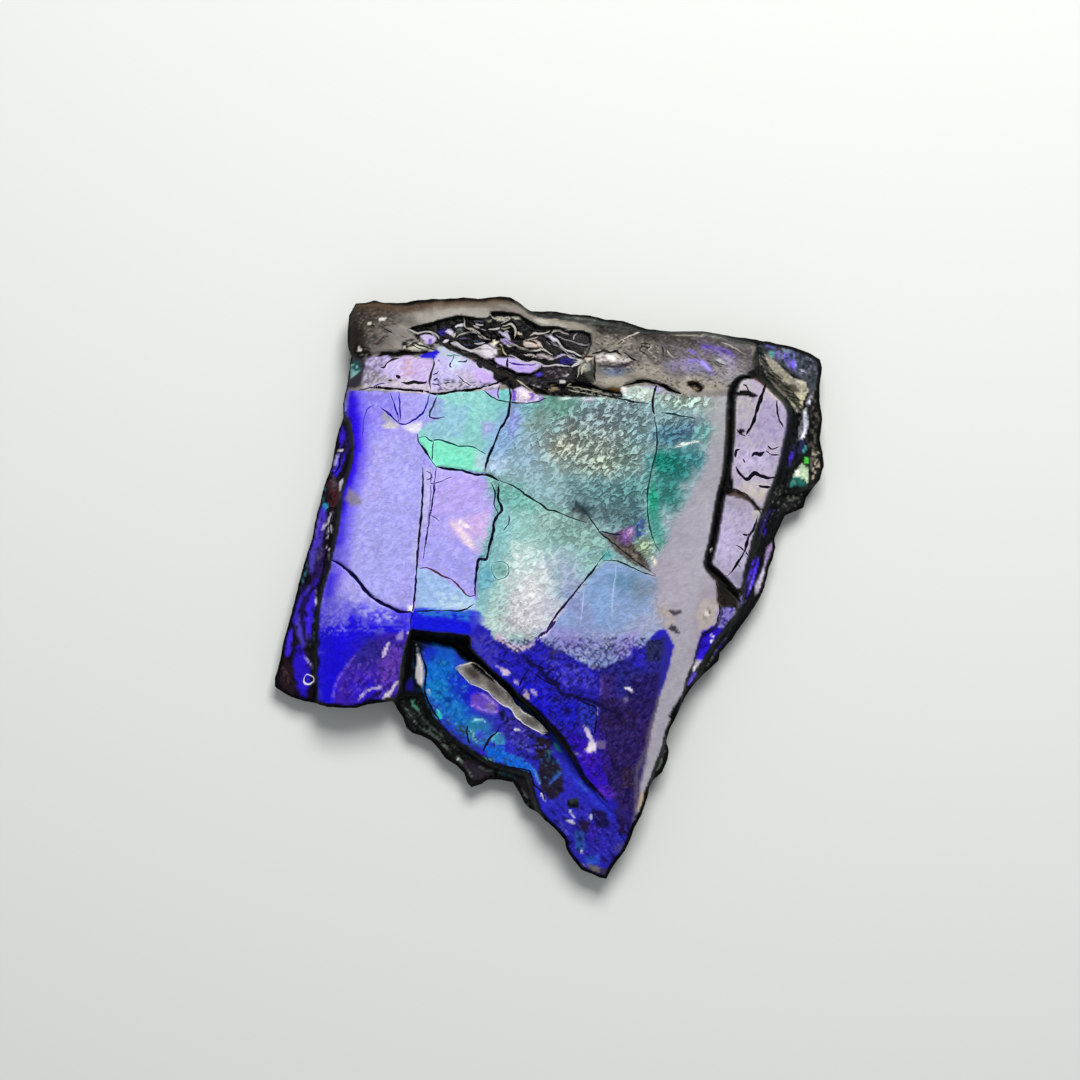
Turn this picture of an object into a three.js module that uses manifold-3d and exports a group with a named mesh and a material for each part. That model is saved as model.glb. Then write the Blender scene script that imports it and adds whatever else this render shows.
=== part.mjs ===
/**
 * Ammolite specimen: one broken slab of fossil ammonite shell on its own dark shale.
 *
 * The slab lies flat. X runs left to right and Y from the pointed lower end to the long
 * upper edge, both seen from above, and Z is up. The origin is the middle of its bounding
 * box, on the surface that it rests on. Every length is in millimetres.
 *
 * It is built the way it broke. A stack of thin shale sheets carries one gently crowned
 * plate of nacre. Areas that lost some sheets are cut down to a lower surface, the open
 * joints between the plates are V-shaped grooves, and the few splinters that stand up in
 * the flaked hollow and on the lower plate are added back. All of it is one solid.
 */
import * as THREE from "three";
import { mergeVertices } from "three/addons/utils/BufferGeometryUtils.js";
import Module from "manifold-3d";

const wasm = await Module();
wasm.setup();

// Driving dimensions.
const CROWN = 4.5; // top of the nacre above the surface that the slab rests on
const FOOT_TOP = 0.8; // the sheet that the slab rests on
const SHELF_TOP = 1.2; // the next sheet up, a little wider
const BODY_BOTTOM = 1; // underside of the broken edge all round
const WAIST_BOTTOM = 1.9; // the soft sheet that has weathered back
const WAIST_TOP = 2.6;
const SHELF_SPREAD = 0.6; // how far the shelf stands out from the foot
const WAIST_INSET = 0.25; // how far the soft sheet has weathered back
const LEAST_TOP = 1.75; // nothing on the upper side is worn lower than this
const SHEET_LAP = 0.1; // stacked sheets overlap by this much, so they fuse
const SKY = 9; // a height above everything, for cuts
const CELL = 1.5; // grid step of the crowned surface
const JOINT_LIFT = 0.08; // a joint's cutter starts this far above the surface
const JOINT_END = 0.35; // a joint's width and depth at its two ends, as shares of the full ones

// The crown of the nacre: where it starts to fall away, and by how much per millimetre.
const LEFT_LINE = { x: -15.3, y: 14.4, lean: 0.09 }; // the nacre's left edge
const LEFT_ROLL = { width: 1.6, drop: 0.85, slopeBeyond: 0.45 };
const LEFT_FALL = { start: 5, slope: 0.03, softness: 3 };
const RIDGE_LINE = { x: 13.7, y: 14, lean: 0.191 }; // the pale ridge left of the loose tiles
const RIGHT_FALL = { slope: 0.22, softness: 1 };
const LOWER_FALL = { start: 2.5, slope: 0.11, softness: 2 };
const UPPER_FALL = { start: 14.2, slope: 0.14, softness: 1 };
const BROAD_SWELL = { height: 0.05, alongX: 0.55, alongY: 0.43 };
const FINE_SWELL = { height: 0.03, alongX: 1.3, alongY: -0.7 };

// The lower nacre plate: its step down grows with distance from the lower point.
const STEP = { least: 0.1, most: 1.3, slope: 0.144, zeroAt: -17.5 };

// The broken outline, clockwise from the upper left corner.
const OUTLINE = [
  [-15, 20.4], [-14.8, 20.8], [-14.5, 21.3], [-13.7, 21.3], [-13, 21.5], [-12.4, 21.3],
  [-11.5, 21.3], [-10.7, 21.3], [-10, 21.5], [-8.7, 21.6], [-7.6, 21.6], [-6.4, 21.7],
  [-5.3, 21.6], [-4.4, 21.7], [-3.7, 21.8], [-2.9, 21.7], [-2.3, 21.4], [-1.8, 21], [-1.3, 20.7],
  [-0.3, 20.7], [0.5, 20.7], [1.6, 20.5], [3.1, 20.4], [4.3, 20.1], [5.5, 20], [6.4, 19.7],
  [7.2, 19.4], [8.9, 19.2], [10.3, 19.2], [11.5, 19.2], [12.8, 19], [14, 18.8], [15.5, 18.6],
  [16.9, 18.3], [18.1, 18.1], [19, 17.8], [19.7, 17.5], [20.3, 17.1], [20.5, 16.5], [20.3, 15.2],
  [20.3, 13.9], [20.5, 12.7], [20.3, 11.1], [20.5, 10.2], [20.6, 9.1], [20.3, 8.1], [19.7, 7.3],
  [19.3, 6.7], [19.1, 6], [18.5, 5.7], [17.7, 5.4], [17.3, 4.5], [16.9, 3.7], [17, 3],
  [16.8, 2.2], [16.5, 1.5], [16.2, 0.1], [15.7, -1], [14.9, -2.2], [14.3, -3], [13.7, -3.9],
  [12.8, -4.9], [12.7, -5.5], [11.8, -6.3], [10.9, -7.2], [10.2, -8.1], [9.8, -9], [9, -10.6],
  [8.8, -11.5], [9, -12.2], [8.9, -12.9], [8.5, -13.8], [7.9, -14.3], [7.5, -15], [7.3, -15.9],
  [6.9, -17], [6.4, -17.9], [6.1, -18.8], [5.7, -19.7], [5.1, -20.4], [4.7, -21], [4.3, -21.8],
  [3.8, -21.7], [3.1, -21.4], [2.4, -21.1], [1.9, -20.5], [1.3, -19.6], [1.1, -18.8], [0.4, -18],
  [-0.3, -17.4], [-0.9, -16.8], [-1.4, -16.6], [-1.9, -16.1], [-2.3, -15.3], [-2.7, -14.6],
  [-3.7, -14.4], [-4.6, -14.4], [-5, -14.7], [-5.8, -15], [-6.1, -14.7], [-6.4, -13.9],
  [-7, -13.3], [-7.8, -12.8], [-8.2, -12.2], [-8.8, -11.5], [-9.6, -11.1], [-10.3, -10.9],
  [-10.7, -10.5], [-11, -9.7], [-11.4, -9.1], [-11.7, -8.5], [-12.4, -8.6], [-13.4, -8.7],
  [-14.3, -9], [-15.5, -9], [-16.6, -8.9], [-17.4, -8.7], [-18.4, -8.5], [-19.4, -8.2],
  [-20.1, -7.8], [-20.6, -7.4], [-20.6, -6.8], [-20.2, -5.5], [-20, -4.2], [-19.6, -2.9],
  [-19.2, -1.4], [-18.8, 0.3], [-18.3, 2.1], [-17.8, 3.7], [-17.4, 5.7], [-17.2, 6.3],
  [-16.9, 7.6], [-16.3, 9.1], [-16.1, 10.4], [-15.8, 11.7], [-15.4, 12.8], [-15.4, 13.8],
  [-15.1, 15.2], [-14.9, 16.7], [-14.8, 17.3], [-15.1, 18.1], [-15.1, 19.3],
];

// The sheet that it rests on. The left lobe and the lower point overhang it.
const FOOT = [
  [-14, 19.3], [-11.2, 20.2], [-7.4, 20.5], [-3.7, 20.6], [0.8, 19.6], [6.8, 18.4], [12.8, 18],
  [17.3, 17.2], [19.3, 16], [19.3, 12.6], [19.4, 9.4], [18.4, 7.9], [16.7, 6.6], [15.6, 3.9],
  [14.9, 0.9], [13.4, -1.7], [11.6, -4.3], [9.8, -6.8], [8.6, -9], [7.6, -11.4], [6.8, -13.8],
  [5.5, -15.9], [3.8, -16.4], [1.9, -15.8], [-0.1, -15.3], [-1.9, -14.3], [-3.7, -13.5],
  [-5.3, -13.5], [-6.5, -12.8], [-8.2, -11.3], [-9.7, -10.1], [-10.6, -8.4], [-11.2, -6.3],
  [-12.3, -4.7], [-14.8, -3], [-16.4, -0.9], [-15.8, 2.1], [-15.3, 5.1], [-14.8, 8.1],
  [-14.5, 11.1], [-14.3, 14.8],
];

/** A one-sided slope: 0 well below zero, the distance itself well above, rounded between. */
const ramp = (distance, softness) => 0.5 * (distance + Math.hypot(distance, softness));

/** How far a fall has taken the surface down at a distance along it. */
const fallen = ({ start = 0, slope, softness }, distance) => slope * ramp(distance - start, softness);

/** X of a leaning line at a given Y. */
const lineAt = (line, y) => line.x - line.lean * (line.y - y);

/** The rounded left edge: a parabola inside the edge line, a straight slope beyond it. */
function leftRoll(inward) {
  if (inward < 0) return LEFT_ROLL.drop - LEFT_ROLL.slopeBeyond * inward;
  return LEFT_ROLL.drop * (Math.max(0, LEFT_ROLL.width - inward) / LEFT_ROLL.width) ** 2;
}

/** Height of the crowned nacre before anything is lost from it. */
function crownAt(x, y) {
  const broad = Math.sin(BROAD_SWELL.alongX * x) * Math.cos(BROAD_SWELL.alongY * y);
  const fine = Math.sin(FINE_SWELL.alongX * x + FINE_SWELL.alongY * y);
  return (
    CROWN +
    BROAD_SWELL.height * broad +
    FINE_SWELL.height * fine -
    leftRoll(x - lineAt(LEFT_LINE, y)) -
    fallen(LEFT_FALL, -x) -
    fallen(RIGHT_FALL, x - lineAt(RIDGE_LINE, y)) -
    fallen(LOWER_FALL, -y) -
    fallen(UPPER_FALL, y)
  );
}

/** Height of the lower nacre plate, which meets the upper one again near the point. */
function lowerPlateAt(x, y) {
  const step = STEP.slope * (y - STEP.zeroAt);
  return crownAt(x, y) - Math.min(STEP.most, Math.max(STEP.least, step));
}

/** A surface that lies a set depth under another one, and never below LEAST_TOP. */
const under = (heightAt, depth) => (x, y) => Math.max(LEAST_TOP, heightAt(x, y) - depth);

/** A closed three.js geometry as a solid that can be joined and cut. */
function solidOf(geometry) {
  geometry.deleteAttribute("normal");
  geometry.deleteAttribute("uv");
  const merged = mergeVertices(geometry, 1e-5);
  return new wasm.Manifold(
    new wasm.Mesh({
      numProp: 3,
      vertProperties: new Float32Array(merged.attributes.position.array),
      triVerts: new Uint32Array(merged.index.array),
    }),
  );
}

/** An upright prism over an outline. */
function prism(outline, low, high) {
  const shape = new THREE.Shape(outline.map(([x, y]) => new THREE.Vector2(x, y)));
  const geometry = new THREE.ExtrudeGeometry(shape, { depth: high - low, bevelEnabled: false });
  return solidOf(geometry.translate(0, 0, low));
}

/** The same outline moved inwards by a distance, or outwards by a negative one. */
function inset(outline, distance) {
  const points = outline.map(([x, y]) => new THREE.Vector2(x, y));
  const inward = Math.sign(THREE.ShapeUtils.area(points)) * distance;
  return points.map((point, i) => {
    const before = points[(i + points.length - 1) % points.length];
    const after = points[(i + 1) % points.length];
    const along = after.clone().sub(before).normalize();
    return [point.x - inward * along.y, point.y + inward * along.x];
  });
}

/** A gridded block over an outline's bounds that fills all that is "below" or "above" a height. */
function reliefBlock(outline, heightAt, side) {
  const bounds = new THREE.Box2().setFromPoints(outline.map(([x, y]) => new THREE.Vector2(x, y)));
  const size = bounds.getSize(new THREE.Vector2()).addScalar(CELL);
  const centre = bounds.getCenter(new THREE.Vector2());
  const columns = Math.ceil(size.x / CELL);
  const rows = Math.ceil(size.y / CELL);
  const block = new THREE.BoxGeometry(size.x, size.y, SKY, columns, rows, 1);
  block.translate(centre.x, centre.y, 0);
  const position = block.attributes.position;
  for (let i = 0; i < position.count; i += 1) {
    const followsHeight = (position.getZ(i) > 0) === (side === "below");
    const height = heightAt(position.getX(i), position.getY(i));
    const flat = side === "below" ? -SKY : 2 * SKY;
    position.setZ(i, followsHeight ? height : flat);
  }
  return solidOf(block);
}

/** What stands on an outline, from a flat underside up to a height function. */
function plate(outline, low, heightAt) {
  return prism(outline, low, SKY).intersect(reliefBlock(outline, heightAt, "below"));
}

/** What is missing over an outline, from a height function up. */
function missing(outline, heightAt) {
  return prism(outline, 0, SKY).intersect(reliefBlock(outline, heightAt, "above"));
}

/** The cutter for an open joint: a wedge along a route, pointed at both ends. */
function joint({ width, depth, route, heightAt = crownAt }) {
  const last = route.length - 1;
  const positions = [];
  route.forEach(([x, y], i) => {
    const [fromX, fromY] = route[Math.max(0, i - 1)];
    const [toX, toY] = route[Math.min(last, i + 1)];
    const length = Math.hypot(toX - fromX, toY - fromY);
    const fullness = i === 0 || i === last ? JOINT_END : 1;
    const bottom = depth * fullness;
    const half = 0.5 * width * fullness * (1 + JOINT_LIFT / bottom);
    const sideX = (-half * (toY - fromY)) / length;
    const sideY = (half * (toX - fromX)) / length;
    const left = heightAt(x + sideX, y + sideY) + JOINT_LIFT;
    const right = heightAt(x - sideX, y - sideY) + JOINT_LIFT;
    positions.push(x + sideX, y + sideY, left);
    positions.push(x, y, heightAt(x, y) - bottom);
    positions.push(x - sideX, y - sideY, right);
  });
  const index = [0, 1, 2, 3 * last, 3 * last + 2, 3 * last + 1];
  for (let i = 0; i < last; i += 1) {
    for (let side = 0; side < 3; side += 1) {
      const near = 3 * i + side;
      const nearNext = 3 * i + ((side + 1) % 3);
      index.push(nearNext, near, near + 3, nearNext, near + 3, nearNext + 3);
    }
  }
  const wedge = new THREE.BufferGeometry();
  wedge.setAttribute("position", new THREE.Float32BufferAttribute(positions, 3));
  wedge.setIndex(index);
  return solidOf(wedge);
}

const joined = (solids) => solids.reduce((sum, solid) => sum.add(solid));
const cutBy = (solid, cutters) => cutters.reduce((rest, cutter) => rest.subtract(cutter), solid);

// ---- The stack of shale sheets under the crowned nacre ----
function sheetStack() {
  const sheets = joined([
    prism(FOOT, 0, FOOT_TOP),
    prism(inset(FOOT, -SHELF_SPREAD), FOOT_TOP - SHEET_LAP, SHELF_TOP),
    prism(OUTLINE, BODY_BOTTOM, WAIST_BOTTOM),
    prism(inset(OUTLINE, WAIST_INSET), WAIST_BOTTOM - SHEET_LAP, WAIST_TOP + SHEET_LAP),
    prism(OUTLINE, WAIST_TOP, SKY),
  ]);
  return sheets.intersect(reliefBlock(OUTLINE, crownAt, "below"));
}

// ---- Areas that have lost their upper sheets. Their outer sides run past the outline ----
const LEFT_STRIP = [
  [-17.3, -9.3], [-17.3, -7.7], [-17.4, -5.8], [-17.3, -3.9], [-17.2, -2.3], [-17, -0.9],
  [-16.7, 0.3], [-16.3, 1.7], [-16, 3], [-15.7, 4.3], [-15.5, 5.7], [-15.4, 6.9], [-15.1, 7.9],
  [-14.7, 9], [-14.5, 10.2], [-14.6, 11.2], [-14.8, 12.3], [-15.3, 13], [-15.7, 13.9],
  [-23.2, 13.9], [-23.2, -9.9],
];
const UPPER_EDGE = [
  [-3.3, 22.3], [-2.5, 21.3], [-2.1, 21], [-1.5, 20.4], [-0.7, 20.1], [0.5, 20], [1.7, 19.8],
  [3.1, 19.7], [4.6, 19.5], [6.1, 19.2], [7.2, 18.9], [8.9, 18.9], [11.3, 18.9], [12.7, 18.7],
  [13.9, 18.3], [15.1, 18.1], [16, 17.8], [16.9, 19.3], [15.8, 22.3],
];
const RIGHT_SIDE = [
  [15.8, 20.1], [15.5, 17.8], [15.6, 16.8], [15.5, 15.9], [16.1, 15.3], [16.6, 14.9],
  [17.2, 14.3], [17.7, 13.7], [18, 12.9], [17.9, 11.8], [17.6, 10.3], [17.3, 9.1], [16.9, 7.9],
  [16.5, 6.7], [16.1, 5.4], [15.5, 4.3], [15.2, 3.2], [15, 2.1], [14.6, 0.9], [14.4, -0.1],
  [13.9, -0.3], [13.3, 0.2], [12.5, -0.9], [12.8, -1.5], [12.7, -2.3], [12.3, -3], [11.5, -3.3],
  [11.2, -3.9], [10.9, -4.8], [10.7, -5.7], [10.2, -6.8], [10, -7.8], [9.6, -9.3], [17.3, -9.9],
  [22.6, -0.9], [22.6, 20.1],
];
const RIGHT_WALL = [
  [22.6, 8.8], [18.8, 7.6], [17.2, 7.2], [16.4, 5.7], [15.8, 4.2], [15.4, 2.4], [14.9, 0.6],
  [14.2, -1.2], [13.4, -2.6], [12.2, -3.9], [11.5, -5.1], [10.9, -6.6], [10.1, -8.3],
  [18.8, -9.9], [22.6, -0.9],
];
const RIGHT_CHIP = [
  [9.2, -10.5], [8.6, -11.2], [8.3, -12.2], [7.9, -13.2], [7.5, -14.4], [7.3, -15.6],
  [11.3, -15.2], [11.3, -10.7],
];
const LOWER_PLATE = [
  [-12.7, -9.3], [-11.4, -8.4], [-11.2, -7.5], [-11.1, -6.3], [-10.9, -5.1], [-10.6, -3.9],
  [-10.3, -3.1], [-8.8, -3.3], [-7.3, -3.4], [-5.9, -3.6], [-5.8, -4.5], [-5.2, -5.1],
  [-4.4, -6], [-3.7, -6.6], [-2.8, -7.3], [-2.3, -8], [-1.6, -8.7], [-0.7, -9.5], [0.1, -10.4],
  [1.1, -11.7], [1.8, -12.7], [2.5, -14], [3.2, -14.9], [3.8, -15.7], [4.5, -16.5], [5.2, -17.4],
  [5.9, -18.3], [7.6, -18.6], [7.6, -23.4], [-12.7, -23.4],
];
const SHALE_FRINGE = [
  [-12.3, -8.4], [-10.9, -7.9], [-9.4, -7.8], [-9.2, -8.6], [-8.8, -9.4], [-8.1, -10.2],
  [-7.3, -11], [-6.5, -11.6], [-5.8, -12.1], [-5, -12.6], [-4.3, -13], [-3.4, -13.3],
  [-2.3, -13.6], [-1.5, -13.8], [-1.2, -14.7], [-1, -15.7], [-0.6, -16.6], [-0.3, -17.4],
  [-3.7, -19.7], [-11.2, -15.9],
];
const FLAKED_HOLLOW = [
  [-10.5, 19.4], [-9.7, 19.6], [-8.8, 19.8], [-7.8, 20.1], [-6.8, 20.3], [-5.8, 20.2],
  [-5, 20.1], [-4.4, 20.2], [-4.3, 20.6], [-3.3, 20.6], [-2.2, 20.4], [-1.4, 19.9], [-0.7, 19.5],
  [0.5, 19.5], [1.6, 19.2], [2.5, 19.2], [3.1, 18.9], [3.2, 18.2], [2.9, 17.4], [2.5, 16.9],
  [2.2, 16.5], [1.6, 15.7], [0.5, 15.4], [-0.7, 15.3], [-1.4, 15.1], [-0.3, 14.7], [0.1, 14.3],
  [-1, 14.4], [-2.2, 15.1], [-3.1, 15.7], [-3.7, 15.9], [-4.6, 16.5], [-5.3, 17], [-6.3, 17.4],
  [-7.3, 17.8], [-7.9, 18.3], [-8.3, 18.6], [-8.9, 18.9], [-9.7, 18.9], [-10.1, 19.1],
];
const SMALL_PIT = [
  [10.3, 15.3], [10.7, 15.4], [11.2, 15.3], [11.5, 14.9], [11.2, 14.5], [10.7, 14.7],
  [10.3, 14.7], [10.1, 15],
];

// Each area's new surface, as a depth under the surface that it was broken from.
const LOST_AREAS = [
  { outline: LEFT_STRIP, heightAt: crownAt, depth: 0.9 },
  { outline: UPPER_EDGE, heightAt: crownAt, depth: 0.9 },
  { outline: RIGHT_SIDE, heightAt: crownAt, depth: 0.4 },
  { outline: RIGHT_WALL, heightAt: crownAt, depth: 1.3 },
  { outline: RIGHT_CHIP, heightAt: crownAt, depth: 1 },
  { outline: LOWER_PLATE, heightAt: lowerPlateAt, depth: 0 },
  { outline: SHALE_FRINGE, heightAt: lowerPlateAt, depth: 0.9 },
  { outline: FLAKED_HOLLOW, heightAt: crownAt, depth: 0.5 },
  { outline: SMALL_PIT, heightAt: crownAt, depth: 0.3 },
];

// ---- Open joints between the plates, widest first ----
const JOINTS = [
  {
    width: 1.1, // the dark gully right of the two loose tiles
    depth: 1.0,
    route: [
      [15.6, 18.1], [15.7, 16.9], [16.1, 15.9], [16.9, 15.1], [17.8, 14.2], [18.4, 13.2],
      [18.4, 12.2], [18.1, 10.7], [17.8, 9.3], [17.4, 8], [16.8, 6.5], [16.3, 5.1], [15.8, 3.6],
      [15.4, 2.1], [15, 0.6], [14.6, -0.9],
    ],
  },
  {
    width: 0.6, // the gully left of them and round their lower end
    depth: 0.8,
    route: [
      [14.9, 15.6], [14.3, 15.6], [13.8, 15], [13.6, 14.1], [13.5, 12.2], [13.4, 10.3], [13.2, 8.4],
      [12.8, 6.8], [12.5, 5.1], [12.2, 3.4], [11.9, 2.2], [11.9, 1.5], [12.6, 0.9], [13.3, 0.2],
      [13.9, -0.5], [14.3, -1.2],
    ],
  },
  {
    width: 0.9, // the shadowed gap at the foot of the step to the lower plate
    depth: 0.5,
    heightAt: lowerPlateAt,
    route: [
      [-10.2, -3.7], [-9.4, -3.8], [-8.3, -3.9], [-7.3, -4.1], [-6.5, -4.5], [-5.9, -5.1],
      [-5.2, -5.9], [-4.4, -6.6], [-3.7, -7.2], [-2.9, -7.9], [-2.2, -8.6], [-1.3, -9.4],
      [-0.4, -10.2], [0.4, -11.3], [1.2, -12.5], [2, -13.7], [2.8, -14.8],
    ],
  },
  {
    width: 0.38, // ledge under the grey upper left field
    depth: 0.25,
    route: [
      [-13.6, 17.2], [-12.8, 17.4], [-11.9, 17.5], [-10.8, 17.5], [-9.7, 17.5], [-8.8, 17.7],
      [-8.2, 17.5],
    ],
  },
  {
    width: 0.38, // arch at the head of the green field
    depth: 0.3,
    route: [
      [5.5, 15], [6.2, 15.2], [7, 15.4], [7.9, 15.2], [8.5, 15], [9.1, 14.7], [9.8, 14.4],
    ],
  },
  {
    width: 0.3, // diagonal break across the left field
    depth: 0.25,
    route: [
      [-16.3, 2.1], [-15.7, 1.8], [-15, 1.3], [-14.3, 0.6], [-13.7, -0.2], [-12.9, -0.9],
      [-12, -1.4], [-11.1, -1.8], [-10.3, -1.9],
    ],
  },
  {
    width: 0.3, // right side of the centre tile
    depth: 0.2,
    route: [
      [-4.1, 8.1], [-4, 7.2], [-3.8, 6.2], [-4, 5.2], [-4.2, 4.3], [-4.3, 3.3], [-4.6, 2.3],
      [-5.2, 2.1], [-5.4, 1.2], [-5.5, -0.2], [-5.5, -1.4],
    ],
  },
  {
    width: 0.3, // foot of the mint-green tile
    depth: 0.2,
    route: [[-8.4, 9], [-7.4, 8.8], [-6.5, 8.7], [-5.5, 8.4], [-4.6, 8.4], [-3.7, 7.9]],
  },
  {
    width: 0.26, // seam right of the flaked hollow
    depth: 0.2,
    route: [[0, 15], [1.2, 15], [2.7, 15], [4, 14.7], [5.4, 14.4]],
  },
  {
    width: 0.22, // split between the two loose tiles
    depth: 0.3,
    route: [[13, 6.9], [13.9, 7.1], [14.7, 6.7], [15.2, 6.3], [15.7, 5.7]],
  },
  {
    width: 0.2, // long seam under the upper tiles
    depth: 0.15,
    route: [
      [-14.2, 14.7], [-13, 14.9], [-11.8, 14.8], [-10.4, 14.7], [-9.3, 14.6], [-8.4, 14.4],
      [-7, 14.6], [-5.8, 14.7], [-4.6, 15], [-3.7, 15.3], [-3.1, 15.6],
    ],
  },
  {
    width: 0.2, // long upright joint between the left and centre fields
    depth: 0.12,
    route: [
      [-9.8, 11.4], [-9.7, 10.8], [-9.2, 10.2], [-9.4, 9], [-9.4, 7.3], [-9.5, 5.4], [-9.7, 3.6],
      [-9.8, 2.1], [-9.9, 0.7], [-10, -0.6], [-10, -1.5], [-10.3, -2.6],
    ],
  },
  {
    width: 0.2, // joint between the teal tile and the blue-grey field
    depth: 0.12,
    route: [
      [-3, 15.3], [-2.9, 14.6], [-2.9, 13.8], [-3, 13], [-3.3, 12.3], [-3.7, 11.7], [-4, 10.9],
      [-4.3, 10.2], [-4.6, 9.4], [-4.8, 8.5],
    ],
  },
];

// ---- Splinters that stand up, each with the depth of its top under a surface ----
const SPLINTERS = [
  {
    // pale blade at the hollow's left end
    heightAt: crownAt,
    depth: 0.12,
    outline: [
      [-10.3, 19.2], [-9.7, 19.1], [-8.8, 19.1], [-8.4, 18.8], [-8.1, 18.3], [-8.3, 18.2],
      [-8.9, 18.2], [-9.4, 18.3], [-9.7, 18.7],
    ],
  },
  {
    // long blade along the hollow's lower rim
    heightAt: crownAt,
    depth: 0.2,
    outline: [
      [-7.4, 18.3], [-6.8, 18.3], [-6.5, 17.9], [-5.9, 17.7], [-5.2, 17.8], [-4.4, 17.8],
      [-4.1, 17.4], [-4.3, 17.1], [-4.9, 17.1], [-5.4, 17.4], [-6.2, 17.7], [-7, 17.9],
    ],
  },
  {
    // cream chip
    heightAt: crownAt,
    depth: 0.22,
    outline: [
      [-5, 18.8], [-4.3, 18.5], [-3.7, 18.6], [-3.3, 18.2], [-3.5, 17.9], [-4.1, 17.9],
      [-4.6, 18.3],
    ],
  },
  {
    // middle blade
    heightAt: crownAt,
    depth: 0.25,
    outline: [
      [-3.7, 19.1], [-3.1, 18.6], [-2, 18.5], [-1.1, 18.3], [-0.6, 17.7], [0.3, 17.4],
      [-0.1, 17.1], [-0.8, 17.3], [-1.3, 17.7], [-1.9, 17.8], [-2.8, 18.1], [-3.4, 18.5],
    ],
  },
  {
    // right blade
    heightAt: crownAt,
    depth: 0.2,
    outline: [
      [0.1, 18.9], [0.7, 18.5], [1.1, 18], [1.7, 17.6], [2.5, 17.3], [2.5, 17.1], [2, 17.2],
      [1.3, 17.5], [0.7, 18.1], [0.2, 18.4], [-0.2, 18.7],
    ],
  },
  {
    // lavender slab
    heightAt: crownAt,
    depth: 0.15,
    outline: [
      [-4.4, 17.1], [-3.7, 17.1], [-3.1, 17.2], [-2.2, 17.1], [-1.3, 17], [-0.6, 16.6],
      [-0.8, 16.2], [-1.4, 15.9], [-2.3, 15.9], [-3.1, 16.3], [-3.8, 16.6],
    ],
  },
  {
    // hooked splinter
    heightAt: crownAt,
    depth: 0.25,
    outline: [
      [-7.2, 19.5], [-6.8, 19.7], [-6.3, 19.8], [-5.9, 19.5], [-5.5, 19.2], [-5, 19],
      [-5.3, 18.9], [-5.9, 19.1], [-6.5, 19.3], [-7, 19.2],
    ],
  },
  {
    // short curl
    heightAt: crownAt,
    depth: 0.25,
    outline: [
      [-3.4, 19.8], [-2.9, 19.8], [-2.5, 19.5], [-2.4, 19], [-2.5, 18.7], [-2.9, 19.1],
      [-3.1, 19.5],
    ],
  },
  {
    // glossy grey lens on the lower plate
    heightAt: lowerPlateAt,
    depth: -0.12,
    outline: [
      [-7, -6], [-6.7, -5.8], [-6.4, -5.7], [-5.8, -5.5], [-5.2, -5.8], [-4.7, -6.2], [-4.3, -6.7],
      [-3.7, -7.1], [-3.1, -7.7], [-2.8, -8.3], [-2.5, -8.8], [-2.1, -9], [-1.5, -9.4],
      [-0.9, -9.9], [-0.4, -10.3], [-0.1, -10.8], [-0.3, -10.9], [-0.8, -10.8], [-1.4, -10.5],
      [-1.9, -10.1], [-2.5, -9.8], [-2.8, -9.2], [-3.3, -8.9], [-3.8, -8.5], [-4.2, -8.1],
      [-4.6, -7.7], [-5.2, -7.5], [-5.8, -7.2], [-6.2, -6.9], [-6.6, -6.5],
    ],
  },
  {
    // grey-white flake at the lower plate's left end
    heightAt: lowerPlateAt,
    depth: -0.3,
    outline: [
      [-9.9, -4.2], [-9.8, -4.7], [-9.5, -5.4], [-9.4, -6.3], [-9.4, -7.2], [-9.5, -7.5],
      [-9.9, -7.2], [-10.1, -7.1], [-10, -6], [-10, -5.1],
    ],
  },
];

// ---- Assembly ----
const nacre = new THREE.MeshStandardMaterial({ color: "#6a63d8", roughness: 0.3, metalness: 0.1 });

function specimen() {
  const lost = LOST_AREAS.map(({ outline, heightAt, depth }) => missing(outline, under(heightAt, depth)));
  const splinters = SPLINTERS.map(({ outline, heightAt, depth }) =>
    plate(outline, WAIST_BOTTOM, under(heightAt, depth)),
  );
  const broken = cutBy(sheetStack(), lost);
  return joined([cutBy(broken, JOINTS.map(joint)), ...splinters]);
}

/** A finished solid as a mesh of its own, with its stride reduced to bare positions. */
function meshOf(solid, name, material) {
  const { numProp, numVert, vertProperties, triVerts } = solid.getMesh();
  const positions = new Float32Array(3 * numVert);
  for (let i = 0; i < numVert; i += 1) {
    positions.set(vertProperties.subarray(i * numProp, i * numProp + 3), 3 * i);
  }
  const geometry = new THREE.BufferGeometry();
  geometry.setAttribute("position", new THREE.BufferAttribute(positions, 3));
  geometry.setIndex(new THREE.BufferAttribute(triVerts, 1));
  geometry.computeVertexNormals();
  const mesh = new THREE.Mesh(geometry, material);
  mesh.name = name;
  return mesh;
}

const ammolite = new THREE.Group();
ammolite.add(meshOf(specimen(), "ammolite_specimen", nacre));

export default ammolite;
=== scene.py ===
"""Ammolite specimen: a broken slab of iridescent ammonite shell on dark shale, lying flat.

X runs left to right, Y from the pointed lower end to the long upper edge, and Z is up.
Lengths in this file are millimetres until a mesh, a light or the camera is made of them.

The slab is one closed mesh. Its upper side is a height over a grid: a crowned plate, less
the sheets that broke away, less the open joints, plus the splinters that stand up. Its
broken edge is a sweep of thin sheets round the outline. Colour is laid on the upper side
coat by coat, as areas and lines with soft or hard edges, and kept with each vertex.
"""

import logging
import math
from dataclasses import dataclass, replace
from enum import IntEnum
from functools import lru_cache
from typing import Sequence

import bpy
import numpy as np
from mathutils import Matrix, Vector
from mathutils.geometry import delaunay_2d_cdt


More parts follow.
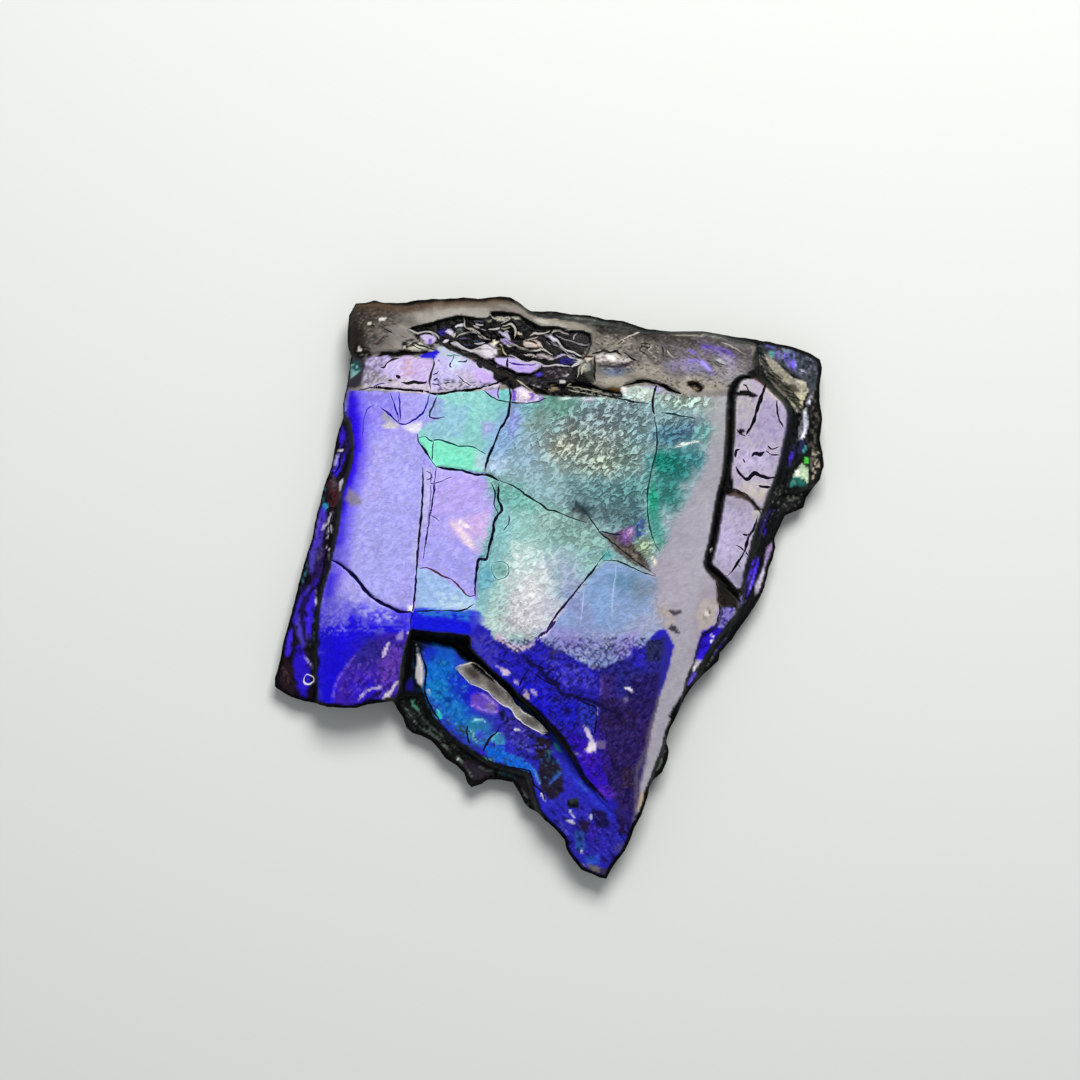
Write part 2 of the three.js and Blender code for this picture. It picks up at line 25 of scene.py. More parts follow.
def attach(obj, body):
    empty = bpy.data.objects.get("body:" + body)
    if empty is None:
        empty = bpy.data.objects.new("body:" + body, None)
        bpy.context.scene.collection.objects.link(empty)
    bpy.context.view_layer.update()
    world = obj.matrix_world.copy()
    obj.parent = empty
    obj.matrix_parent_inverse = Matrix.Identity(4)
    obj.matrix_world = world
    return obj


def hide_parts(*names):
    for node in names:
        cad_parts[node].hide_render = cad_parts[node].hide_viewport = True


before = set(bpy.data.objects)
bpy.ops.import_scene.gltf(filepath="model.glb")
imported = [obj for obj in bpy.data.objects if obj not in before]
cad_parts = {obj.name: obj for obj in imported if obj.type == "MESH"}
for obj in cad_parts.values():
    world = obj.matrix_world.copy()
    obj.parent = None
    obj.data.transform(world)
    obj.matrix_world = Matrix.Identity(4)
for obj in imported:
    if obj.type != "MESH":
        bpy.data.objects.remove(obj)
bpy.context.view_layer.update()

log = logging.getLogger("ammolite")

MM = 0.001  # metres in a millimetre
Point = tuple[float, float]
Route = str  # points in order as "x,y x,y x,y"
TINY = 1e-12  # keeps a division clear of zero
LATTICE = 128  # corners along the lattice of the noise before it repeats
LATTICE_SHIFT = 37.0  # keeps the slab clear of the corner where the lattice starts
NOISE_GAIN = 1.5  # brings the noise near -1 and 1


# ---- Plane geometry ----


@lru_cache(maxsize=None)
def path(route: Route) -> np.ndarray:
    """The points of a route, one per row."""
    return np.array([point.split(",") for point in route.split()], float)


def closed(route: Route) -> np.ndarray:
    """The points of a route with the first one repeated at its end."""
    return np.vstack([path(route), path(route)[:1]])


def smooth_step(low: float, high: float, value: np.ndarray) -> np.ndarray:
    """Share from 0 at low to 1 at high that starts and ends level: t * t * (3 - 2t)."""
    t = np.clip((value - low) / (high - low), 0.0, 1.0)
    return t * t * (3.0 - 2.0 * t)


def rounded(route: Route, parts: int = 4) -> np.ndarray:
    """A route as a smooth curve through its points.

    Each stretch is the cubic whose slope at a point is half the step between the point's
    two neighbours, cut into equal shares.

    Args:
        route: Points of the route.
        parts: Pieces that each stretch is cut into.

    Returns:
        Points of the curve, one per row.
    """
    points = path(route)
    points = np.vstack([2 * points[0] - points[1], points, 2 * points[-1] - points[-2]])
    a, b, c, d = points[:-3], points[1:-2], points[2:-1], points[3:]
    t = np.linspace(0.0, 1.0, parts, endpoint=False)[None, :, None]
    a, b, c, d = (side[:, None] for side in (a, b, c, d))
    curve = 0.5 * (
        2 * b + (c - a) * t + (2 * a - 5 * b + 4 * c - d) * t**2 + (3 * b - a - 3 * c + d) * t**3
    )
    return np.vstack([curve.reshape(-1, 2), points[-2]])


def nearest(route: np.ndarray, points: np.ndarray) -> tuple[np.ndarray, np.ndarray, np.ndarray]:
    """Where a route comes nearest to each point, by projection onto each of its stretches.

    Args:
        route: Points of an open route, one per row.
        points: Places to measure from, one per row.

    Returns:
        The distance, the vector from the nearest spot, and that spot's share of the length.
    """
    start, step = route[:-1], np.diff(route, axis=0)
    squared = np.maximum((step**2).sum(axis=1), TINY)
    offset = points[:, None] - start
    share = np.clip((offset * step).sum(axis=2) / squared, 0.0, 1.0)
    away = offset - share[..., None] * step
    gap = np.hypot(away[..., 0], away[..., 1])
    best, rows = gap.argmin(axis=1), np.arange(len(points))
    lengths = np.sqrt(squared)
    covered = np.concatenate([[0.0], np.cumsum(lengths)])
    along = (covered[best] + share[rows, best] * lengths[best]) / covered[-1]
    return gap[rows, best], away[rows, best], along


def split(points: np.ndarray, size: int = 4000) -> list[np.ndarray]:
    """Row numbers of the points in blocks, so that long outlines stay within memory."""
    return np.array_split(np.arange(len(points)), max(1, len(points) // size))


def from_line(line: np.ndarray, points: np.ndarray) -> tuple[np.ndarray, np.ndarray]:
    """The vector from the nearest spot of a line, and that spot's share of its length."""
    found = [nearest(line, points[rows])[1:] for rows in split(points)]
    return np.vstack([away for away, _ in found]), np.concatenate([along for _, along in found])


def length_of(line: np.ndarray) -> float:
    """The length of a line from its first point to its last."""
    return np.hypot(*np.diff(line, axis=0).T).sum()


def spot(line: np.ndarray, share: np.ndarray) -> np.ndarray:
    """The points at shares of a closed line's length.

    Args:
        line: Points of the line, the last one the same as the first.
        share: Shares of its length. Whole turns make no difference.

    Returns:
        One point per share.
    """
    length = np.concatenate([[0.0], np.cumsum(np.hypot(*np.diff(line, axis=0).T))])
    at = (share % 1.0) * length[-1]
    return np.column_stack([np.interp(at, length, line[:, 0]), np.interp(at, length, line[:, 1])])


def encloses(outline: np.ndarray, points: np.ndarray) -> np.ndarray:
    """Whether an outline encloses each point: a ray to the right crosses it an odd number of times.

    Args:
        outline: Corners of the outline, one per row, with no repeat of the first.
        points: Places to test, one per row.

    Returns:
        True for each point inside.
    """
    x, y = points[:, :1], points[:, 1:]
    ax, ay = outline.T
    bx, by = np.roll(outline, -1, axis=0).T
    rise = np.where(by == ay, 1.0, by - ay)
    crossed = ((ay > y) != (by > y)) & (x < ax + (y - ay) * (bx - ax) / rise)
    return crossed.sum(axis=1) % 2 == 1


def close_to(route: np.ndarray, points: np.ndarray, reach: float) -> np.ndarray:
    """Indices of the points in a route's bounding box, widened by a reach."""
    low, high = route.min(axis=0) - reach, route.max(axis=0) + reach
    return np.flatnonzero(((points > low) & (points < high)).all(axis=1))


def depth_inside(outline: np.ndarray, points: np.ndarray) -> np.ndarray:
    """Signed distance from an outline, more than 0 inside it."""
    gap = nearest(np.vstack([outline, outline[:1]]), points)[0]
    return np.where(encloses(outline, points), gap, -gap)


def noise(points: np.ndarray, size: float | Point, seed: int, octaves: int = 1) -> np.ndarray:
    """Smooth noise of about -1 to 1.

    A lattice corner has a random slope. The four slopes round a point, each carried to
    the point, are blended by 6t^5 - 15t^4 + 10t^3. An octave halves the size and the share.

    Args:
        points: Places, one per row.
        size: Lattice spacing, one number or one for x and one for y.
        seed: Picks the slopes.
        octaves: How many sizes are added up.

    Returns:
        One value per place.
    """
    total, share = np.zeros(len(points)), 1.0
    for octave in range(octaves):
        turn = np.random.default_rng(seed + octave).uniform(0.0, 2.0 * np.pi, (LATTICE, LATTICE))
        scaled = points / (np.asarray(size) * 0.5**octave) + LATTICE_SHIFT
        cell = np.floor(scaled).astype(int)
        fx, fy = (scaled - cell).T
        corners = []
        for dx in (0, 1):
            for dy in (0, 1):
                angle = turn[(cell[:, 0] + dx) % LATTICE, (cell[:, 1] + dy) % LATTICE]
                corners.append(np.cos(angle) * (fx - dx) + np.sin(angle) * (fy - dy))
        u = fx**3 * (fx * (fx * 6.0 - 15.0) + 10.0)
        v = fy**3 * (fy * (fy * 6.0 - 15.0) + 10.0)
        left = corners[0] + v * (corners[1] - corners[0])
        right = corners[2] + v * (corners[3] - corners[2])
        total += share * NOISE_GAIN * (left + u * (right - left))
        share *= 0.5
    return total


def turned(points: np.ndarray, degrees: float) -> np.ndarray:
    """Points on axes turned by an angle, so that noise on them can run aslant.

    Args:
        points: Places, one per row.
        degrees: How far the axes are turned, anticlockwise.

    Returns:
        The same places, measured on the turned axes.
    """
    angle = math.radians(degrees)
    along = points[:, 0] * math.cos(angle) + points[:, 1] * math.sin(angle)
    across = points[:, 1] * math.cos(angle) - points[:, 0] * math.sin(angle)
    return np.column_stack([along, across])


@dataclass(frozen=True)
class Ripple:
    """Noise of one spacing and depth, by which a form or a colour strays from its plan."""

    size: float | Point
    seed: int
    octaves: int = 1
    depth: float = 1.0

    def at(self, points: np.ndarray) -> np.ndarray:
        """How far it strays at each place: the noise times the depth."""
        return self.depth * noise(points, self.size, self.seed, self.octaves)


@dataclass(frozen=True)
class Taper:
    """How a line narrows to both ends: its share of the width at a tip, and the growth from there."""

    tip: float
    growth: float

    def at(self, along: np.ndarray) -> np.ndarray:
        """Share of the full width at a share of the length: tip plus growth times the way in."""
        return np.minimum(1.0, self.tip + self.growth * np.minimum(along, 1.0 - along))


def hex_values(colour: str) -> np.ndarray:
    """An sRGB hex colour such as "#2008e0" as three values from 0 to 1."""
    return np.array([int(colour[i : i + 2], 16) for i in (1, 3, 5)]) / 255.0


def linear(colour: str | np.ndarray) -> np.ndarray:
    """An sRGB hex colour, or an array of sRGB values, as linear values."""
    value = hex_values(colour) if isinstance(colour, str) else np.clip(colour, 0.0, 1.0)
    return np.where(value <= 0.04045, value / 12.92, ((value + 0.055) / 1.055) ** 2.4)


# ---- The frame of levels ----


@dataclass(frozen=True)
class Fall:
    """A slope that sets in gradually, as one arm of a hyperbola.

    The fall is half the slope times the sum of d and the root of d squared plus the softness
    squared, where d is the distance past the start.
    """

    slope: float
    softness: float
    start: float = 0.0

    def at(self, distance: np.ndarray) -> np.ndarray:
        """How far the surface has fallen at a distance."""
        beyond = distance - self.start
        return 0.5 * self.slope * (beyond + np.hypot(beyond, self.softness))


@dataclass(frozen=True)
class Crown:
    """The gently domed plate of nacre before anything broke from it, as a height over x and y."""

    top: float = 4.5
    least: float = 1.75  # nothing on the upper side is worn lower than this
    left_edge: Point = (-15.3, 14.4)
    left_lean: float = 0.09
    roll_width: float = 1.6
    roll_drop: float = 0.85
    roll_beyond: float = 0.45
    ridge: Point = (13.7, 14.0)
    ridge_lean: float = 0.191
    left: Fall = Fall(0.03, 3.0, 5.0)
    right: Fall = Fall(0.22, 1.0)
    lower: Fall = Fall(0.11, 2.0, 2.5)
    upper: Fall = Fall(0.14, 1.0, 14.2)
    step_slope: float = 0.144  # the step to the lower plate grows by this per millimetre
    step_from: float = -17.5
    step_least: float = 0.1
    step_most: float = 1.3
    swell: float = 0.05
    swell_turn: Point = (0.55, 0.43)  # radians per millimetre of x and of y
    ripple: float = 0.03
    ripple_turn: Point = (1.3, 0.7)
    proud: float = 0.02  # nothing on the upper side stands further than this above the top

    def at(self, x: np.ndarray, y: np.ndarray) -> np.ndarray:
        """Height of the dome: its top, a swell and a ripple, less the falls to its four sides.

        The left edge rolls over as a parabola, then drops straight.

        Args:
            x: Places from left to right.
            y: Places from the pointed end up.

        Returns:
            One height per place.
        """
        swell = self.swell * np.sin(self.swell_turn[0] * x) * np.cos(self.swell_turn[1] * y)
        ripple = self.ripple * np.sin(self.ripple_turn[0] * x - self.ripple_turn[1] * y)
        inward = x - self.left_edge[0] + self.left_lean * (self.left_edge[1] - y)
        bent = np.clip(1.0 - inward / self.roll_width, 0.0, 1.0)
        roll = self.roll_drop * bent**2 - self.roll_beyond * np.minimum(inward, 0.0)
        past_ridge = x - self.ridge[0] + self.ridge_lean * (self.ridge[1] - y)
        falls = self.left.at(-x) + self.right.at(past_ridge) + self.lower.at(-y) + self.upper.at(y)
        return self.top + (swell + ripple) - roll - falls

    def lower_at(self, x: np.ndarray, y: np.ndarray) -> np.ndarray:
        """Height of the lower plate, a step below the dome that shrinks towards the point."""
        step = np.clip(self.step_slope * (y - self.step_from), self.step_least, self.step_most)
        return self.at(x, y) - step


@dataclass(frozen=True)
class Loss:
    """An area that lost its upper sheets, down to a depth under the dome or the lower plate."""

    outline: Route
    depth: float
    run: float = 0.12  # the broken edge slopes over this width
    on_lower: bool = False


@dataclass(frozen=True)
class Joint:
    """An open joint between plates: a groove with sloping sides, narrow at both ends."""

    width: float
    depth: float
    route: Route


@dataclass(frozen=True)
class Splinter:
    """A thin blade or flake that stands up, with its top at a depth under a surface."""

    depth: float
    outline: Route
    on_lower: bool = False
    tilt: float = 0.0  # rise from its left end to its right end


@dataclass(frozen=True)
class Grain:
    """Small relief over an area: noise, or with `ridged` the sharp crests of its absolute value."""

    outline: Route
    height: float
    size: Point
    slant: float = 0.0
    ridged: bool = False
    soft: float = 0.6
    octaves: int = 2


COAT_TAPER = Taper(0.35, 2.6)
COAT_SPACING = 0.75  # of the noise that a coat's edge strays by
FLECK_SEED = 3  # added to a coat's seed for its flecks
GLOW_REACH = 1.7  # radii beyond which a glow leaves no trace
GLOW_STRAY = 0.34  # how far a glow strays from an oval


@dataclass(frozen=True)
class Coat:
    """Colour over an area, or along a line where it has a width."""

    route: Route
    hue: str
    soft: float = 0.12  # the edge fades over this width
    cover: float = 1.0
    width: float = 0.0
    wander: float = 0.1  # how far the edge strays from the route
    fleck: tuple[float, ...] = ()  # broken cover: size along and across, slant, share
    rough: float = -1.0
    # crinkle also paints highlight and shade onto the wrinkles' crests and hollows
    crinkle: float = -1.0  # how much foil-like wrinkling the nacre shows, 0 to 1

    def share(self, points: np.ndarray, seed: int) -> tuple[np.ndarray, np.ndarray]:
        """How much of the coat lies on the points near it.

        The distance inside the area's edge, or inside the line's tapering half width, is
        shifted by noise and eased from bare to covered.

        Args:
            points: Places, one per row.
            seed: Picks the noise.

        Returns:
            Row numbers of the points reached, and the share at each.
        """
        line = self.width > 0
        curve = rounded(self.route, parts=3) if line else path(self.route)
        rows = close_to(curve, points, 0.5 * self.width + self.soft + 2.0 * self.wander)
        here = points[rows]
        if line and len(rows):
            gap, _, along = nearest(curve, here)
            edge = 0.5 * self.width * COAT_TAPER.at(along) - gap
        else:
            edge = depth_inside(curve, here)
        edge = edge + Ripple(COAT_SPACING, seed, 3, self.wander).at(here)
        share = self.cover * smooth_step(-0.5 * self.soft, 0.5 * self.soft, edge)
        if self.fleck:
            share = share * fleck_share(here, self.fleck, seed + FLECK_SEED)
        return rows, share


@dataclass(frozen=True)
class Glow:
    """A soft oval of colour that fades outwards: exp(-r cubed), r being 1 at its radii."""

    middle: Point
    radii: Point
    hue: str
    cover: float = 0.85
    slant: float = 0.0
    rough: float = -1.0
    crinkle: float = -1.0

    def share(self, points: np.ndarray, seed: int) -> tuple[np.ndarray, np.ndarray]:
        """How much of the glow lies on the points near it.

        Args:
            points: Places, one per row.
            seed: Picks the noise that its oval strays by.

        Returns:
            Row numbers of the points reached, and the share at each.
        """
        middle = np.asarray(self.middle)
        rows = close_to(middle[None, :], points, GLOW_REACH * max(self.radii))
        here = points[rows]
        shift = Ripple(1.0, seed, 4, GLOW_STRAY).at(here)[:, None]
        radius = np.hypot(*((turned(here - middle, self.slant) / self.radii) * (1.0 + shift)).T)
        return rows, self.cover * np.exp(-(radius**3))


@dataclass(frozen=True)
class Crack:
    """A hair crack: a crisp line that tapers at both ends."""

    width: float
    hue: str
    route: Route


def flecks(route: Route, soft: float, *coats: tuple[str, float, tuple[float, ...]]) -> list[Coat]:
    """Broken coats over one area, the lowest first, each as its hue, cover and fleck."""
    return [Coat(route, hue, soft, cover, fleck=fleck) for hue, cover, fleck in coats]


# The broken outline, clockwise from the upper left corner.
OUTLINE: Route = (
    "-15,20.4 -14.8,20.8 -14.5,21.3 -13.7,21.3 -13,21.5 -12.4,21.3 -11.5,21.3 -10.7,21.3 -10,21.5 "
    "-8.7,21.6 -7.6,21.6 -6.4,21.7 -5.3,21.6 -4.4,21.7 -3.7,21.8 -2.9,21.7 -2.3,21.4 -1.8,21 -1.3,20.7 "
    "-0.3,20.7 0.5,20.7 1.6,20.5 3.1,20.4 4.3,20.1 5.5,20 6.4,19.7 7.2,19.4 8.9,19.2 10.3,19.2 11.5,19.2 "
    "12.8,19 14,18.8 15.5,18.6 16.9,18.3 18.1,18.1 19,17.8 19.7,17.5 20.3,17.1 20.5,16.5 20.3,15.2 "
    "20.3,13.9 20.5,12.7 20.3,11.1 20.5,10.2 20.6,9.1 20.3,8.1 19.7,7.3 19.3,6.7 19.1,6 18.5,5.7 17.7,5.4 "
    "17.3,4.5 16.9,3.7 17,3 16.8,2.2 16.5,1.5 16.2,0.1 15.7,-1 14.9,-2.2 14.3,-3 13.7,-3.9 12.8,-4.9 "
    "12.7,-5.5 11.8,-6.3 10.9,-7.2 10.2,-8.1 9.8,-9 9,-10.6 8.8,-11.5 9,-12.2 8.9,-12.9 8.5,-13.8 "
    "7.9,-14.3 7.5,-15 7.3,-15.9 6.9,-17 6.4,-17.9 6.1,-18.8 5.7,-19.7 5.1,-20.4 4.7,-21 4.3,-21.8 "
    "3.8,-21.7 3.1,-21.4 2.4,-21.1 1.9,-20.5 1.3,-19.6 1.1,-18.8 0.4,-18 -0.3,-17.4 -0.9,-16.8 -1.4,-16.6 "
    "-1.9,-16.1 -2.3,-15.3 -2.7,-14.6 -3.7,-14.4 -4.6,-14.4 -5,-14.7 -5.8,-15 -6.1,-14.7 -6.4,-13.9 "
    "-7,-13.3 -7.8,-12.8 -8.2,-12.2 -8.8,-11.5 -9.6,-11.1 -10.3,-10.9 -10.7,-10.5 -11,-9.7 -11.4,-9.1 "
    "-11.7,-8.5 -12.4,-8.6 -13.4,-8.7 -14.3,-9 -15.5,-9 -16.6,-8.9 -17.4,-8.7 -18.4,-8.5 -19.4,-8.2 "
    "-20.1,-7.8 -20.6,-7.4 -20.6,-6.8 -20.2,-5.5 -20,-4.2 -19.6,-2.9 -19.2,-1.4 -18.8,0.3 -18.3,2.1 "
    "-17.8,3.7 -17.4,5.7 -17.2,6.3 -16.9,7.6 -16.3,9.1 -16.1,10.4 -15.8,11.7 -15.4,12.8 -15.4,13.8 "
    "-15.1,15.2 -14.9,16.7 -14.8,17.3 -15.1,18.1 -15.1,19.3"
)

# The sheet that the slab rests on. The left lobe and the lower point overhang it.
FOOT: Route = (
    "-14,19.3 -11.2,20.2 -7.4,20.5 -3.7,20.6 0.8,19.6 6.8,18.4 12.8,18 17.3,17.2 19.3,16 19.3,12.6 "
    "19.4,9.4 18.4,7.9 16.7,6.6 15.6,3.9 14.9,0.9 13.4,-1.7 11.6,-4.3 9.8,-6.8 8.6,-9 7.6,-11.4 6.8,-13.8 "
    "5.5,-15.9 3.8,-16.4 1.9,-15.8 -0.1,-15.3 -1.9,-14.3 -3.7,-13.5 -5.3,-13.5 -6.5,-12.8 -8.2,-11.3 "
    "-9.7,-10.1 -10.6,-8.4 -11.2,-6.3 -12.3,-4.7 -14.8,-3 -16.4,-0.9 -15.8,2.1 -15.3,5.1 -14.8,8.1 "
    "-14.5,11.1 -14.3,14.8"
)

# Areas that have lost their upper sheets. Their outer sides run past the outline.
LEFT_STRIP: Route = (
    "-17.3,-9.3 -17.3,-7.7 -17.4,-5.8 -17.3,-3.9 -17.2,-2.3 -17,-0.9 -16.7,0.3 -16.3,1.7 -16,3 -15.7,4.3 "
    "-15.5,5.7 -15.4,6.9 -15.1,7.9 -14.7,9 -14.5,10.2 -14.6,11.2 -14.8,12.3 -15.3,13 -15.7,13.9 -23.2,13.9 "
    "-23.2,-9.9"
)
UPPER_EDGE: Route = (
    "-3.3,22.3 -2.5,21.3 -2.1,21 -1.5,20.4 -0.7,20.1 0.5,20 1.7,19.8 3.1,19.7 4.6,19.5 6.1,19.2 7.2,18.9 "
    "8.9,18.9 11.3,18.9 12.7,18.7 13.9,18.3 15.1,18.1 16,17.8 16.9,19.3 15.8,22.3"
)
RIGHT_SIDE: Route = (
    "15.8,20.1 15.5,17.8 15.6,16.8 15.5,15.9 16.1,15.3 16.6,14.9 17.2,14.3 17.7,13.7 18,12.9 17.9,11.8 "
    "17.6,10.3 17.3,9.1 16.9,7.9 16.5,6.7 16.1,5.4 15.5,4.3 15.2,3.2 15,2.1 14.6,0.9 14.4,-0.1 13.9,-0.3 "
    "13.3,0.2 12.5,-0.9 12.8,-1.5 12.7,-2.3 12.3,-3 11.5,-3.3 11.2,-3.9 10.9,-4.8 10.7,-5.7 10.2,-6.8 "
    "10,-7.8 9.6,-9.3 17.3,-9.9 22.6,-0.9 22.6,20.1"
)
RIGHT_WALL: Route = (
    "22.6,8.8 18.8,7.6 17.2,7.2 16.4,5.7 15.8,4.2 15.4,2.4 14.9,0.6 14.2,-1.2 13.4,-2.6 12.2,-3.9 "
    "11.5,-5.1 10.9,-6.6 10.1,-8.3 18.8,-9.9 22.6,-0.9"
)
RIGHT_CHIP: Route = "9.2,-10.5 8.6,-11.2 8.3,-12.2 7.9,-13.2 7.5,-14.4 7.3,-15.6 11.3,-15.2 11.3,-10.7"
LOWER_PLATE: Route = (
    "-12.7,-9.3 -11.4,-8.4 -11.2,-7.5 -11.1,-6.3 -10.9,-5.1 -10.6,-3.9 -10.3,-3.1 -8.8,-3.3 -7.3,-3.4 "
    "-5.9,-3.6 -5.8,-4.5 -5.2,-5.1 -4.4,-6 -3.7,-6.6 -2.8,-7.3 -2.3,-8 -1.6,-8.7 -0.7,-9.5 0.1,-10.4 "
    "1.1,-11.7 1.8,-12.7 2.5,-14 3.2,-14.9 3.8,-15.7 4.5,-16.5 5.2,-17.4 5.9,-18.3 7.6,-18.6 7.6,-23.4 "
    "-12.7,-23.4"
)
SHALE_FRINGE: Route = (
    "-12.3,-8.4 -10.9,-7.9 -9.4,-7.8 -9.2,-8.6 -8.8,-9.4 -8.1,-10.2 -7.3,-11 -6.5,-11.6 -5.8,-12.1 "
    "-5,-12.6 -4.3,-13 -3.4,-13.3 -2.3,-13.6 -1.5,-13.8 -1.2,-14.7 -1,-15.7 -0.6,-16.6 -0.3,-17.4 "
    "-3.7,-19.7 -11.2,-15.9"
)
FLAKED_HOLLOW: Route = (
    "-10.5,19.4 -9.7,19.6 -8.8,19.8 -7.8,20.1 -6.8,20.3 -5.8,20.2 -5,20.1 -4.4,20.2 -4.3,20.6 -3.3,20.6 "
    "-2.2,20.4 -1.4,19.9 -0.7,19.5 0.5,19.5 1.6,19.2 2.5,19.2 3.1,18.9 3.2,18.2 2.9,17.4 2.5,16.9 2.2,16.5 "
    "1.6,15.7 0.5,15.4 -0.7,15.3 -1.4,15.1 -0.3,14.7 0.1,14.3 -1,14.4 -2.2,15.1 -3.1,15.7 -3.7,15.9 "
    "-4.6,16.5 -5.3,17 -6.3,17.4 -7.3,17.8 -7.9,18.3 -8.3,18.6 -8.9,18.9 -9.7,18.9 -10.1,19.1"
)
SMALL_PIT: Route = "10.3,15.3 10.7,15.4 11.2,15.3 11.5,14.9 11.2,14.5 10.7,14.7 10.3,14.7 10.1,15"

LOSSES = (
    Loss(LEFT_STRIP, 0.9, run=0.25),
    Loss(UPPER_EDGE, 0.9, run=0.3),
    Loss(RIGHT_SIDE, 0.4),
    Loss(RIGHT_WALL, 1.3, run=0.5),
    Loss(RIGHT_CHIP, 1.0, run=0.3),
    Loss(LOWER_PLATE, 0.0, run=0.14, on_lower=True),
    Loss(SHALE_FRINGE, 0.9, run=0.5, on_lower=True),
    Loss(FLAKED_HOLLOW, 0.5, run=0.1),
    Loss(SMALL_PIT, 0.3, run=0.3),
)

# Seams that are both an open joint and a dark line
MINT_FOOT: Route = "-8.4,9 -7.4,8.8 -6.5,8.7 -5.5,8.4 -4.6,8.4 -3.7,7.9"
HOLLOW_SEAM: Route = "0,15 1.2,15 2.7,15 4,14.7 5.4,14.4"
TEAL_SEAM: Route = (
    "-3,15.3 -2.9,14.6 -2.9,13.8 -3,13 -3.3,12.3 -3.7,11.7 -4,10.9 -4.3,10.2 -4.6,9.4 -4.8,8.5"
)

# Open joints between the plates.
JOINTS = (
    Joint(  # the dark gully right of the two loose tiles
        1.1,
        1.0,
        "15.6,18.1 15.7,16.9 16.1,15.9 16.9,15.1 17.8,14.2 18.4,13.2 18.4,12.2 18.1,10.7 17.8,9.3 17.4,8 "
        "16.8,6.5 16.3,5.1 15.8,3.6 15.4,2.1 15,0.6 14.6,-0.9",
    ),
    Joint(  # the gully left of them and round their lower end
        0.6,
        0.8,
        "14.9,15.6 14.3,15.6 13.8,15 13.6,14.1 13.5,12.2 13.4,10.3 13.2,8.4 12.8,6.8 12.5,5.1 12.2,3.4 "
        "11.9,2.2 11.9,1.5 12.6,0.9 13.3,0.2 13.9,-0.5 14.3,-1.2",
    ),
    Joint(  # the shadowed gap at the foot of the step to the lower plate
        0.9,
        0.5,
        "-10.2,-3.7 -9.4,-3.8 -8.3,-3.9 -7.3,-4.1 -6.5,-4.5 -5.9,-5.1 -5.2,-5.9 -4.4,-6.6 -3.7,-7.2 "
        "-2.9,-7.9 -2.2,-8.6 -1.3,-9.4 -0.4,-10.2 0.4,-11.3 1.2,-12.5 2,-13.7 2.8,-14.8",
    ),
    Joint(0.38, 0.25,  # ledge under the grey upper left field
          "-13.6,17.2 -12.8,17.4 -11.9,17.5 -10.8,17.5 -9.7,17.5 -8.8,17.7 -8.2,17.5"),
    Joint(0.38, 0.3,  # arch at the head of the green field
          "5.5,15 6.2,15.2 7,15.4 7.9,15.2 8.5,15 9.1,14.7 9.8,14.4"),
    Joint(0.3, 0.25,  # diagonal break across the left field
          "-16.3,2.1 -15.7,1.8 -15,1.3 -14.3,0.6 -13.7,-0.2 -12.9,-0.9 -12,-1.4 -11.1,-1.8 -10.3,-1.9"),
    Joint(  # right side of the centre tile
        0.3,
        0.2,
        "-4.1,8.1 -4,7.2 -3.8,6.2 -4,5.2 -4.2,4.3 -4.3,3.3 -4.6,2.3 -5.2,2.1 -5.4,1.2 -5.5,-0.2 -5.5,-1.4",
    ),
    Joint(0.3, 0.2, MINT_FOOT),
    Joint(0.26, 0.2, HOLLOW_SEAM),
    Joint(0.22, 0.3,  # split between the two loose tiles
          "13,6.9 13.9,7.1 14.7,6.7 15.2,6.3 15.7,5.7"),
    Joint(  # long seam under the upper tiles
        0.2,
        0.15,
        "-14.2,14.7 -13,14.9 -11.8,14.8 -10.4,14.7 -9.3,14.6 -8.4,14.4 -7,14.6 -5.8,14.7 -4.6,15 -3.7,15.3 "
        "-3.1,15.6",
    ),
    Joint(  # long upright joint between the left and centre fields
        0.2,
        0.12,
        "-9.8,11.4 -9.7,10.8 -9.2,10.2 -9.4,9 -9.4,7.3 -9.5,5.4 -9.7,3.6 -9.8,2.1 -9.9,0.7 -10,-0.6 "
        "-10,-1.5 -10.3,-2.6",
    ),
    Joint(0.2, 0.12, TEAL_SEAM),
)

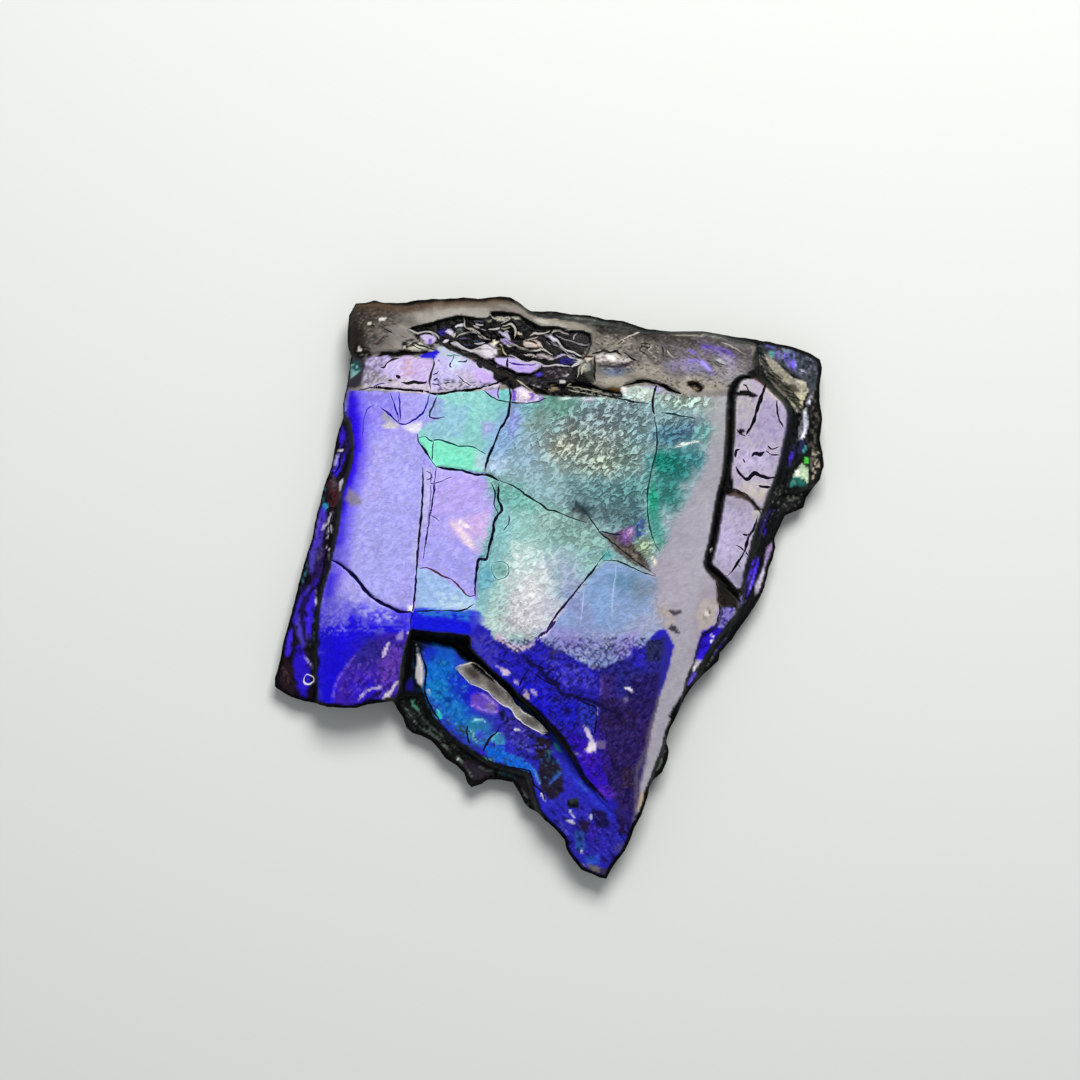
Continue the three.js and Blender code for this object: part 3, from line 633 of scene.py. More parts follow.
# Splinters that stand up in the flaked hollow and on the lower plate.
SPLINTERS = (
    Splinter(  # pale blade at the hollow's left end
        0.12,
        "-10.3,19.2 -9.7,19.1 -8.8,19.1 -8.4,18.8 -8.1,18.3 -8.3,18.2 -8.9,18.2 -9.4,18.3 -9.7,18.7",
    ),
    Splinter(  # long blade along the hollow's lower rim
        0.2,
        "-7.4,18.3 -6.8,18.3 -6.5,17.9 -5.9,17.7 -5.2,17.8 -4.4,17.8 -4.1,17.4 -4.3,17.1 -4.9,17.1 "
        "-5.4,17.4 -6.2,17.7 -7,17.9",
    ),
    Splinter(  # cream chip
        0.22,
        "-5,18.8 -4.3,18.5 -3.7,18.6 -3.3,18.2 -3.5,17.9 -4.1,17.9 -4.6,18.3",
    ),
    Splinter(  # middle blade
        0.25,
        "-3.7,19.1 -3.1,18.6 -2,18.5 -1.1,18.3 -0.6,17.7 0.3,17.4 -0.1,17.1 -0.8,17.3 -1.3,17.7 -1.9,17.8 "
        "-2.8,18.1 -3.4,18.5",
    ),
    Splinter(  # right blade
        0.2,
        "0.1,18.9 0.7,18.5 1.1,18 1.7,17.6 2.5,17.3 2.5,17.1 2,17.2 1.3,17.5 0.7,18.1 0.2,18.4 -0.2,18.7",
    ),
    Splinter(  # lavender slab
        0.15,
        "-4.4,17.1 -3.7,17.1 -3.1,17.2 -2.2,17.1 -1.3,17 -0.6,16.6 -0.8,16.2 -1.4,15.9 -2.3,15.9 -3.1,16.3 "
        "-3.8,16.6",
    ),
    Splinter(  # hooked splinter
        0.25,
        "-7.2,19.5 -6.8,19.7 -6.3,19.8 -5.9,19.5 -5.5,19.2 -5,19 -5.3,18.9 -5.9,19.1 -6.5,19.3 -7,19.2",
    ),
    Splinter(  # short curl
        0.25,
        "-3.4,19.8 -2.9,19.8 -2.5,19.5 -2.4,19 -2.5,18.7 -2.9,19.1 -3.1,19.5",
    ),
    Splinter(  # glossy grey lens on the lower plate
        -0.12,
        "-7,-6 -6.7,-5.8 -6.4,-5.7 -5.8,-5.5 -5.2,-5.8 -4.7,-6.2 -4.3,-6.7 -3.7,-7.1 -3.1,-7.7 -2.8,-8.3 "
        "-2.5,-8.8 -2.1,-9 -1.5,-9.4 -0.9,-9.9 -0.4,-10.3 -0.1,-10.8 -0.3,-10.9 -0.8,-10.8 -1.4,-10.5 "
        "-1.9,-10.1 -2.5,-9.8 -2.8,-9.2 -3.3,-8.9 -3.8,-8.5 -4.2,-8.1 -4.6,-7.7 -5.2,-7.5 -5.8,-7.2 "
        "-6.2,-6.9 -6.6,-6.5",
        on_lower=True,
    ),
    Splinter(  # grey-white flake at the lower plate's left end
        -0.3,
        "-9.9,-4.2 -9.8,-4.7 -9.5,-5.4 -9.4,-6.3 -9.4,-7.2 -9.5,-7.5 -9.9,-7.2 -10.1,-7.1 -10,-6 -10,-5.1",
        on_lower=True,
    ),
)

# Bare shale that breaks in sheets
SHEETED = (UPPER_EDGE, RIGHT_SIDE, RIGHT_CHIP, SHALE_FRINGE)

# The ground is blue nacre lightened to lavender by a painted whitish reflection of the surround
GROUND = "#aaa4f4"  # lavender nacre
NACRE_ROUGHNESS = 0.31
NACRE_CRINKLE = 0.12

FIELDS = (
    # Lavender left field: blue nacre lightened to lavender by a painted whitish reflection, bluer at its
    # head, and a saturated blue roll along its left edge where it curves down
    Coat("-15.3,15 -11,14.8 -11.2,12.2 -12.7,11.1 -15.3,11.1", "#8f86f3", soft=1.4),
    Coat("-13.3,11.1 -9.8,11.1 -9.7,2.1 -11.2,-0.9 -14.9,-0.9 -14.8,5.1", "#aeb0f8", soft=2.0, cover=0.7),
    Coat("-14.2,11.1 -11.6,11.1 -12.3,6.6 -15.3,5.1",
         "#b3a6ee", soft=1.5, cover=0.6, fleck=(0.9, 0.5, 60, 0.6)),
    *flecks("-15.3,14.8 -9.7,14.8 -9.7,-1.7 -17.2,-1.7", 0.6,
            ("#c0bcf8", 0.35, (0.5, 0.3, 75, 0.35)), ("#8c86e6", 0.35, (0.35, 0.25, 0, 0.3))),
    Coat("-14.1,14.7 -14,12.9 -14.1,11.1 -14.4,8.8 -15,6.6 -15.4,4.3 -15.7,2.4 -16.1,0.2 -16.6,-1.8",
         "#7466f2", width=1.5, soft=1.2),
    Coat("-14.6,14.7 -14.5,12.9 -14.4,11.1 -14.7,9.2 -15.2,7.3 -15.4,5.4", "#2f12ee", width=0.85, soft=0.7),
    Coat("-15.4,5.4 -15.8,3 -16.3,0.6 -16.8,-1.8", "#4a38ee", width=0.7, soft=0.7),
    Coat("-14.8,14.5 -14.8,12.6 -14.7,10.8", "#2206d8", width=0.5, soft=0.3, cover=0.8),
    Coat("-14.9,7.5 -14.5,7.2 -13.9,6.6 -14,6.2 -14.8,6.1 -15.2,6.6", "#8f8a96", soft=0.3, cover=0.8),
    Coat("-12.3,13.2 -11.7,12.9 -11.5,12.3 -12,12.2 -12.5,12.6", "#a29fbe", soft=0.2),
    Coat("-12.7,12.1 -11.9,12.3 -11,12.2 -11.3,11.9 -12.2,11.8", "#c9c3cc", soft=0.2),
    Coat("-10.9,12 -10.1,12.3 -9.5,12.3 -9.6,11.6 -10.4,11.5", "#eae6fa", soft=0.25),
    # Lower flange: deep blue, purple and mottled to the right, with pale frayed laminae
    Coat("-17.8,-1.2 -16.4,-1.5 -14.9,-1.6 -13.3,-2 -11.8,-2.1 -10.4,-2.1 -10.3,-3.2 -10.8,-9.3 -17.8,-9.3",
         "#1c0ee4", soft=2.2, wander=0.5),
    Coat("-16.1,-0.9 -13.3,-1.4 -11.2,-2.1 -10.9,-3.2 -13.3,-3.5 -16.1,-2.9",
         "#5a54e4", soft=0.6, wander=0.3, fleck=(0.9, 0.16, 10, 0.42)),
    Coat("-14.9,-1.4 -12.8,-1.4 -11.3,-2.1 -11.2,-2.6 -12.8,-2.6",
         "#a9a8f6", soft=0.4, fleck=(0.6, 0.16, 165, 0.4)),
    Coat("-16.1,-9 -15.7,-7.1 -14.8,-5.4 -13.6,-4.1 -11.9,-3.3 -10.4,-3.3 -10.9,-6 -11.2,-8.7 -14.2,-9.3",
         "#4022b4", soft=0.3),
    Glow((-13.28, -4.84), (1.5, 1.2), "#2c2690", 0.9, 30),
    Glow((-13.72, -7.69), (1.2, 1.05), "#2c14dc", 0.9),
    Glow((-11.78, -5.74), (0.75, 1.35), "#6a3fb4", 0.85, -10),
    Coat("-15.8,-8.4 -14.9,-5.7 -13.3,-4.1 -10.9,-3.5 -11,-7.7 -13.4,-8.9",
         "#1c1268", soft=0.3, cover=0.6, fleck=(0.8, 0.2, 60, 0.34)),
    Coat("-15.7,-7.7 -14.8,-6 -13.3,-5.1 -10.9,-3.9 -11,-7.7 -13.4,-8.4",
         "#8862cc", soft=0.3, cover=0.5, fleck=(0.7, 0.14, 50, 0.26)),
    Coat("-16.2,-8.9 -15.9,-7.2 -15.3,-6.2 -14.5,-5.1", "#8a6ad8", width=0.14, cover=0.8),
    Coat("-11.9,-4 -12.2,-4.7 -12.3,-5.1", "#dccdf0", width=0.22, soft=0.08, wander=0.06),
    Coat("-11.3,-3.5 -10.9,-3.2 -10.9,-3.9 -11.4,-3.9", "#9c8ad8"),
    Coat("-14.2,-8.4 -13.7,-7.8 -13,-7.5 -12.4,-7.4", "#cbbde0", width=0.24),
    Coat("-12.4,-8.3 -11.8,-7.8 -11.5,-7.2 -11.2,-6.9", "#d8cbe0", width=0.22, wander=0.14),
    Coat("-13.9,-8.7 -13.1,-8.1 -12.5,-7.8", "#1b1150", width=0.22),
    # Strip between the left field and the centre tile, and the centre tile
    Coat("-9.4,9 -8.8,8.8 -8.8,6.6 -9.1,5.1 -9.7,3.2 -9.9,1.3 -10.3,2.1 -9.7,5.1", "#b9b6ea", soft=0.25),
    Coat("-8.4,8.8 -7.3,8.7 -5.3,8.2 -3.9,7.8 -4,6.6 -4.1,5.1 -4.3,3.2 -4.7,2.2 -5.2,1.9 -5.5,-0.4 "
         "-6.1,-0.5 -7.3,0.3 -8.8,1.3 -9.8,1.6 -9.7,3.2 -8.9,5.1 -8.8,7.3", "#aea4f5"),
    Coat("-8.4,8.8 -3.9,7.9 -4,5.8 -8.6,5.4", "#b9a6f2", soft=0.8, cover=0.8),
    Coat("-9.5,3.9 -4.8,2.8 -5.3,-0.2 -8.2,1.2 -9.5,1.9", "#a3a2f4", soft=1.0, cover=0.8),
    Coat("-7.4,5.1 -6.2,5.3 -4.3,5.7 -4.2,4.3 -4.6,2.6 -5.5,2.6 -6.5,3.5 -7.3,4.2",
         "#d3b4ee", soft=0.5, cover=0.85),
    Coat("-5.2,5.4 -4.3,5.4 -4.3,3 -5.2,2.7", "#dfbcec", soft=0.5, cover=0.8, fleck=(0.4, 0.25, 70, 0.5)),
    Coat("-7.3,4.8 -6.8,4.4 -6.2,3.7 -5.7,3", "#f3dcea", width=0.5, soft=0.3),
    Coat("-7.1,5.2 -6.5,4.8 -6,4.5 -5.5,4.1", "#fbf0f4", width=0.16),
    Coat("-9.4,8.8 -3.9,7.8 -5.5,-0.3 -9.8,1.6",
         "#c8c2f8", soft=0.5, cover=0.35, fleck=(0.6, 0.3, 10, 0.35)),
    # Pale blue tile and the saturated blue strip under it
    Coat("-9.8,1.5 -8.8,1.2 -7.7,0.6 -6.8,0 -5.9,-0.7 -5.4,-0.9 -5.4,-1.8 -9.9,-1.7", "#a4c4f0"),
    Coat("-8.2,-0.3 -5.4,-1.1 -5.5,-1.8 -8.2,-1.6",
         "#c8e4f0", soft=0.5, cover=0.8, fleck=(0.5, 0.25, 20, 0.6)),
    Coat("-9.8,1.2 -8.2,0.6 -5.9,-0.9 -9.7,-1.4",
         "#8fb0e8", soft=0.3, cover=0.6, fleck=(0.5, 0.2, 20, 0.4)),
    Coat("-10.3,-1.5 -8.2,-1.7 -5.6,-1.8 -4.6,-1.8 -3.5,-3.9 -2.2,-5.4 -3.7,-6.9 -5.3,-5.1 -5.8,-3.6 "
         "-10.3,-3.2", "#1b1ee0", soft=0.3, wander=0.15),
    Coat("-9.8,-1.6 -5.5,-1.8 -4.4,-2.3 -4.7,-2.9 -7,-2.3 -9.8,-2.1",
         "#2c72d6", soft=0.4, fleck=(0.6, 0.25, 15, 0.65)),
    Coat("-10.3,-2.1 -5.9,-2.6 -5.9,-3.5 -10.3,-3.2", "#1414e4", soft=0.4, cover=0.8),
    Coat("-5.9,-1.8 -5,-2.1 -4.1,-3.5 -4.9,-3.9 -5.8,-3.9", "#4038dc", soft=0.3, cover=0.8),
    # Teal tile, its blue and lavender corners, and the mint tile below
    Coat("-8.5,14.5 -7,14.6 -4.6,15 -3.1,15.3 -2.9,14.6 -3,13.1 -3.7,11.7 -4.3,10.3 -4.9,8.7 -8.4,9 "
         "-9.8,11.2 -9.6,11.8 -8.2,12.4 -7.7,12.7 -7.9,13.7", "#8ed2ce"),
    Coat("-8.5,14.2 -7.7,13.9 -7.7,12.7 -8.5,12.5 -9.1,12.6", "#95a0de", soft=0.3),
    Coat("-7.9,13.7 -5.9,13.5 -6.5,11.1 -8.2,11.1 -9.3,11.4 -9.1,12.1 -7.7,12.7", "#92c3dc", soft=0.8),
    Coat("-5,12.3 -3.9,12.4 -4,11.4 -4.9,11.1", "#a7a6dc", soft=0.6),
    Coat("-4.9,14.4 -3.1,13.8 -3.3,12.2 -4.6,12.6", "#7fc4c4", soft=0.8, cover=0.8),
    *flecks("-9.3,14.4 -3.1,15.1 -3.3,11.8 -4.8,9.9 -9.3,11.1", 0.4,
            ("#b6e4e4", 0.4, (0.5, 0.25, 55, 0.3)), ("#6fb4bc", 0.4, (0.45, 0.2, 55, 0.3))),
    Coat("-9.8,11.1 -9.2,11.2 -8.8,10.9 -8.2,11 -7.3,10.7 -6.5,10.5 -5.8,10.5 -5.2,10.2 -4.8,9.9 -4.9,8.6 "
         "-6.5,8.7 -8.4,9 -8.8,9.5 -9.2,10.2", "#86ebcd", soft=0.08, wander=0.02),
    Coat("-8.6,10.2 -5.9,9.9 -5.3,9 -8.2,9.3", "#70e4c4", soft=0.6, cover=0.6, fleck=(0.5, 0.4, 0, 0.5)),
    Coat("-5.5,10.2 -4.7,9.8 -4.8,8.6 -5.6,9", "#a6cfd2", soft=0.3),
    # Small wedges under the hollow: lavender, teal, and the pink lens
    Coat("-4.9,14.7 -3.7,15.1 -3.7,14 -4.4,14.3", "#b2a4ec"),
    Coat("-3.7,15.2 -3.1,15.3 -2.9,13.8 -3.7,14", "#78c8cc"),
)


RIDGE = (
    # Grey mauve ridge down the right side of the main plate: a painted reflection of the white surround on
    # the curved ridge, over the nacre's own colour
    Coat("10.6,15 14.5,15 14.5,-0.9 11.6,-3.9 10.4,-8.4 8.6,-11.8 7.3,-16.8 5.9,-17.6 6.4,-12.9 7.3,-8.4 "
         "8.5,-3.9 7.3,-0.9 7.6,2.1 9.5,5.1 11.2,10.3", "#aaa6b4", soft=0.9, crinkle=0.05),
    # The wrinkled field: one ground, its wrinkles, then soft areas of colour
    Coat("-3,15 0.8,15.1 5.3,14.4 8,14.5 11.9,14.5 12.5,14.1 12.1,11.1 11.2,8.2 10.1,6 8.9,3.7 8,1.6 "
         "6.8,0.2 3.8,-0.9 0.8,-0.9 -3.7,-3.9 -5.3,-1.4 -5.2,2.1 -4.1,5.1 -4,6.6 -4.9,8.7 -3.7,11.7 "
         "-3,13.1", "#8fb2b8", crinkle=0.3, wander=0.03),
    # Grey along the ridge: more of its painted reflection
    Glow((12.22, 12.56), (1.2, 3.3), "#a3a6ac", 0.95, 0, crinkle=0.05),
    Glow((11.78, 8.81), (1.35, 3), "#a6a3b0", 0.95, 15, crinkle=0.05),
    Glow((10.57, 4.31), (1.5, 3), "#aaa7b6", 1.0, 25, crinkle=0.05),
    Glow((8.92, 0.19), (1.5, 2.7), "#a9a4b4", 1.0, 10, crinkle=0.05),
    Glow((0.53, 13.61), (2.55, 1.35), "#6fa79c", 0.85),
    Glow((-1.88, 13.91), (1.05, 0.97), "#76b6bc", 0.8),
    Glow((0.9, 13.46), (1.27, 0.97), "#5b8f7c", 0.75),
    Glow((-0.67, 12.41), (1.12, 0.82), "#76908a", 0.8, 30),
    Glow((-3.38, 11.21), (1.12, 2.25), "#8aaedc", 0.95, -22),
    Glow((-2.62, 12.56), (0.45, 1.05), "#8f96e0", 0.8, -8),
    Glow((-3.97, 9.11), (1.05, 0.67), "#b9d3ee", 0.85),
    Glow((-1.57, 9.71), (1.27, 1.65), "#94b4cc", 0.8, -20),
    Glow((-0.97, 7.61), (1.5, 1.05), "#93b6c2", 0.7, -30),
    Glow((3.67, 12.26), (3.3, 1.8), "#8c9fa8", 0.9, 25, crinkle=0.95),
    Glow((3.23, 10.16), (3.45, 1.8), "#a3b2a8", 0.9, -8, crinkle=1.0),
    Glow((0.97, 10.46), (1.12, 1.43), "#b3b3a2", 0.6, -20, crinkle=1.0),
    Glow((4.05, 8.96), (1.35, 0.75), "#b3c2ac", 0.6, 0, crinkle=1.0),
    Glow((6.52, 11.66), (0.97, 2.25), "#84a3a8", 0.7, 0, crinkle=0.9),
    Glow((5.77, 9.41), (1.05, 1.2), "#86a79e", 0.6, 0, crinkle=0.9),
    Glow((4.72, 6.79), (2.85, 1.27), "#628d92", 0.9, -14, crinkle=0.7),
    Glow((6.38, 7.46), (1.12, 1.05), "#5c9494", 0.7, 0, crinkle=0.7),
    Glow((4.58, 5.29), (1.95, 0.75), "#557076", 0.8, -14, crinkle=0.6),
    Glow((2.32, 6.19), (1.12, 0.9), "#5a7880", 0.7, -40, crinkle=0.5),
    Glow((6.52, 5.06), (0.75, 1.2), "#48707e", 0.7, 0, crinkle=0.6),
    Glow((10.12, 13.76), (1.95, 0.6), "#b2cdc2", 0.9, 0, crinkle=0.95),
    Glow((9.53, 12.26), (1.65, 0.6), "#7d9ca4", 0.8, 0, crinkle=0.9),
    Glow((9.38, 11.36), (1.8, 0.82), "#46708a", 0.9, 8, crinkle=0.85),
    Glow((11.47, 11.51), (0.6, 1.12), "#63aca6", 0.7, -10, crinkle=0.7),
    Glow((9.22, 8.96), (1.65, 1.43), "#1f7a76", 0.95, 20, crinkle=0.6),
    Glow((8.4, 9.41), (0.67, 0.9), "#16806e", 0.8, 0, crinkle=0.6),
    Glow((10.72, 9.71), (0.82, 1.2), "#3f8a92", 0.8, 20, crinkle=0.6),
    Glow((8.78, 6.86), (1.2, 1.2), "#2f7e78", 0.9, 25, crinkle=0.5),
    Glow((7.72, 6.26), (0.38, 1.65), "#18a47c", 0.8, 4, crinkle=0.4),
    Glow((8.03, 4.31), (0.53, 1.5), "#4b9a8e", 0.9, 8, crinkle=0.3),
    Glow((6.97, 2.89), (0.82, 0.82), "#9db392", 0.85, 0, crinkle=0.9),
    Coat("1.9,6.6 2.5,6 3.3,6 2.9,5.7 3.6,4.9 2.7,5.4 2.3,4.8 2.1,5.6 1.4,5.7 1.9,6",
         "#26343c", soft=0.16, cover=0.85),
    Coat("1.1,5.5 2.3,5.7 3.4,4.8 2.9,4.3 1.9,4.8", "#6d7478", soft=0.5, cover=0.6),
    Coat("3.8,4.1 4.7,4 5.5,4.3 5.9,3.7 6.4,3.1 7,2.4 7.7,1.1 6.8,1.5 5.7,2.1 4.7,3", "#5f5854"),
    Coat("4.3,3.9 5.5,4.2 7.7,1.2 6.1,2.1", "#2c2830", fleck=(0.5, 0.12, 140, 0.3)),
    Coat("4.7,3.9 5.5,4 5.9,3.3 5.5,2.8", "#544a58", soft=0.3),
    Coat("5.1,3 6.1,2.6 6.8,1.6", "#8f8474", width=0.22, soft=0.2, cover=0.8),
    Coat("5.1,4.1 5.8,4.7 6.5,4.4 6.3,3.5 5.6,3.2 5.2,3.6",
         "#7f5aa8", soft=0.2, wander=0.2, fleck=(0.3, 0.18, 40, 0.62)),
    Coat("5.5,4.2 6.2,4.5 6.2,3.8 5.7,3.7", "#c79ad0", fleck=(0.3, 0.14, 40, 0.5)),
    Coat("6.4,4.6 7,5.1 7.1,3.9 6.5,3.7", "#3d50a4", soft=0.2, fleck=(0.3, 0.16, 60, 0.55)),
    Coat("7.7,2.3 7.9,1.8 7.7,1.5", "#f1ead6", width=0.28, wander=0.06),
    Coat("9.4,10.5 10.1,10.7 11.1,10.9", "#e4f0ec", width=0.16, wander=0.06),
    # Teal below the long diagonal, whitening downwards: the white is a painted whitish reflection over the
    # teal
    Coat("-4.9,8.6 -3.9,7.8 -2.5,7.2 -0.2,6 1.9,5.1 4.1,3.6 4.3,2.8 3.2,1.2 1.6,-0.8 -0.1,-2.9 -1.6,-4.5 "
         "-2.9,-4.5 -4.3,-3.8 -4.6,-2.3 -5.4,-1.7 -5.3,1.3 -4.5,2.2 -4,5.1 -4,6.6",
         "#9ccbc8", crinkle=0.22),
    Glow((-2.77, 6.71), (1.8, 0.97), "#6db0a8", 0.85, -25, crinkle=0.35),
    Glow((0, 5.89), (1.2, 0.45), "#8cc4bc", 0.7, -25),
    Glow((-3.67, 4.46), (0.82, 1.8), "#86c2ca", 0.9),
    Glow((-4.72, 0.56), (0.6, 2.25), "#62acc6", 0.9, -4),
    Glow((-4.12, 2.66), (1.05, 1.05), "#8cc4c8", 0.8),
    Glow((1.72, 4.01), (2.1, 1.2), "#83a9a0", 0.85, -25, crinkle=0.5),
    Glow((-0.22, 4.76), (1.05, 0.75), "#97b8b4", 0.8),
    Glow((3.23, 2.81), (0.9, 1.35), "#8fbab2", 0.8, 30, crinkle=0.4),
    Glow((-0.82, 2.66), (1.5, 1.2), "#9cc8c4", 0.8),
    Glow((-1.88, 2.96), (1.12, 0.75), "#bcdcd8", 0.7),
    Glow((0.82, 1.61), (1.65, 1.2), "#a2b4cc", 0.8, 35),
    Glow((1.88, -0.04), (1.2, 1.5), "#a2accf", 0.85, 35),
    Glow((-1.43, -0.19), (1.8, 2.55), "#d9dde2", 1.0, 8),
    Glow((-2.02, -2.29), (2.25, 1.65), "#dad8e0", 0.95, -10),
    Glow((0.22, -1.39), (1.05, 1.2), "#cbc8dc", 0.8, 30),
    Glow((-3.97, -1.39), (1.05, 1.5), "#b0d2ce", 0.8),
    Glow((-4.42, -2.74), (0.9, 0.6), "#c4dcd4", 0.9),
    Glow((-2.17, 1.61), (0.9, 0.9), "#c8dedd", 0.7),
    Coat("-3.7,-2.3 -2.2,-3 -1,-3.9",
         "#b7a6b6", width=0.3, soft=0.3, cover=0.5, fleck=(0.5, 0.1, 150, 0.6)),
    Coat("-4.7,-0.9 -2.2,-0.6 -0.2,-1.8 -0.7,-3.9 -3.3,-4.2",
         "#8e8c9a", soft=0.3, cover=0.55, fleck=(0.9, 0.09, 150, 0.2)),
    Coat("-3.2,3 0.8,2.7 -0.3,-0.9 -3.3,-1.7",
         "#f4f6f4", soft=0.3, cover=0.6, fleck=(0.5, 0.14, 150, 0.22)),
    Coat("-4.1,1.6 -3.5,1.9 -3.1,1.5 -3.2,0.9 -3.9,0.8 -4.3,1.2", "#78aca8", soft=0.2, cover=0.8),
    Coat("-4,-3.3 -2.8,-4.1 -1.9,-4.4 -1.1,-3.9 -1.1,-4.4 -2,-4.9 -3.1,-4.7 -4.1,-4.1", "#d3c2dc"),
    # Periwinkle plate under the two fine diagonals
    Coat("3.1,0.6 4,1.8 5,1.8 6.8,1.2 7.9,0.7 8.9,-1.4 8.6,-3 7.6,-3.6 6.4,-4.7 5,-5.7 3.8,-6 2.3,-5.6 "
         "0.8,-5.1 -0.5,-4.4 0.2,-2.9 1.7,-1.1", "#8ea8d6", crinkle=0.15),
    # Grey mauve where the ridge passes: its painted reflection
    Glow((8.62, -0.94), (1.2, 2.55), "#a9a3b4", 1.0),
    Glow((5.47, 0.41), (1.35, 0.75), "#6790b4", 0.9, -20),
    Glow((6.97, -0.04), (0.97, 0.97), "#74889f", 0.85),
    Glow((3.97, -0.94), (0.9, 2.4), "#84a6d6", 0.8, 5),
    Glow((2.32, -1.84), (0.9, 1.95), "#8b96ca", 0.8, 30),
    Glow((1.27, -3.94), (1.65, 1.05), "#9a92d8", 0.9, -20),
    Glow((3.82, -4.24), (1.5, 1.05), "#8e94c4", 0.8),
    Glow((6.83, -2.89), (1.35, 0.9), "#a2a8c8", 0.9, 20),
    Glow((5.02, -2.59), (1.05, 0.75), "#8aa2d0", 0.6),
    Coat("3.9,2.7 4.4,2.8 5,2.3 4,2", "#5fa8a6"),
    Coat("4.8,-3.9 6.8,-3 6.4,-4.7 5,-5.7", "#a79ee4", soft=0.4, cover=0.8),
    Coat("-0.3,-4.3 1.2,-5 3.1,-5.7 4.1,-6 4.3,-6.6 1.6,-5.7",
         "#66606e", soft=0.2, cover=0.8, fleck=(0.5, 0.12, 155, 0.5)),
    Coat("1.9,-3.3 5,-3.3 5.3,-5.6 2.3,-5.6", "#c3bcd0", soft=0.4, cover=0.6, fleck=(0.6, 0.12, 40, 0.25)),
    # Worn and dirty places where the ridge meets the blue
    Coat("8.3,-1.2 9.2,-1.5 9.5,-2.6 8.6,-3 8,-2.1",
         "#b9a994", soft=0.3, cover=0.7, fleck=(0.4, 0.2, 40, 0.5)),
    Coat("8.7,-3.1 9.1,-2.8 9.4,-2.9 9.7,-3.4 9.2,-3.3", "#3c3a44"),
    Coat("8.9,-1.7 9.3,-1.9 9.8,-1.8", "#3e3a40", width=0.16),
    # Painted reflection where the ridge runs on down beside the blue
    Glow((7.57, -8.44), (0.9, 3), "#aca8ba", 0.5, 8),
    Coat("6.8,-15.2 7.4,-15.2 6.8,-16.5 6.2,-17.3", "#c9b394", soft=0.3, cover=0.7),
)

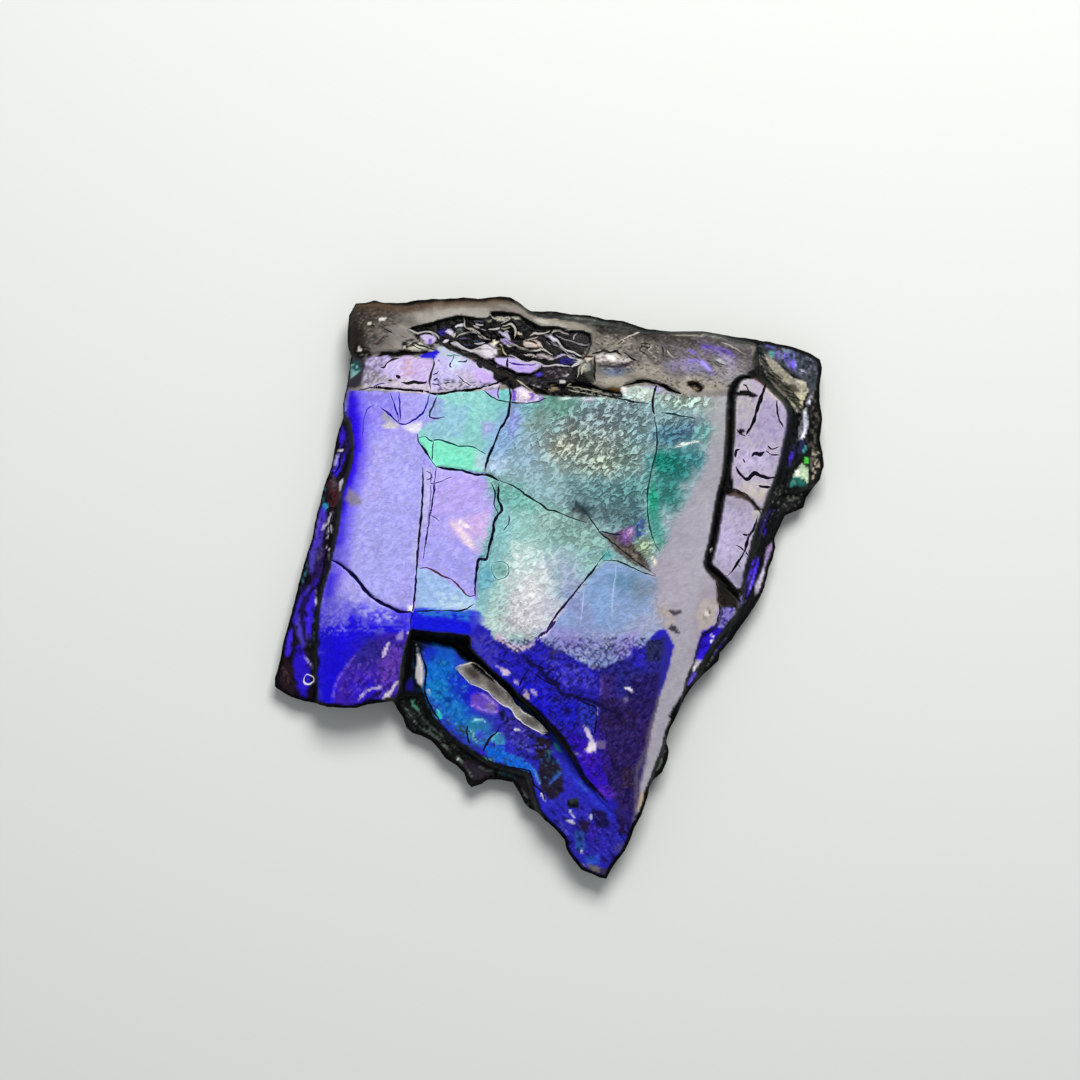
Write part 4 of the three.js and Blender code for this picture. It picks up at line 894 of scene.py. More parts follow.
DEEP_BLUE = (
    Coat("-5.3,-2.6 -4.3,-3.2 -4.3,-3.5 -4,-3.9 -3.5,-4.1 -2.9,-4.5 -2.5,-4.8 -2,-4.8 -1.6,-4.6 -1.4,-4.5 "
         "-1.1,-4.2 -1,-3.8 -0.8,-3.6 -0.5,-4.1 -0.2,-4.3 0.5,-4.6 1.1,-4.8 1.6,-5.1 2.2,-5.5 2.7,-5.7 "
         "3.1,-6 3.7,-6.2 4.1,-6 4.7,-5.7 5.3,-5.4 6.1,-5.2 6.5,-4.9 7,-4.4 7.4,-3.9 8,-3.3 8.6,-3 "
         "9.3,-4.3 8.9,-6 8.3,-7.8 8,-8.8 7.5,-10.5 7.3,-11.8 7,-12.6 6.6,-13.5 6.5,-15.2 6.4,-16.6 "
         "6.2,-17.7 5.8,-18 3.8,-15.9 1.8,-13.1 0.1,-10.7 -1.6,-8.9 -3.8,-6.8 -5.5,-5.3 -5.9,-3.9",
         "#2722b8", wander=0.06),
    Coat("-4.9,-4.3 -2.5,-5 -0.3,-4.7 0.8,-6.3 0.5,-8.4 -1.4,-8.4 -3.7,-6.8", "#2420c8", soft=0.5),
    Coat("-5.8,-3.6 -4.6,-3.3 -3.7,-4.8 -4.1,-6.3 -5.6,-4.8",
         "#4a44b8", soft=0.4, cover=0.8, fleck=(0.4, 0.3, 50, 0.6)),
    Coat("-1.9,-7.2 -0.7,-7.2 0.2,-8 0.2,-9.8 -0.4,-9.9 -1.3,-8.9", "#1c18e0", soft=0.35),
    Coat("0.8,-5.9 1.7,-5.6 2.6,-6 3.4,-6.5 3.2,-7.5 2.2,-7.5 1.1,-7.2", "#3a34d8", soft=0.2),
    Coat("-0.7,-5.1 0.8,-5.4 3.1,-6.3 3.7,-7.4 1.7,-7.7 0.2,-6.6",
         "#6a60d8", soft=0.3, cover=0.7, fleck=(0.5, 0.16, 150, 0.3)),
    Coat("3.8,-6 6.8,-4.8 8.8,-3.6 8.9,-6 8,-8.4 5.3,-8.4 4,-7.7", "#2c2a90", soft=0.4),
    Coat("6.1,-4.5 7.3,-4.5 7.3,-6 6.1,-6", "#2a24c0", soft=0.3, wander=0.15),
    Coat("7.2,-3.9 8.5,-3.8 8.3,-5.4 7.2,-5.6", "#2a3058", soft=0.25, wander=0.15),
    Coat("5,-6.2 6.5,-6.2 6.5,-7.7 5,-7.7", "#2c3088", soft=0.3, cover=0.8, fleck=(0.4, 0.3, 60, 0.6)),
    Coat("4,-6.5 5,-6.5 4.9,-8.6 4,-8.4", "#3a2878", soft=0.3),
    Coat("3.8,-6.5 3.9,-7.4 3.8,-8.3", "#6a50b0", width=0.2),
    Coat("3.8,-8.1 8,-8.3 7.4,-11.1 6.4,-17.1 5.5,-17.1 4.1,-14.4 3.7,-10.7", "#30205a", soft=0.5),
    Coat("5.9,-6.6 8.3,-6.3 7.7,-9.9 6.1,-9.6", "#2c1e60", soft=0.5, cover=0.8),
    Coat("3.8,-8.4 6.8,-9.3 6.1,-10.7 4.1,-10.1", "#2a1c44", soft=0.4, cover=0.8),
    Coat("5.5,-13.4 6.5,-13.4 6.3,-15 5.4,-15", "#3a2838", soft=0.3),
    Coat("0.3,-8.4 1.3,-8.3 2.2,-8.6 2.2,-9.6 1.8,-10.5 0.9,-10.2 0.3,-9.3", "#2020d0"),
    Coat("0.9,-9.1 1.3,-8.9 1.7,-9 1.6,-9.4 1.1,-9.4", "#100c60"),
    Coat("2.2,-8.4 2.9,-8.7 3.5,-8.9 3.5,-10.5 2.8,-10.6 2.2,-9.8", "#2c3cc8"),
    Coat("2.2,-8.4 3.5,-8.9 3.5,-10.5 2.2,-10.2",
         "#141868", soft=0.2, cover=0.8, fleck=(0.4, 0.14, 20, 0.3)),
    Coat("3.6,-8.9 3.5,-9.6 3.4,-10.4", "#8a84e0", width=0.14, soft=0.08),
    Coat("1.2,-10.5 3.2,-11.6 4.1,-13.7 4.7,-15.3 3.8,-15.6 2.5,-13.5", "#3412c4", soft=0.3),
    Coat("2.6,-12.2 3.5,-12.3 3.8,-13.2 3.2,-13.5 2.6,-13.1", "#4218c4", soft=0.3),
    Coat("3.5,-9.6 4.3,-11.4 4.7,-13.8 3.8,-12.9 3.4,-11.4", "#3a1aa0", soft=0.3, cover=0.7),
    Coat("3.5,-14.7 4.3,-14.7 5.1,-15.3 4.7,-15.8 3.8,-15.7",
         "#5a2ac0", soft=0.25, fleck=(0.3, 0.2, 40, 0.7)),
    Coat("4.7,-16.4 6.4,-16.8 5.9,-17.9 5,-17.6", "#2c2070", soft=0.4),
    *flecks("-5.2,-3.9 8.3,-3.9 6.4,-17.4 0.8,-11.4", 0.4,
            ("#5a50c4", 0.35, (0.5, 0.16, 40, 0.26)), ("#120c60", 0.45, (0.5, 0.16, 40, 0.34))),
    Coat("-5.2,-3.9 8.6,-3.6 6.4,-17.4 0.8,-11.4",
         "#0b0838", soft=0.4, cover=0.7, fleck=(0.8, 0.12, 35, 0.26)),
    Coat("-2.5,-4.8 -1.9,-5.1 -1.3,-5.7 -0.7,-6 0,-6.9 0.6,-7.2 0.8,-7.8 1.9,-8.1 2.9,-8.4 3.7,-8.7 4.1,-9 "
         "5.3,-9.5", "#110e44", width=0.34),
    Coat("0.1,-4.7 1,-4.8 0.5,-5.3 -0.1,-5.1", "#3a3848", cover=0.8, fleck=(0.4, 0.12, 150, 0.6)),
    # Pale chips on it
    Coat("-4.1,-5.7 -3.8,-5.7 -3.8,-5.9 -4.1,-5.9", "#cdbfe4", soft=0.06, wander=0.06),
    Coat("-3.7,-5.9 -3.3,-6 -2.9,-6.3 -3,-6.6 -3.5,-6.5 -3.7,-6.1", "#d8c8e8", soft=0.08),
    Coat("-2.6,-6.9 -2.4,-6.9 -2.2,-7.2 -2.3,-7.3 -2.6,-7.1", "#c8b8e0", wander=0.06),
    Coat("-2,-7.7 -1.8,-7.5 -1.5,-7.8 -1.4,-8.4 -1.7,-8.4 -1.9,-8.1",
         "#c0a8c8", fleck=(0.4, 0.16, 60, 0.7)),
    Coat("-1.4,-7.6 -1.1,-7.8 -1,-8", "#c8b8e8", width=0.14),
    Coat("2.5,-10.2 3,-10.6 3.2,-11.2 3.5,-11.8 3.1,-12.3 2.5,-12.3 2.4,-12.2 2.9,-11.8 3,-11.3 2.7,-10.7",
         "#d6c6e8"),
    Coat("2.9,-11.6 3.5,-11.7 3.4,-12.2 2.9,-12.3", "#eee2f4"),
    Coat("3.5,-11.4 4.2,-11.5 4.1,-12 3.6,-12", "#6a5a90"),
    Coat("1.6,-12.3 2.2,-12.4 2.6,-12.6", "#a094b8", width=0.14, cover=0.7),
    Coat("5.7,-7.5 6,-7.5 6.2,-7.8", "#eeeafc", width=0.18, soft=0.06),
    Glow((5.7, -8.32), (0.18, 0.17), "#7a7498", 0.95),
    # Foot of the ridge beside it
    Coat("8.2,-7.7 8,-8.8 7.5,-10.5 7.3,-11.8 7,-12.6 6.6,-13.5 6.5,-15.2 6.4,-16.6 6.2,-17.7",
         "#5c546c", width=0.3, cover=0.85, wander=0.06),
    # Where the lavender of the left field thins into the blue
    Coat("-17.1,-0.8 -15.2,-0.6 -14.7,-1.7 -15.2,-2.7 -17.1,-3", "#7d76e2", soft=0.5, cover=0.55),
    Coat("-17.1,-1.2 -14.9,-1.4 -15.1,-3.5 -17.1,-3.6",
         "#8f88ea", soft=0.4, cover=0.7, fleck=(0.3, 0.16, 20, 0.34)),
    Coat("-16.4,3 -15.2,3.1 -14.8,1.2 -16.6,1", "#8a82ec", soft=0.5, cover=0.6),
)

UPPER_BAND = (
    # One grey ground from the left end to the corner stone, the grey partly a painted reflection of the
    # bright surround where the band tilts to the north
    Coat("-15.4,22 -1.4,22 6.8,19.9 15.8,18.7 15.8,15.7 14.5,15.7 13.9,15.3 13.7,14.2 10.6,14.3 7.9,15.1 "
         "5.5,14.7 3.5,14.1 -0.1,14.4 -3.7,14.8 -8.9,14.4 -14.9,14.7 -15.7,17.1",
         "#86817b", crinkle=0.0, rough=0.36),
    Glow((-6.97, 20.21), (3.75, 0.82), "#a6a29b", 0.95, 2),
    Glow((-10.57, 18.56), (1.65, 0.82), "#918d87", 0.9, -8),
    Glow((-14.77, 19.31), (1.88, 3), "#26211e", 1.0, rough=0.4),
    Glow((-12.97, 20.36), (1.95, 0.97), "#453e37", 0.95),
    Glow((-11.62, 20.96), (2.55, 0.45), "#4a3c31", 0.9),
    Glow((-12.67, 18.71), (1.05, 0.97), "#5c5652", 0.8),
    Coat("-14.8,21 -11.2,21.1 -10.9,19.9 -12.7,17.8 -14.6,17.7",
         "#1f1b19", soft=0.3, cover=0.6, fleck=(0.8, 0.12, 15, 0.34)),
    Coat("-14.8,20.7 -11.2,20.7 -10.9,19 -13.4,17.7",
         "#a09a92", soft=0.3, cover=0.45, fleck=(0.7, 0.1, 52, 0.2)),
    Coat("-14.9,21.1 -13.1,21.3 -10.7,21.1 -8.6,21.4 -6.4,21.5 -3.7,21.6 -2.3,21.3 -1.3,20.6",
         "#52402f", width=0.8, soft=0.7),
    Coat("-8.2,20.8 -6.2,21 -3.8,20.9 -2.5,20.5 -1.1,20", "#6a6056", width=0.2, soft=0.25, cover=0.6),
    # Near-black line along the outline: painted shade at the edge
    Coat("-14.9,21.3 -13.1,21.5 -10.7,21.3 -8.6,21.6 -6.4,21.6 -3.7,21.7 -2.3,21.3 -1.4,20.7",
         "#0d0a09", width=0.5, soft=0.3),
    Coat("-12.7,20.1 -12.1,20.2 -12.1,20 -12.6,19.9", "#e0dcd6", soft=0.06, wander=0.05),
    Coat("-13.6,19.8 -13.3,19.8 -13.3,19.6 -13.6,19.6", "#d4d4c6", soft=0.06, wander=0.05),
    Coat("-14.8,18 -14.2,18.3 -13.4,17.8 -13.3,17.2 -13.9,16.9 -14.8,17.1",
         "#120f10", soft=0.2, fleck=(0.35, 0.2, 30, 0.76)),
    Coat("-14.2,18.1 -14.1,18.1 -14.1,17.7 -14.2,17.7", "#d0ccc6", soft=0.06),
    Coat("-14.1,17.7 -13.8,17.8 -13.7,17.6 -14,17.5", "#d8d2c8", soft=0.06),
    Coat("-13.5,16.9 -13.1,17.2 -12.6,17.4 -12.5,17.6 -11.8,17.6 -11,17.7 -10.7,17.7 -9.4,17.7 -8.3,17.9 "
         "-8.3,17.6 -9.4,17.4 -10.6,17.3 -11.5,17.2 -11.8,16.9 -12.3,17.1 -13.1,16.9",
         "#0c090b", soft=0.07, wander=0.06),
    Coat("-10.6,17.8 -10.3,18.3 -10,18.4 -9.4,18.2 -8.5,17.8 -8.6,17.7 -10.1,17.7", "#c4c4b4", soft=0.08),
    Coat("-11,18.2 -10.5,18.2 -10.7,17.7 -10.9,17.8", "#0c0a0b", soft=0.06, wander=0.04),
    Coat("-10.9,18 -10.7,18 -10.7,17.8", "#e0e0d8", soft=0.06, wander=0.03),
    # The tiles under the ledge
    Coat("-13.7,17.1 -12.1,17.3 -11.5,17.1 -12.2,16.3 -12.4,15.7 -11.8,15.3 -13.3,15.1 -13.9,15.3",
         "#b0a6d6"),
    Coat("-13.7,16.2 -12.4,15.9 -11.9,15.3 -13.7,15.1", "#a29cac", soft=0.4),
    Coat("-12.4,16.2 -11.9,16.8 -11.2,17.1 -10.4,17.3 -9.8,17.1 -9.4,17 -8.8,17 -8.6,16.6 -8.8,15.6 "
         "-8.9,15.1 -10.1,15.2 -11.3,15.5 -12.1,15.6", "#c6b0e6"),
    Coat("-11,16.9 -10.3,17.1 -10.1,15.9 -10.9,15.7", "#c6a3bc", soft=0.4, fleck=(0.4, 0.25, 90, 0.6)),
    Coat("-12.1,16.5 -11.2,16.9 -11.3,15.9 -11.9,15.7", "#c2bcf0", soft=0.4, cover=0.8),
    Coat("-9.4,16.5 -8.7,16.5 -8.8,15.6 -9.3,15.7",
         "#dccbee", soft=0.3, cover=0.8, fleck=(0.3, 0.2, 0, 0.5)),
    Coat("-13.9,15.3 -11.8,15.2 -10.9,15.6 -8.9,15.1 -3.7,15.3 -3.7,14.9 -8.4,14.4 -13.9,14.8", "#c6bcd0"),
    Coat("-8.5,17.3 -7.9,17.7 -7,17.7 -5.9,17.2 -4.9,16.6 -3.7,15.9 -3.4,15.3 -5.2,15 -7,14.7 -8.5,14.7 "
         "-8.8,15.1", "#bdb6e8"),
    Coat("-8.5,17.8 -7.7,18.1 -7.3,17.7 -5.9,17.3 -5.6,16.9 -7.4,17.2 -8.3,17.2", "#b4bcd4"),
    Coat("-7.9,15.4 -5.2,15.3 -5.2,14.8 -8.2,14.6", "#c2bacc", soft=0.3, cover=0.8),
    Coat("-5.8,16.2 -4.9,16.5 -4,15.9 -4.1,15.3 -5.3,15.1", "#c3a6ec", soft=0.3),
    Coat("-7,16.2 -5.9,16 -5.3,15.4 -6.5,15.1", "#b4a8bc", soft=0.4, cover=0.7),
    Coat("-7.4,17.1 -6.5,17 -6.5,16.3 -7.4,16.2", "#cbe4f4", soft=0.3, cover=0.7),
    *flecks("-13.8,17.2 -8.8,17.2 -3.7,15.6 -3.7,14.7 -13.8,14.8", 0.3,
            ("#8f86b4", 0.4, (0.4, 0.15, 40, 0.28)), ("#ece4f8", 0.45, (0.35, 0.15, 30, 0.26))),
    Coat("-13.9,17.1 -12.2,17.2 -12.7,15.1 -13.9,15.1",
         "#55515c", soft=0.5, cover=0.6, fleck=(0.4, 0.2, 60, 0.5)),
    Coat("-8.5,15.6 -5.9,15.3 -3.7,15.3 -5.9,14.7 -8.4,14.6",
         "#3c3a58", soft=0.2, cover=0.7, fleck=(0.4, 0.15, 20, 0.35)),
    # Scuffed field right of the hollow, dark above, with a row of white chips
    Coat("2.6,20.1 6.8,19.8 9.2,18.9 8.6,17.4 8.9,16 10.6,14.2 7.9,15.1 5.5,14.7 3.5,14.8 2.9,16.2 "
         "3.4,17.4 2.9,18.3", "#6c6862", soft=0.35, wander=0.2),
    Glow((4.72, 19.39), (2.1, 0.6), "#34302c", 0.95, -12),
    Glow((7.42, 18.79), (1.2, 0.45), "#2f2c2b", 0.9, -8),
    Glow((4.72, 18.11), (1.35, 0.45), "#807b72", 0.8, -8),
    Glow((7.42, 16.16), (1.65, 0.6), "#9a948b", 0.95, -8),
    Glow((4.88, 15.41), (1.8, 0.45), "#a59e93", 0.95, -4),
    Glow((4.88, 16.16), (0.97, 0.38), "#5c6c98", 0.85),
    *flecks("3.4,19.2 8.6,18.4 8.9,16 3.8,16", 0.3,
            ("#26231f", 0.65, (0.7, 0.1, 25, 0.32)), ("#b9b2a8", 0.6, (0.7, 0.09, 22, 0.22))),
    Coat("2.6,17.1 3.2,17.2 3.4,16.2 3.3,15.3 2.5,15.1", "#33362f"),
    Coat("2.6,17.1 3.2,17.2 3.1,16.9 2.7,16.9", "#c8beb4", soft=0.06, wander=0.05),
    Coat("2.6,16.7 3.1,16.8 3.1,16.2 2.6,16", "#7f837b"),
    Coat("3.5,17.3 4,17.4 4.5,17.4 5,17.4 5.5,17.1 6.2,17 5.6,16.8 5,16.7 4.3,16.8 3.5,16.8",
         "#c4bcbc", fleck=(0.5, 0.16, 12, 0.74)),
    Coat("4.3,17.3 4.7,17.3 5.1,17.1 4.8,16.9 4.4,17", "#f6f2f0", soft=0.06),
    Coat("3.4,16.6 4.1,16.6 4.9,16.5 5.5,16.7 6.3,16.9 5.9,16.5 5,16.3 4,16.4", "#2a2130"),
    # Dark violet-grey upper right band with lilac arcs
    Coat("8,19.3 11.3,19 13.6,18.6 15.2,18.1 15.6,16.6 15.5,15.7 14.5,15.7 13.9,15.4 13.6,14.4 11.3,14.2 "
         "9.5,14.5 8.6,16.2 8.2,17.7", "#6c676c", soft=0.4, wander=0.2),
    Glow((10.42, 18.56), (3, 0.6), "#3a3331", 1.0, -4),
    Glow((13.57, 17.81), (1.95, 0.53), "#4b4548", 0.9, -22),
    Glow((10.88, 14.96), (3.3, 0.82), "#a29c92", 1.0, 2),
    Glow((13.42, 15.86), (1.2, 0.67), "#938e98", 0.9),
    Glow((10.28, 16.54), (1.5, 0.53), "#8c84ac", 0.9, -10),
    Glow((12.53, 17.66), (1.27, 0.38), "#6e60a8", 0.8, -22),
    Glow((13.35, 16.91), (0.67, 0.45), "#9a90b4", 0.8, -40),
    Glow((8.92, 17.51), (0.67, 0.67), "#524d50", 0.8),
    Coat("11.3,17.9 12.3,17.9 12.8,17.7 13.3,17.6 13.7,17.2", "#5a44b4", width=0.16, soft=0.16),
    Coat("10.3,17.7 10.7,17.6 11.2,17.3", "#7464c8", width=0.16),
    Coat("10.3,16.9 10.9,16.9 11.3,16.8 11.8,16.4 12.2,15.9", "#8474dc", width=0.36, soft=0.3, cover=0.85),
    Coat("11.2,16.9 11.7,16.5 12.2,15.9", "#a696fa", width=0.24),
    Coat("12.4,17 12.8,17.1 13.2,16.6 12.9,16.6", "#aab2b6", soft=0.07, wander=0.05),
    *flecks("8.3,18.9 15.2,18.1 15.2,15.6 11.3,14.7 8.6,15", 0.3,
            ("#c9c3c0", 0.3, (0.8, 0.1, 155, 0.2)), ("#2f2a2c", 0.5, (0.8, 0.1, 155, 0.24))),
    Coat("10.2,15.3 10.7,15.4 11.2,15.3 11.5,14.9 11.3,14.5 10.9,14.5 10.5,14.9", "#120d0b", soft=0.07),
    Coat("10.7,15 11.2,14.8 11,14.6 10.7,14.7", "#7a6a50", soft=0.06, wander=0.05),
    Coat("8.8,15.6 13.6,15.6 13.6,14.7 8.9,14.8",
         "#2c2622", soft=0.3, cover=0.8, fleck=(0.3, 0.24, 0, 0.1)),
    Coat("14.9,18.3 15.6,18 15.7,16.3 15.2,16.5", "#8f8a80", cover=0.8, fleck=(0.2, 0.2, 0, 0.5)),
    # Pale wrinkled wedge under the arch and the frayed edge left of it
    Coat("5.3,14.7 6.2,15 7.2,15 7.9,14.7 7.7,13.8 6.5,13.8 5.6,14.2", "#b7c9c2"),
    Coat("6.8,14.8 7.9,14.7 7.7,13.9 7.1,14.1", "#d8e4dc", soft=0.2, cover=0.7, fleck=(0.3, 0.1, 60, 0.5)),
    Coat("5.4,14.9 5.8,14.9 5.8,14.4 5.5,14.4", "#eef0ec", soft=0.08),
    Coat("4.3,14.9 5.3,14.9 5.3,14.4 4.7,14.4 4.3,14.6", "#4d391c", soft=0.08),
    Coat("-0.1,15 1.2,15 3.8,14.7 4.3,14.2 5.3,13.9 2.3,13.9 0.5,14.1", "#9fc0bc", soft=0.2),
    Coat("0.5,14.4 1.3,14.5 1.7,14.1 0.8,13.9", "#d0ece4", soft=0.2, cover=0.8),
    Coat("2.6,14.2 3.8,14.1 3.5,13.8 2.6,13.8", "#d4cfe4", cover=0.8),
)

# Inside the flaked hollow: black, with blades of lavender and grey; their rims are hair lines
HOLLOW = (
    Coat("-10.6,19.3 -9.8,19.5 -8.9,19.7 -8.2,20 -7.3,20.2 -6.5,20.4 -5.8,20.2 -5,20 -4.3,19.8 -4.5,20.4 "
         "-4.4,20.6 -3.5,20.6 -2.2,20.4 -1.6,20 -0.8,19.6 -0.5,19.5 0.8,19.5 1.7,19.2 3.1,19 3,18.3 "
         "2.9,17.9 2.5,17.3 2.5,16.8 2.2,16.4 3.1,15.3 3.8,14.8 5.5,14.5 5.5,14.1 3.5,14.2 0.5,14.2 "
         "-1,14.4 -3.2,15.5 -4.6,16.3 -5.9,17 -7.6,17.8 -8.3,18.2 -8.7,18.1 -9.3,18.3 -9.7,18.6 -10.1,18.9",
         "#040305", soft=0.08, wander=0.05, rough=0.25),
    Coat("-8.4,19.2 -7.8,19.4 -7.7,18.8 -8.2,18.8", "#1c1070"),
    Coat("-9.6,18.8 -9.2,18.9 -8.6,18.8 -8.4,18.6 -8.6,18.3 -8.8,18.1 -9.2,18.2 -9.4,18.5",
         "#c0b4d8", soft=0.06, wander=0.05),
    Coat("-9,18.5 -8.8,18.5 -8.8,18.2 -9,18.2", "#5a3cb0", soft=0.08, wander=0.05),
    Coat("-6.9,19.4 -6.5,19.5 -6.4,19.2 -6.7,18.9 -6.9,19.1", "#3a4242"),
    Coat("-7.1,19.4 -6.9,19.6 -6.4,19.7 -6.3,19.6 -6.8,19.5 -7.1,19.3", "#e6e0f0", soft=0.05, wander=0.04),
    Coat("-7.8,19.2 -7.5,19.3 -7.2,19.2 -7.2,18.9 -7.3,18.9 -7.6,19", "#cfc6e6", soft=0.06, wander=0.05),
    Coat("-7.4,18.2 -7.2,18.3 -7,18.3 -6.7,18.1 -6.4,17.9 -6,17.7 -5.5,17.8 -5,17.9 -4.6,18 -4.3,17.8 "
         "-4.3,17.5 -4.3,17 -4.7,17 -5.1,17.2 -5.5,17.4 -6.1,17.5 -6.5,17.6 -6.8,17.8 -7.2,18",
         "#bab6be", soft=0.06, wander=0.05),
    Coat("-6.9,18 -6.5,17.7 -6,17.6", "#5c5860", width=0.14, soft=0.08),
    Coat("-5,17.8 -4.4,17.8 -4.3,17.2 -4.9,17.3", "#8d8a94", cover=0.8, fleck=(0.4, 0.14, 60, 0.4)),
    Coat("-4.3,18.2 -4.2,18.5 -4,18.5 -3.7,18.3 -3.9,18.1 -4.1,18", "#efe9cf", soft=0.06),
    Coat("-4.2,17.9 -3.4,17.9 -3.4,17.4 -4,17.3", "#2e2b18"),
    Coat("-3.7,18.5 -3.2,18.6 -2.9,18.3 -2.5,18.1 -2.9,18 -3.4,18.2", "#b9a8d8", soft=0.07, wander=0.06),
    Coat("-4,20.2 -3.5,20.3 -2.9,20.2 -3.1,20 -3.6,19.8 -3.9,19.9",
         "#b4b0a4", soft=0.06, wander=0.06, fleck=(0.4, 0.12, 20, 0.6)),
    Coat("-2.7,20.2 -2.4,20.2 -2.1,20.3 -2.1,20 -2.4,20", "#d8d4c4", soft=0.05, wander=0.05),
    Coat("-3.8,19.2 -3.5,19.1 -3.1,18.9 -2.9,18.5 -3.1,18.6 -3.6,18.9", "#b4accc", soft=0.07, wander=0.06),
    Coat("-2.5,19 -2.2,19.1 -1.9,18.8 -2.3,18.9", "#cfc8b4", soft=0.06, wander=0.05),
    Coat("-1.9,18.3 -1.7,18.4 -1,18.5 -0.7,18.3 -0.6,18 -1,17.9 -1.6,17.9 -1.9,18.1",
         "#c9b6ac", soft=0.06, wander=0.05),
    Coat("-1.7,18.2 -1,18.1 -0.8,18 -1.6,18", "#a8a0a8"),
    Coat("-0.3,18.8 0.1,18.9 0.4,18.6 0.6,18.4 0.3,18.3 0,18.6", "#ccc8dc", soft=0.06, wander=0.05),
    Coat("-0.3,18.4 0.1,18.1 0.6,17.8 1,17.6 0.6,17.5 0.1,17.7 -0.2,18.1", "#17110f", soft=0.06),
    Coat("2,19 3.1,19 3.1,18.4 2.1,18.5", "#1e181e", soft=0.08, wander=0.05),
    Coat("0.4,17.1 0.5,17.2 0.9,17.4 1.3,17.4 0.8,17.2", "#c0b8d8", soft=0.06, wander=0.04),
    Coat("-1.1,17.2 -0.9,17.4 -0.5,17.4 0.1,17.2 0.3,17 -0.5,17.1", "#c6b8bf", soft=0.06, wander=0.05),
    Coat("0.8,17.1 1.1,17.2 1.4,17.3 1.8,17.1 2,16.9 1.8,16.8 1.3,16.6 0.7,16.7", "#170e62"),
    Coat("-4.1,17.2 -3.1,17.2 -2.7,17.2 -2,16.9 -1.3,16.8 -0.5,16.6 -0.9,16.2 -1.4,16 -2.3,16 -3.1,16.4 "
         "-3.9,16.5", "#b7abe2", soft=0.07, wander=0.06),
    Coat("-2.7,16.5 -1.4,16.5 -0.9,16.5 -1.4,16 -2.3,16.1",
         "#b896ea", soft=0.2, fleck=(0.5, 0.12, 70, 0.5)),
    Coat("-1.1,15.9 -0.6,16.1 -0.5,15.8 -0.8,15.7", "#4a38c0", soft=0.08),
    Coat("-1,16.5 -0.5,16.5 -1,16.1", "#a8a0b8", soft=0.06),
    Coat("-0.5,16.4 0.5,16.4 1.7,16.4 1.8,15.6 1.3,15.2 0.2,15.3 -0.5,15.7", "#211d25"),
    Coat("-0.5,16.4 1.7,16.4 1.8,15.6 -0.3,15.3", "#80767f", cover=0.7, fleck=(0.4, 0.14, 150, 0.2)),
    Coat("1.1,15.9 1.5,15.9 1.4,15.7 1.1,15.7", "#cfc2cc", soft=0.06),
    Coat("0.7,15.4 1.2,15.4 1.2,15.2 0.8,15.2", "#d0cccc", soft=0.06),
    Coat("-2.5,15.6 -1.6,15.8 -0.7,15.6 -0.1,15.3 -0.4,14.7 -1.4,15",
         "#34323c", fleck=(0.35, 0.16, 150, 0.5)),
    Coat("-1.3,15.1 -0.7,15 -0.7,14.8 -1.2,14.8", "#a8a4b4", soft=0.06),
    Coat("-0.1,15.1 0.8,15 1,14.7 0,14.6", "#7a6e54", fleck=(0.4, 0.14, 170, 0.66)),
    Coat("1.7,14.9 3.8,14.7 5.3,14.3 3.8,14.2 2,14.5", "#6c7068", soft=0.08, fleck=(0.8, 0.1, 168, 0.42)),
    Coat("2.5,16.8 2.9,16.9 2.7,16.2 2.4,15.9", "#c4beb0", soft=0.06, fleck=(0.6, 0.1, 75, 0.5)),
    Coat("-2.8,15 -2,15 -1.1,14.5 -0.4,14.2 -1,13.8 -2,13.7 -2.6,13.8", "#d3c4e8"),
    Coat("-2.2,14.8 -1.4,14.5 -1.4,14 -2.1,14", "#f4e2ea", soft=0.2),
    Coat("-2.8,14.9 -2.4,14.7 -2.5,13.9 -2.8,13.9", "#7850c8"),
    Coat("-1.5,14.4 -1.2,14.2 -1.5,13.8", "#7a58c4", width=0.2),
    Coat("-0.8,14.2 -0.3,14.1 -0.7,13.8", "#9a86d4"),
    Coat("-9.8,17.2 -9.5,17.1 -9,17.1 -8.6,17 -8.2,17.5 -8.4,17.7 -8.6,17.6 -9,17.5 -9.7,17.3",
         "#1d14cc", soft=0.06, wander=0.05),
    Coat("-5,18 -4.4,18.3 -3.9,18.1 -3.8,17.4 -4.3,17.1 -4.8,17.1", "#d6d2de", soft=0.08),
    Coat("-5.6,17 -4.9,16.9 -4.1,16.5 -3.7,16.2 -3.8,15.9 -4.6,16.2 -5.3,16.5", "#0b090c", soft=0.08),
    Coat("-7.5,17.4 -6.7,17.1 -5.8,16.7 -5,16.3 -4.3,15.9 -3.7,15.5",
         "#c4c4d6", width=0.15, soft=0.08, cover=0.85),
    Coat("-4.2,16.3 -3.5,16.1 -2.7,15.6 -2.1,15 -2.7,14.7 -3.5,15.1 -4.1,15.6", "#08070a", soft=0.08),
    Coat("-10,18.9 -9.7,18.5 -9.3,18.1 -8.7,18", "#0a080b", width=0.2, soft=0.08),
    Coat("-11,18.1 -10.6,18.4 -10,18.5", "#0a080b", width=0.16, soft=0.08),
    Coat("-10.8,17.7 -10.3,18.1 -9.7,18.3", "#1a1614", width=0.13, soft=0.08),
    Glow((-10.5, 19.84), (1.12, 0.38), "#5c5854", 0.6, -14),
    Glow((-11.03, 18.79), (0.67, 0.45), "#716c68", 0.55, -20),
)

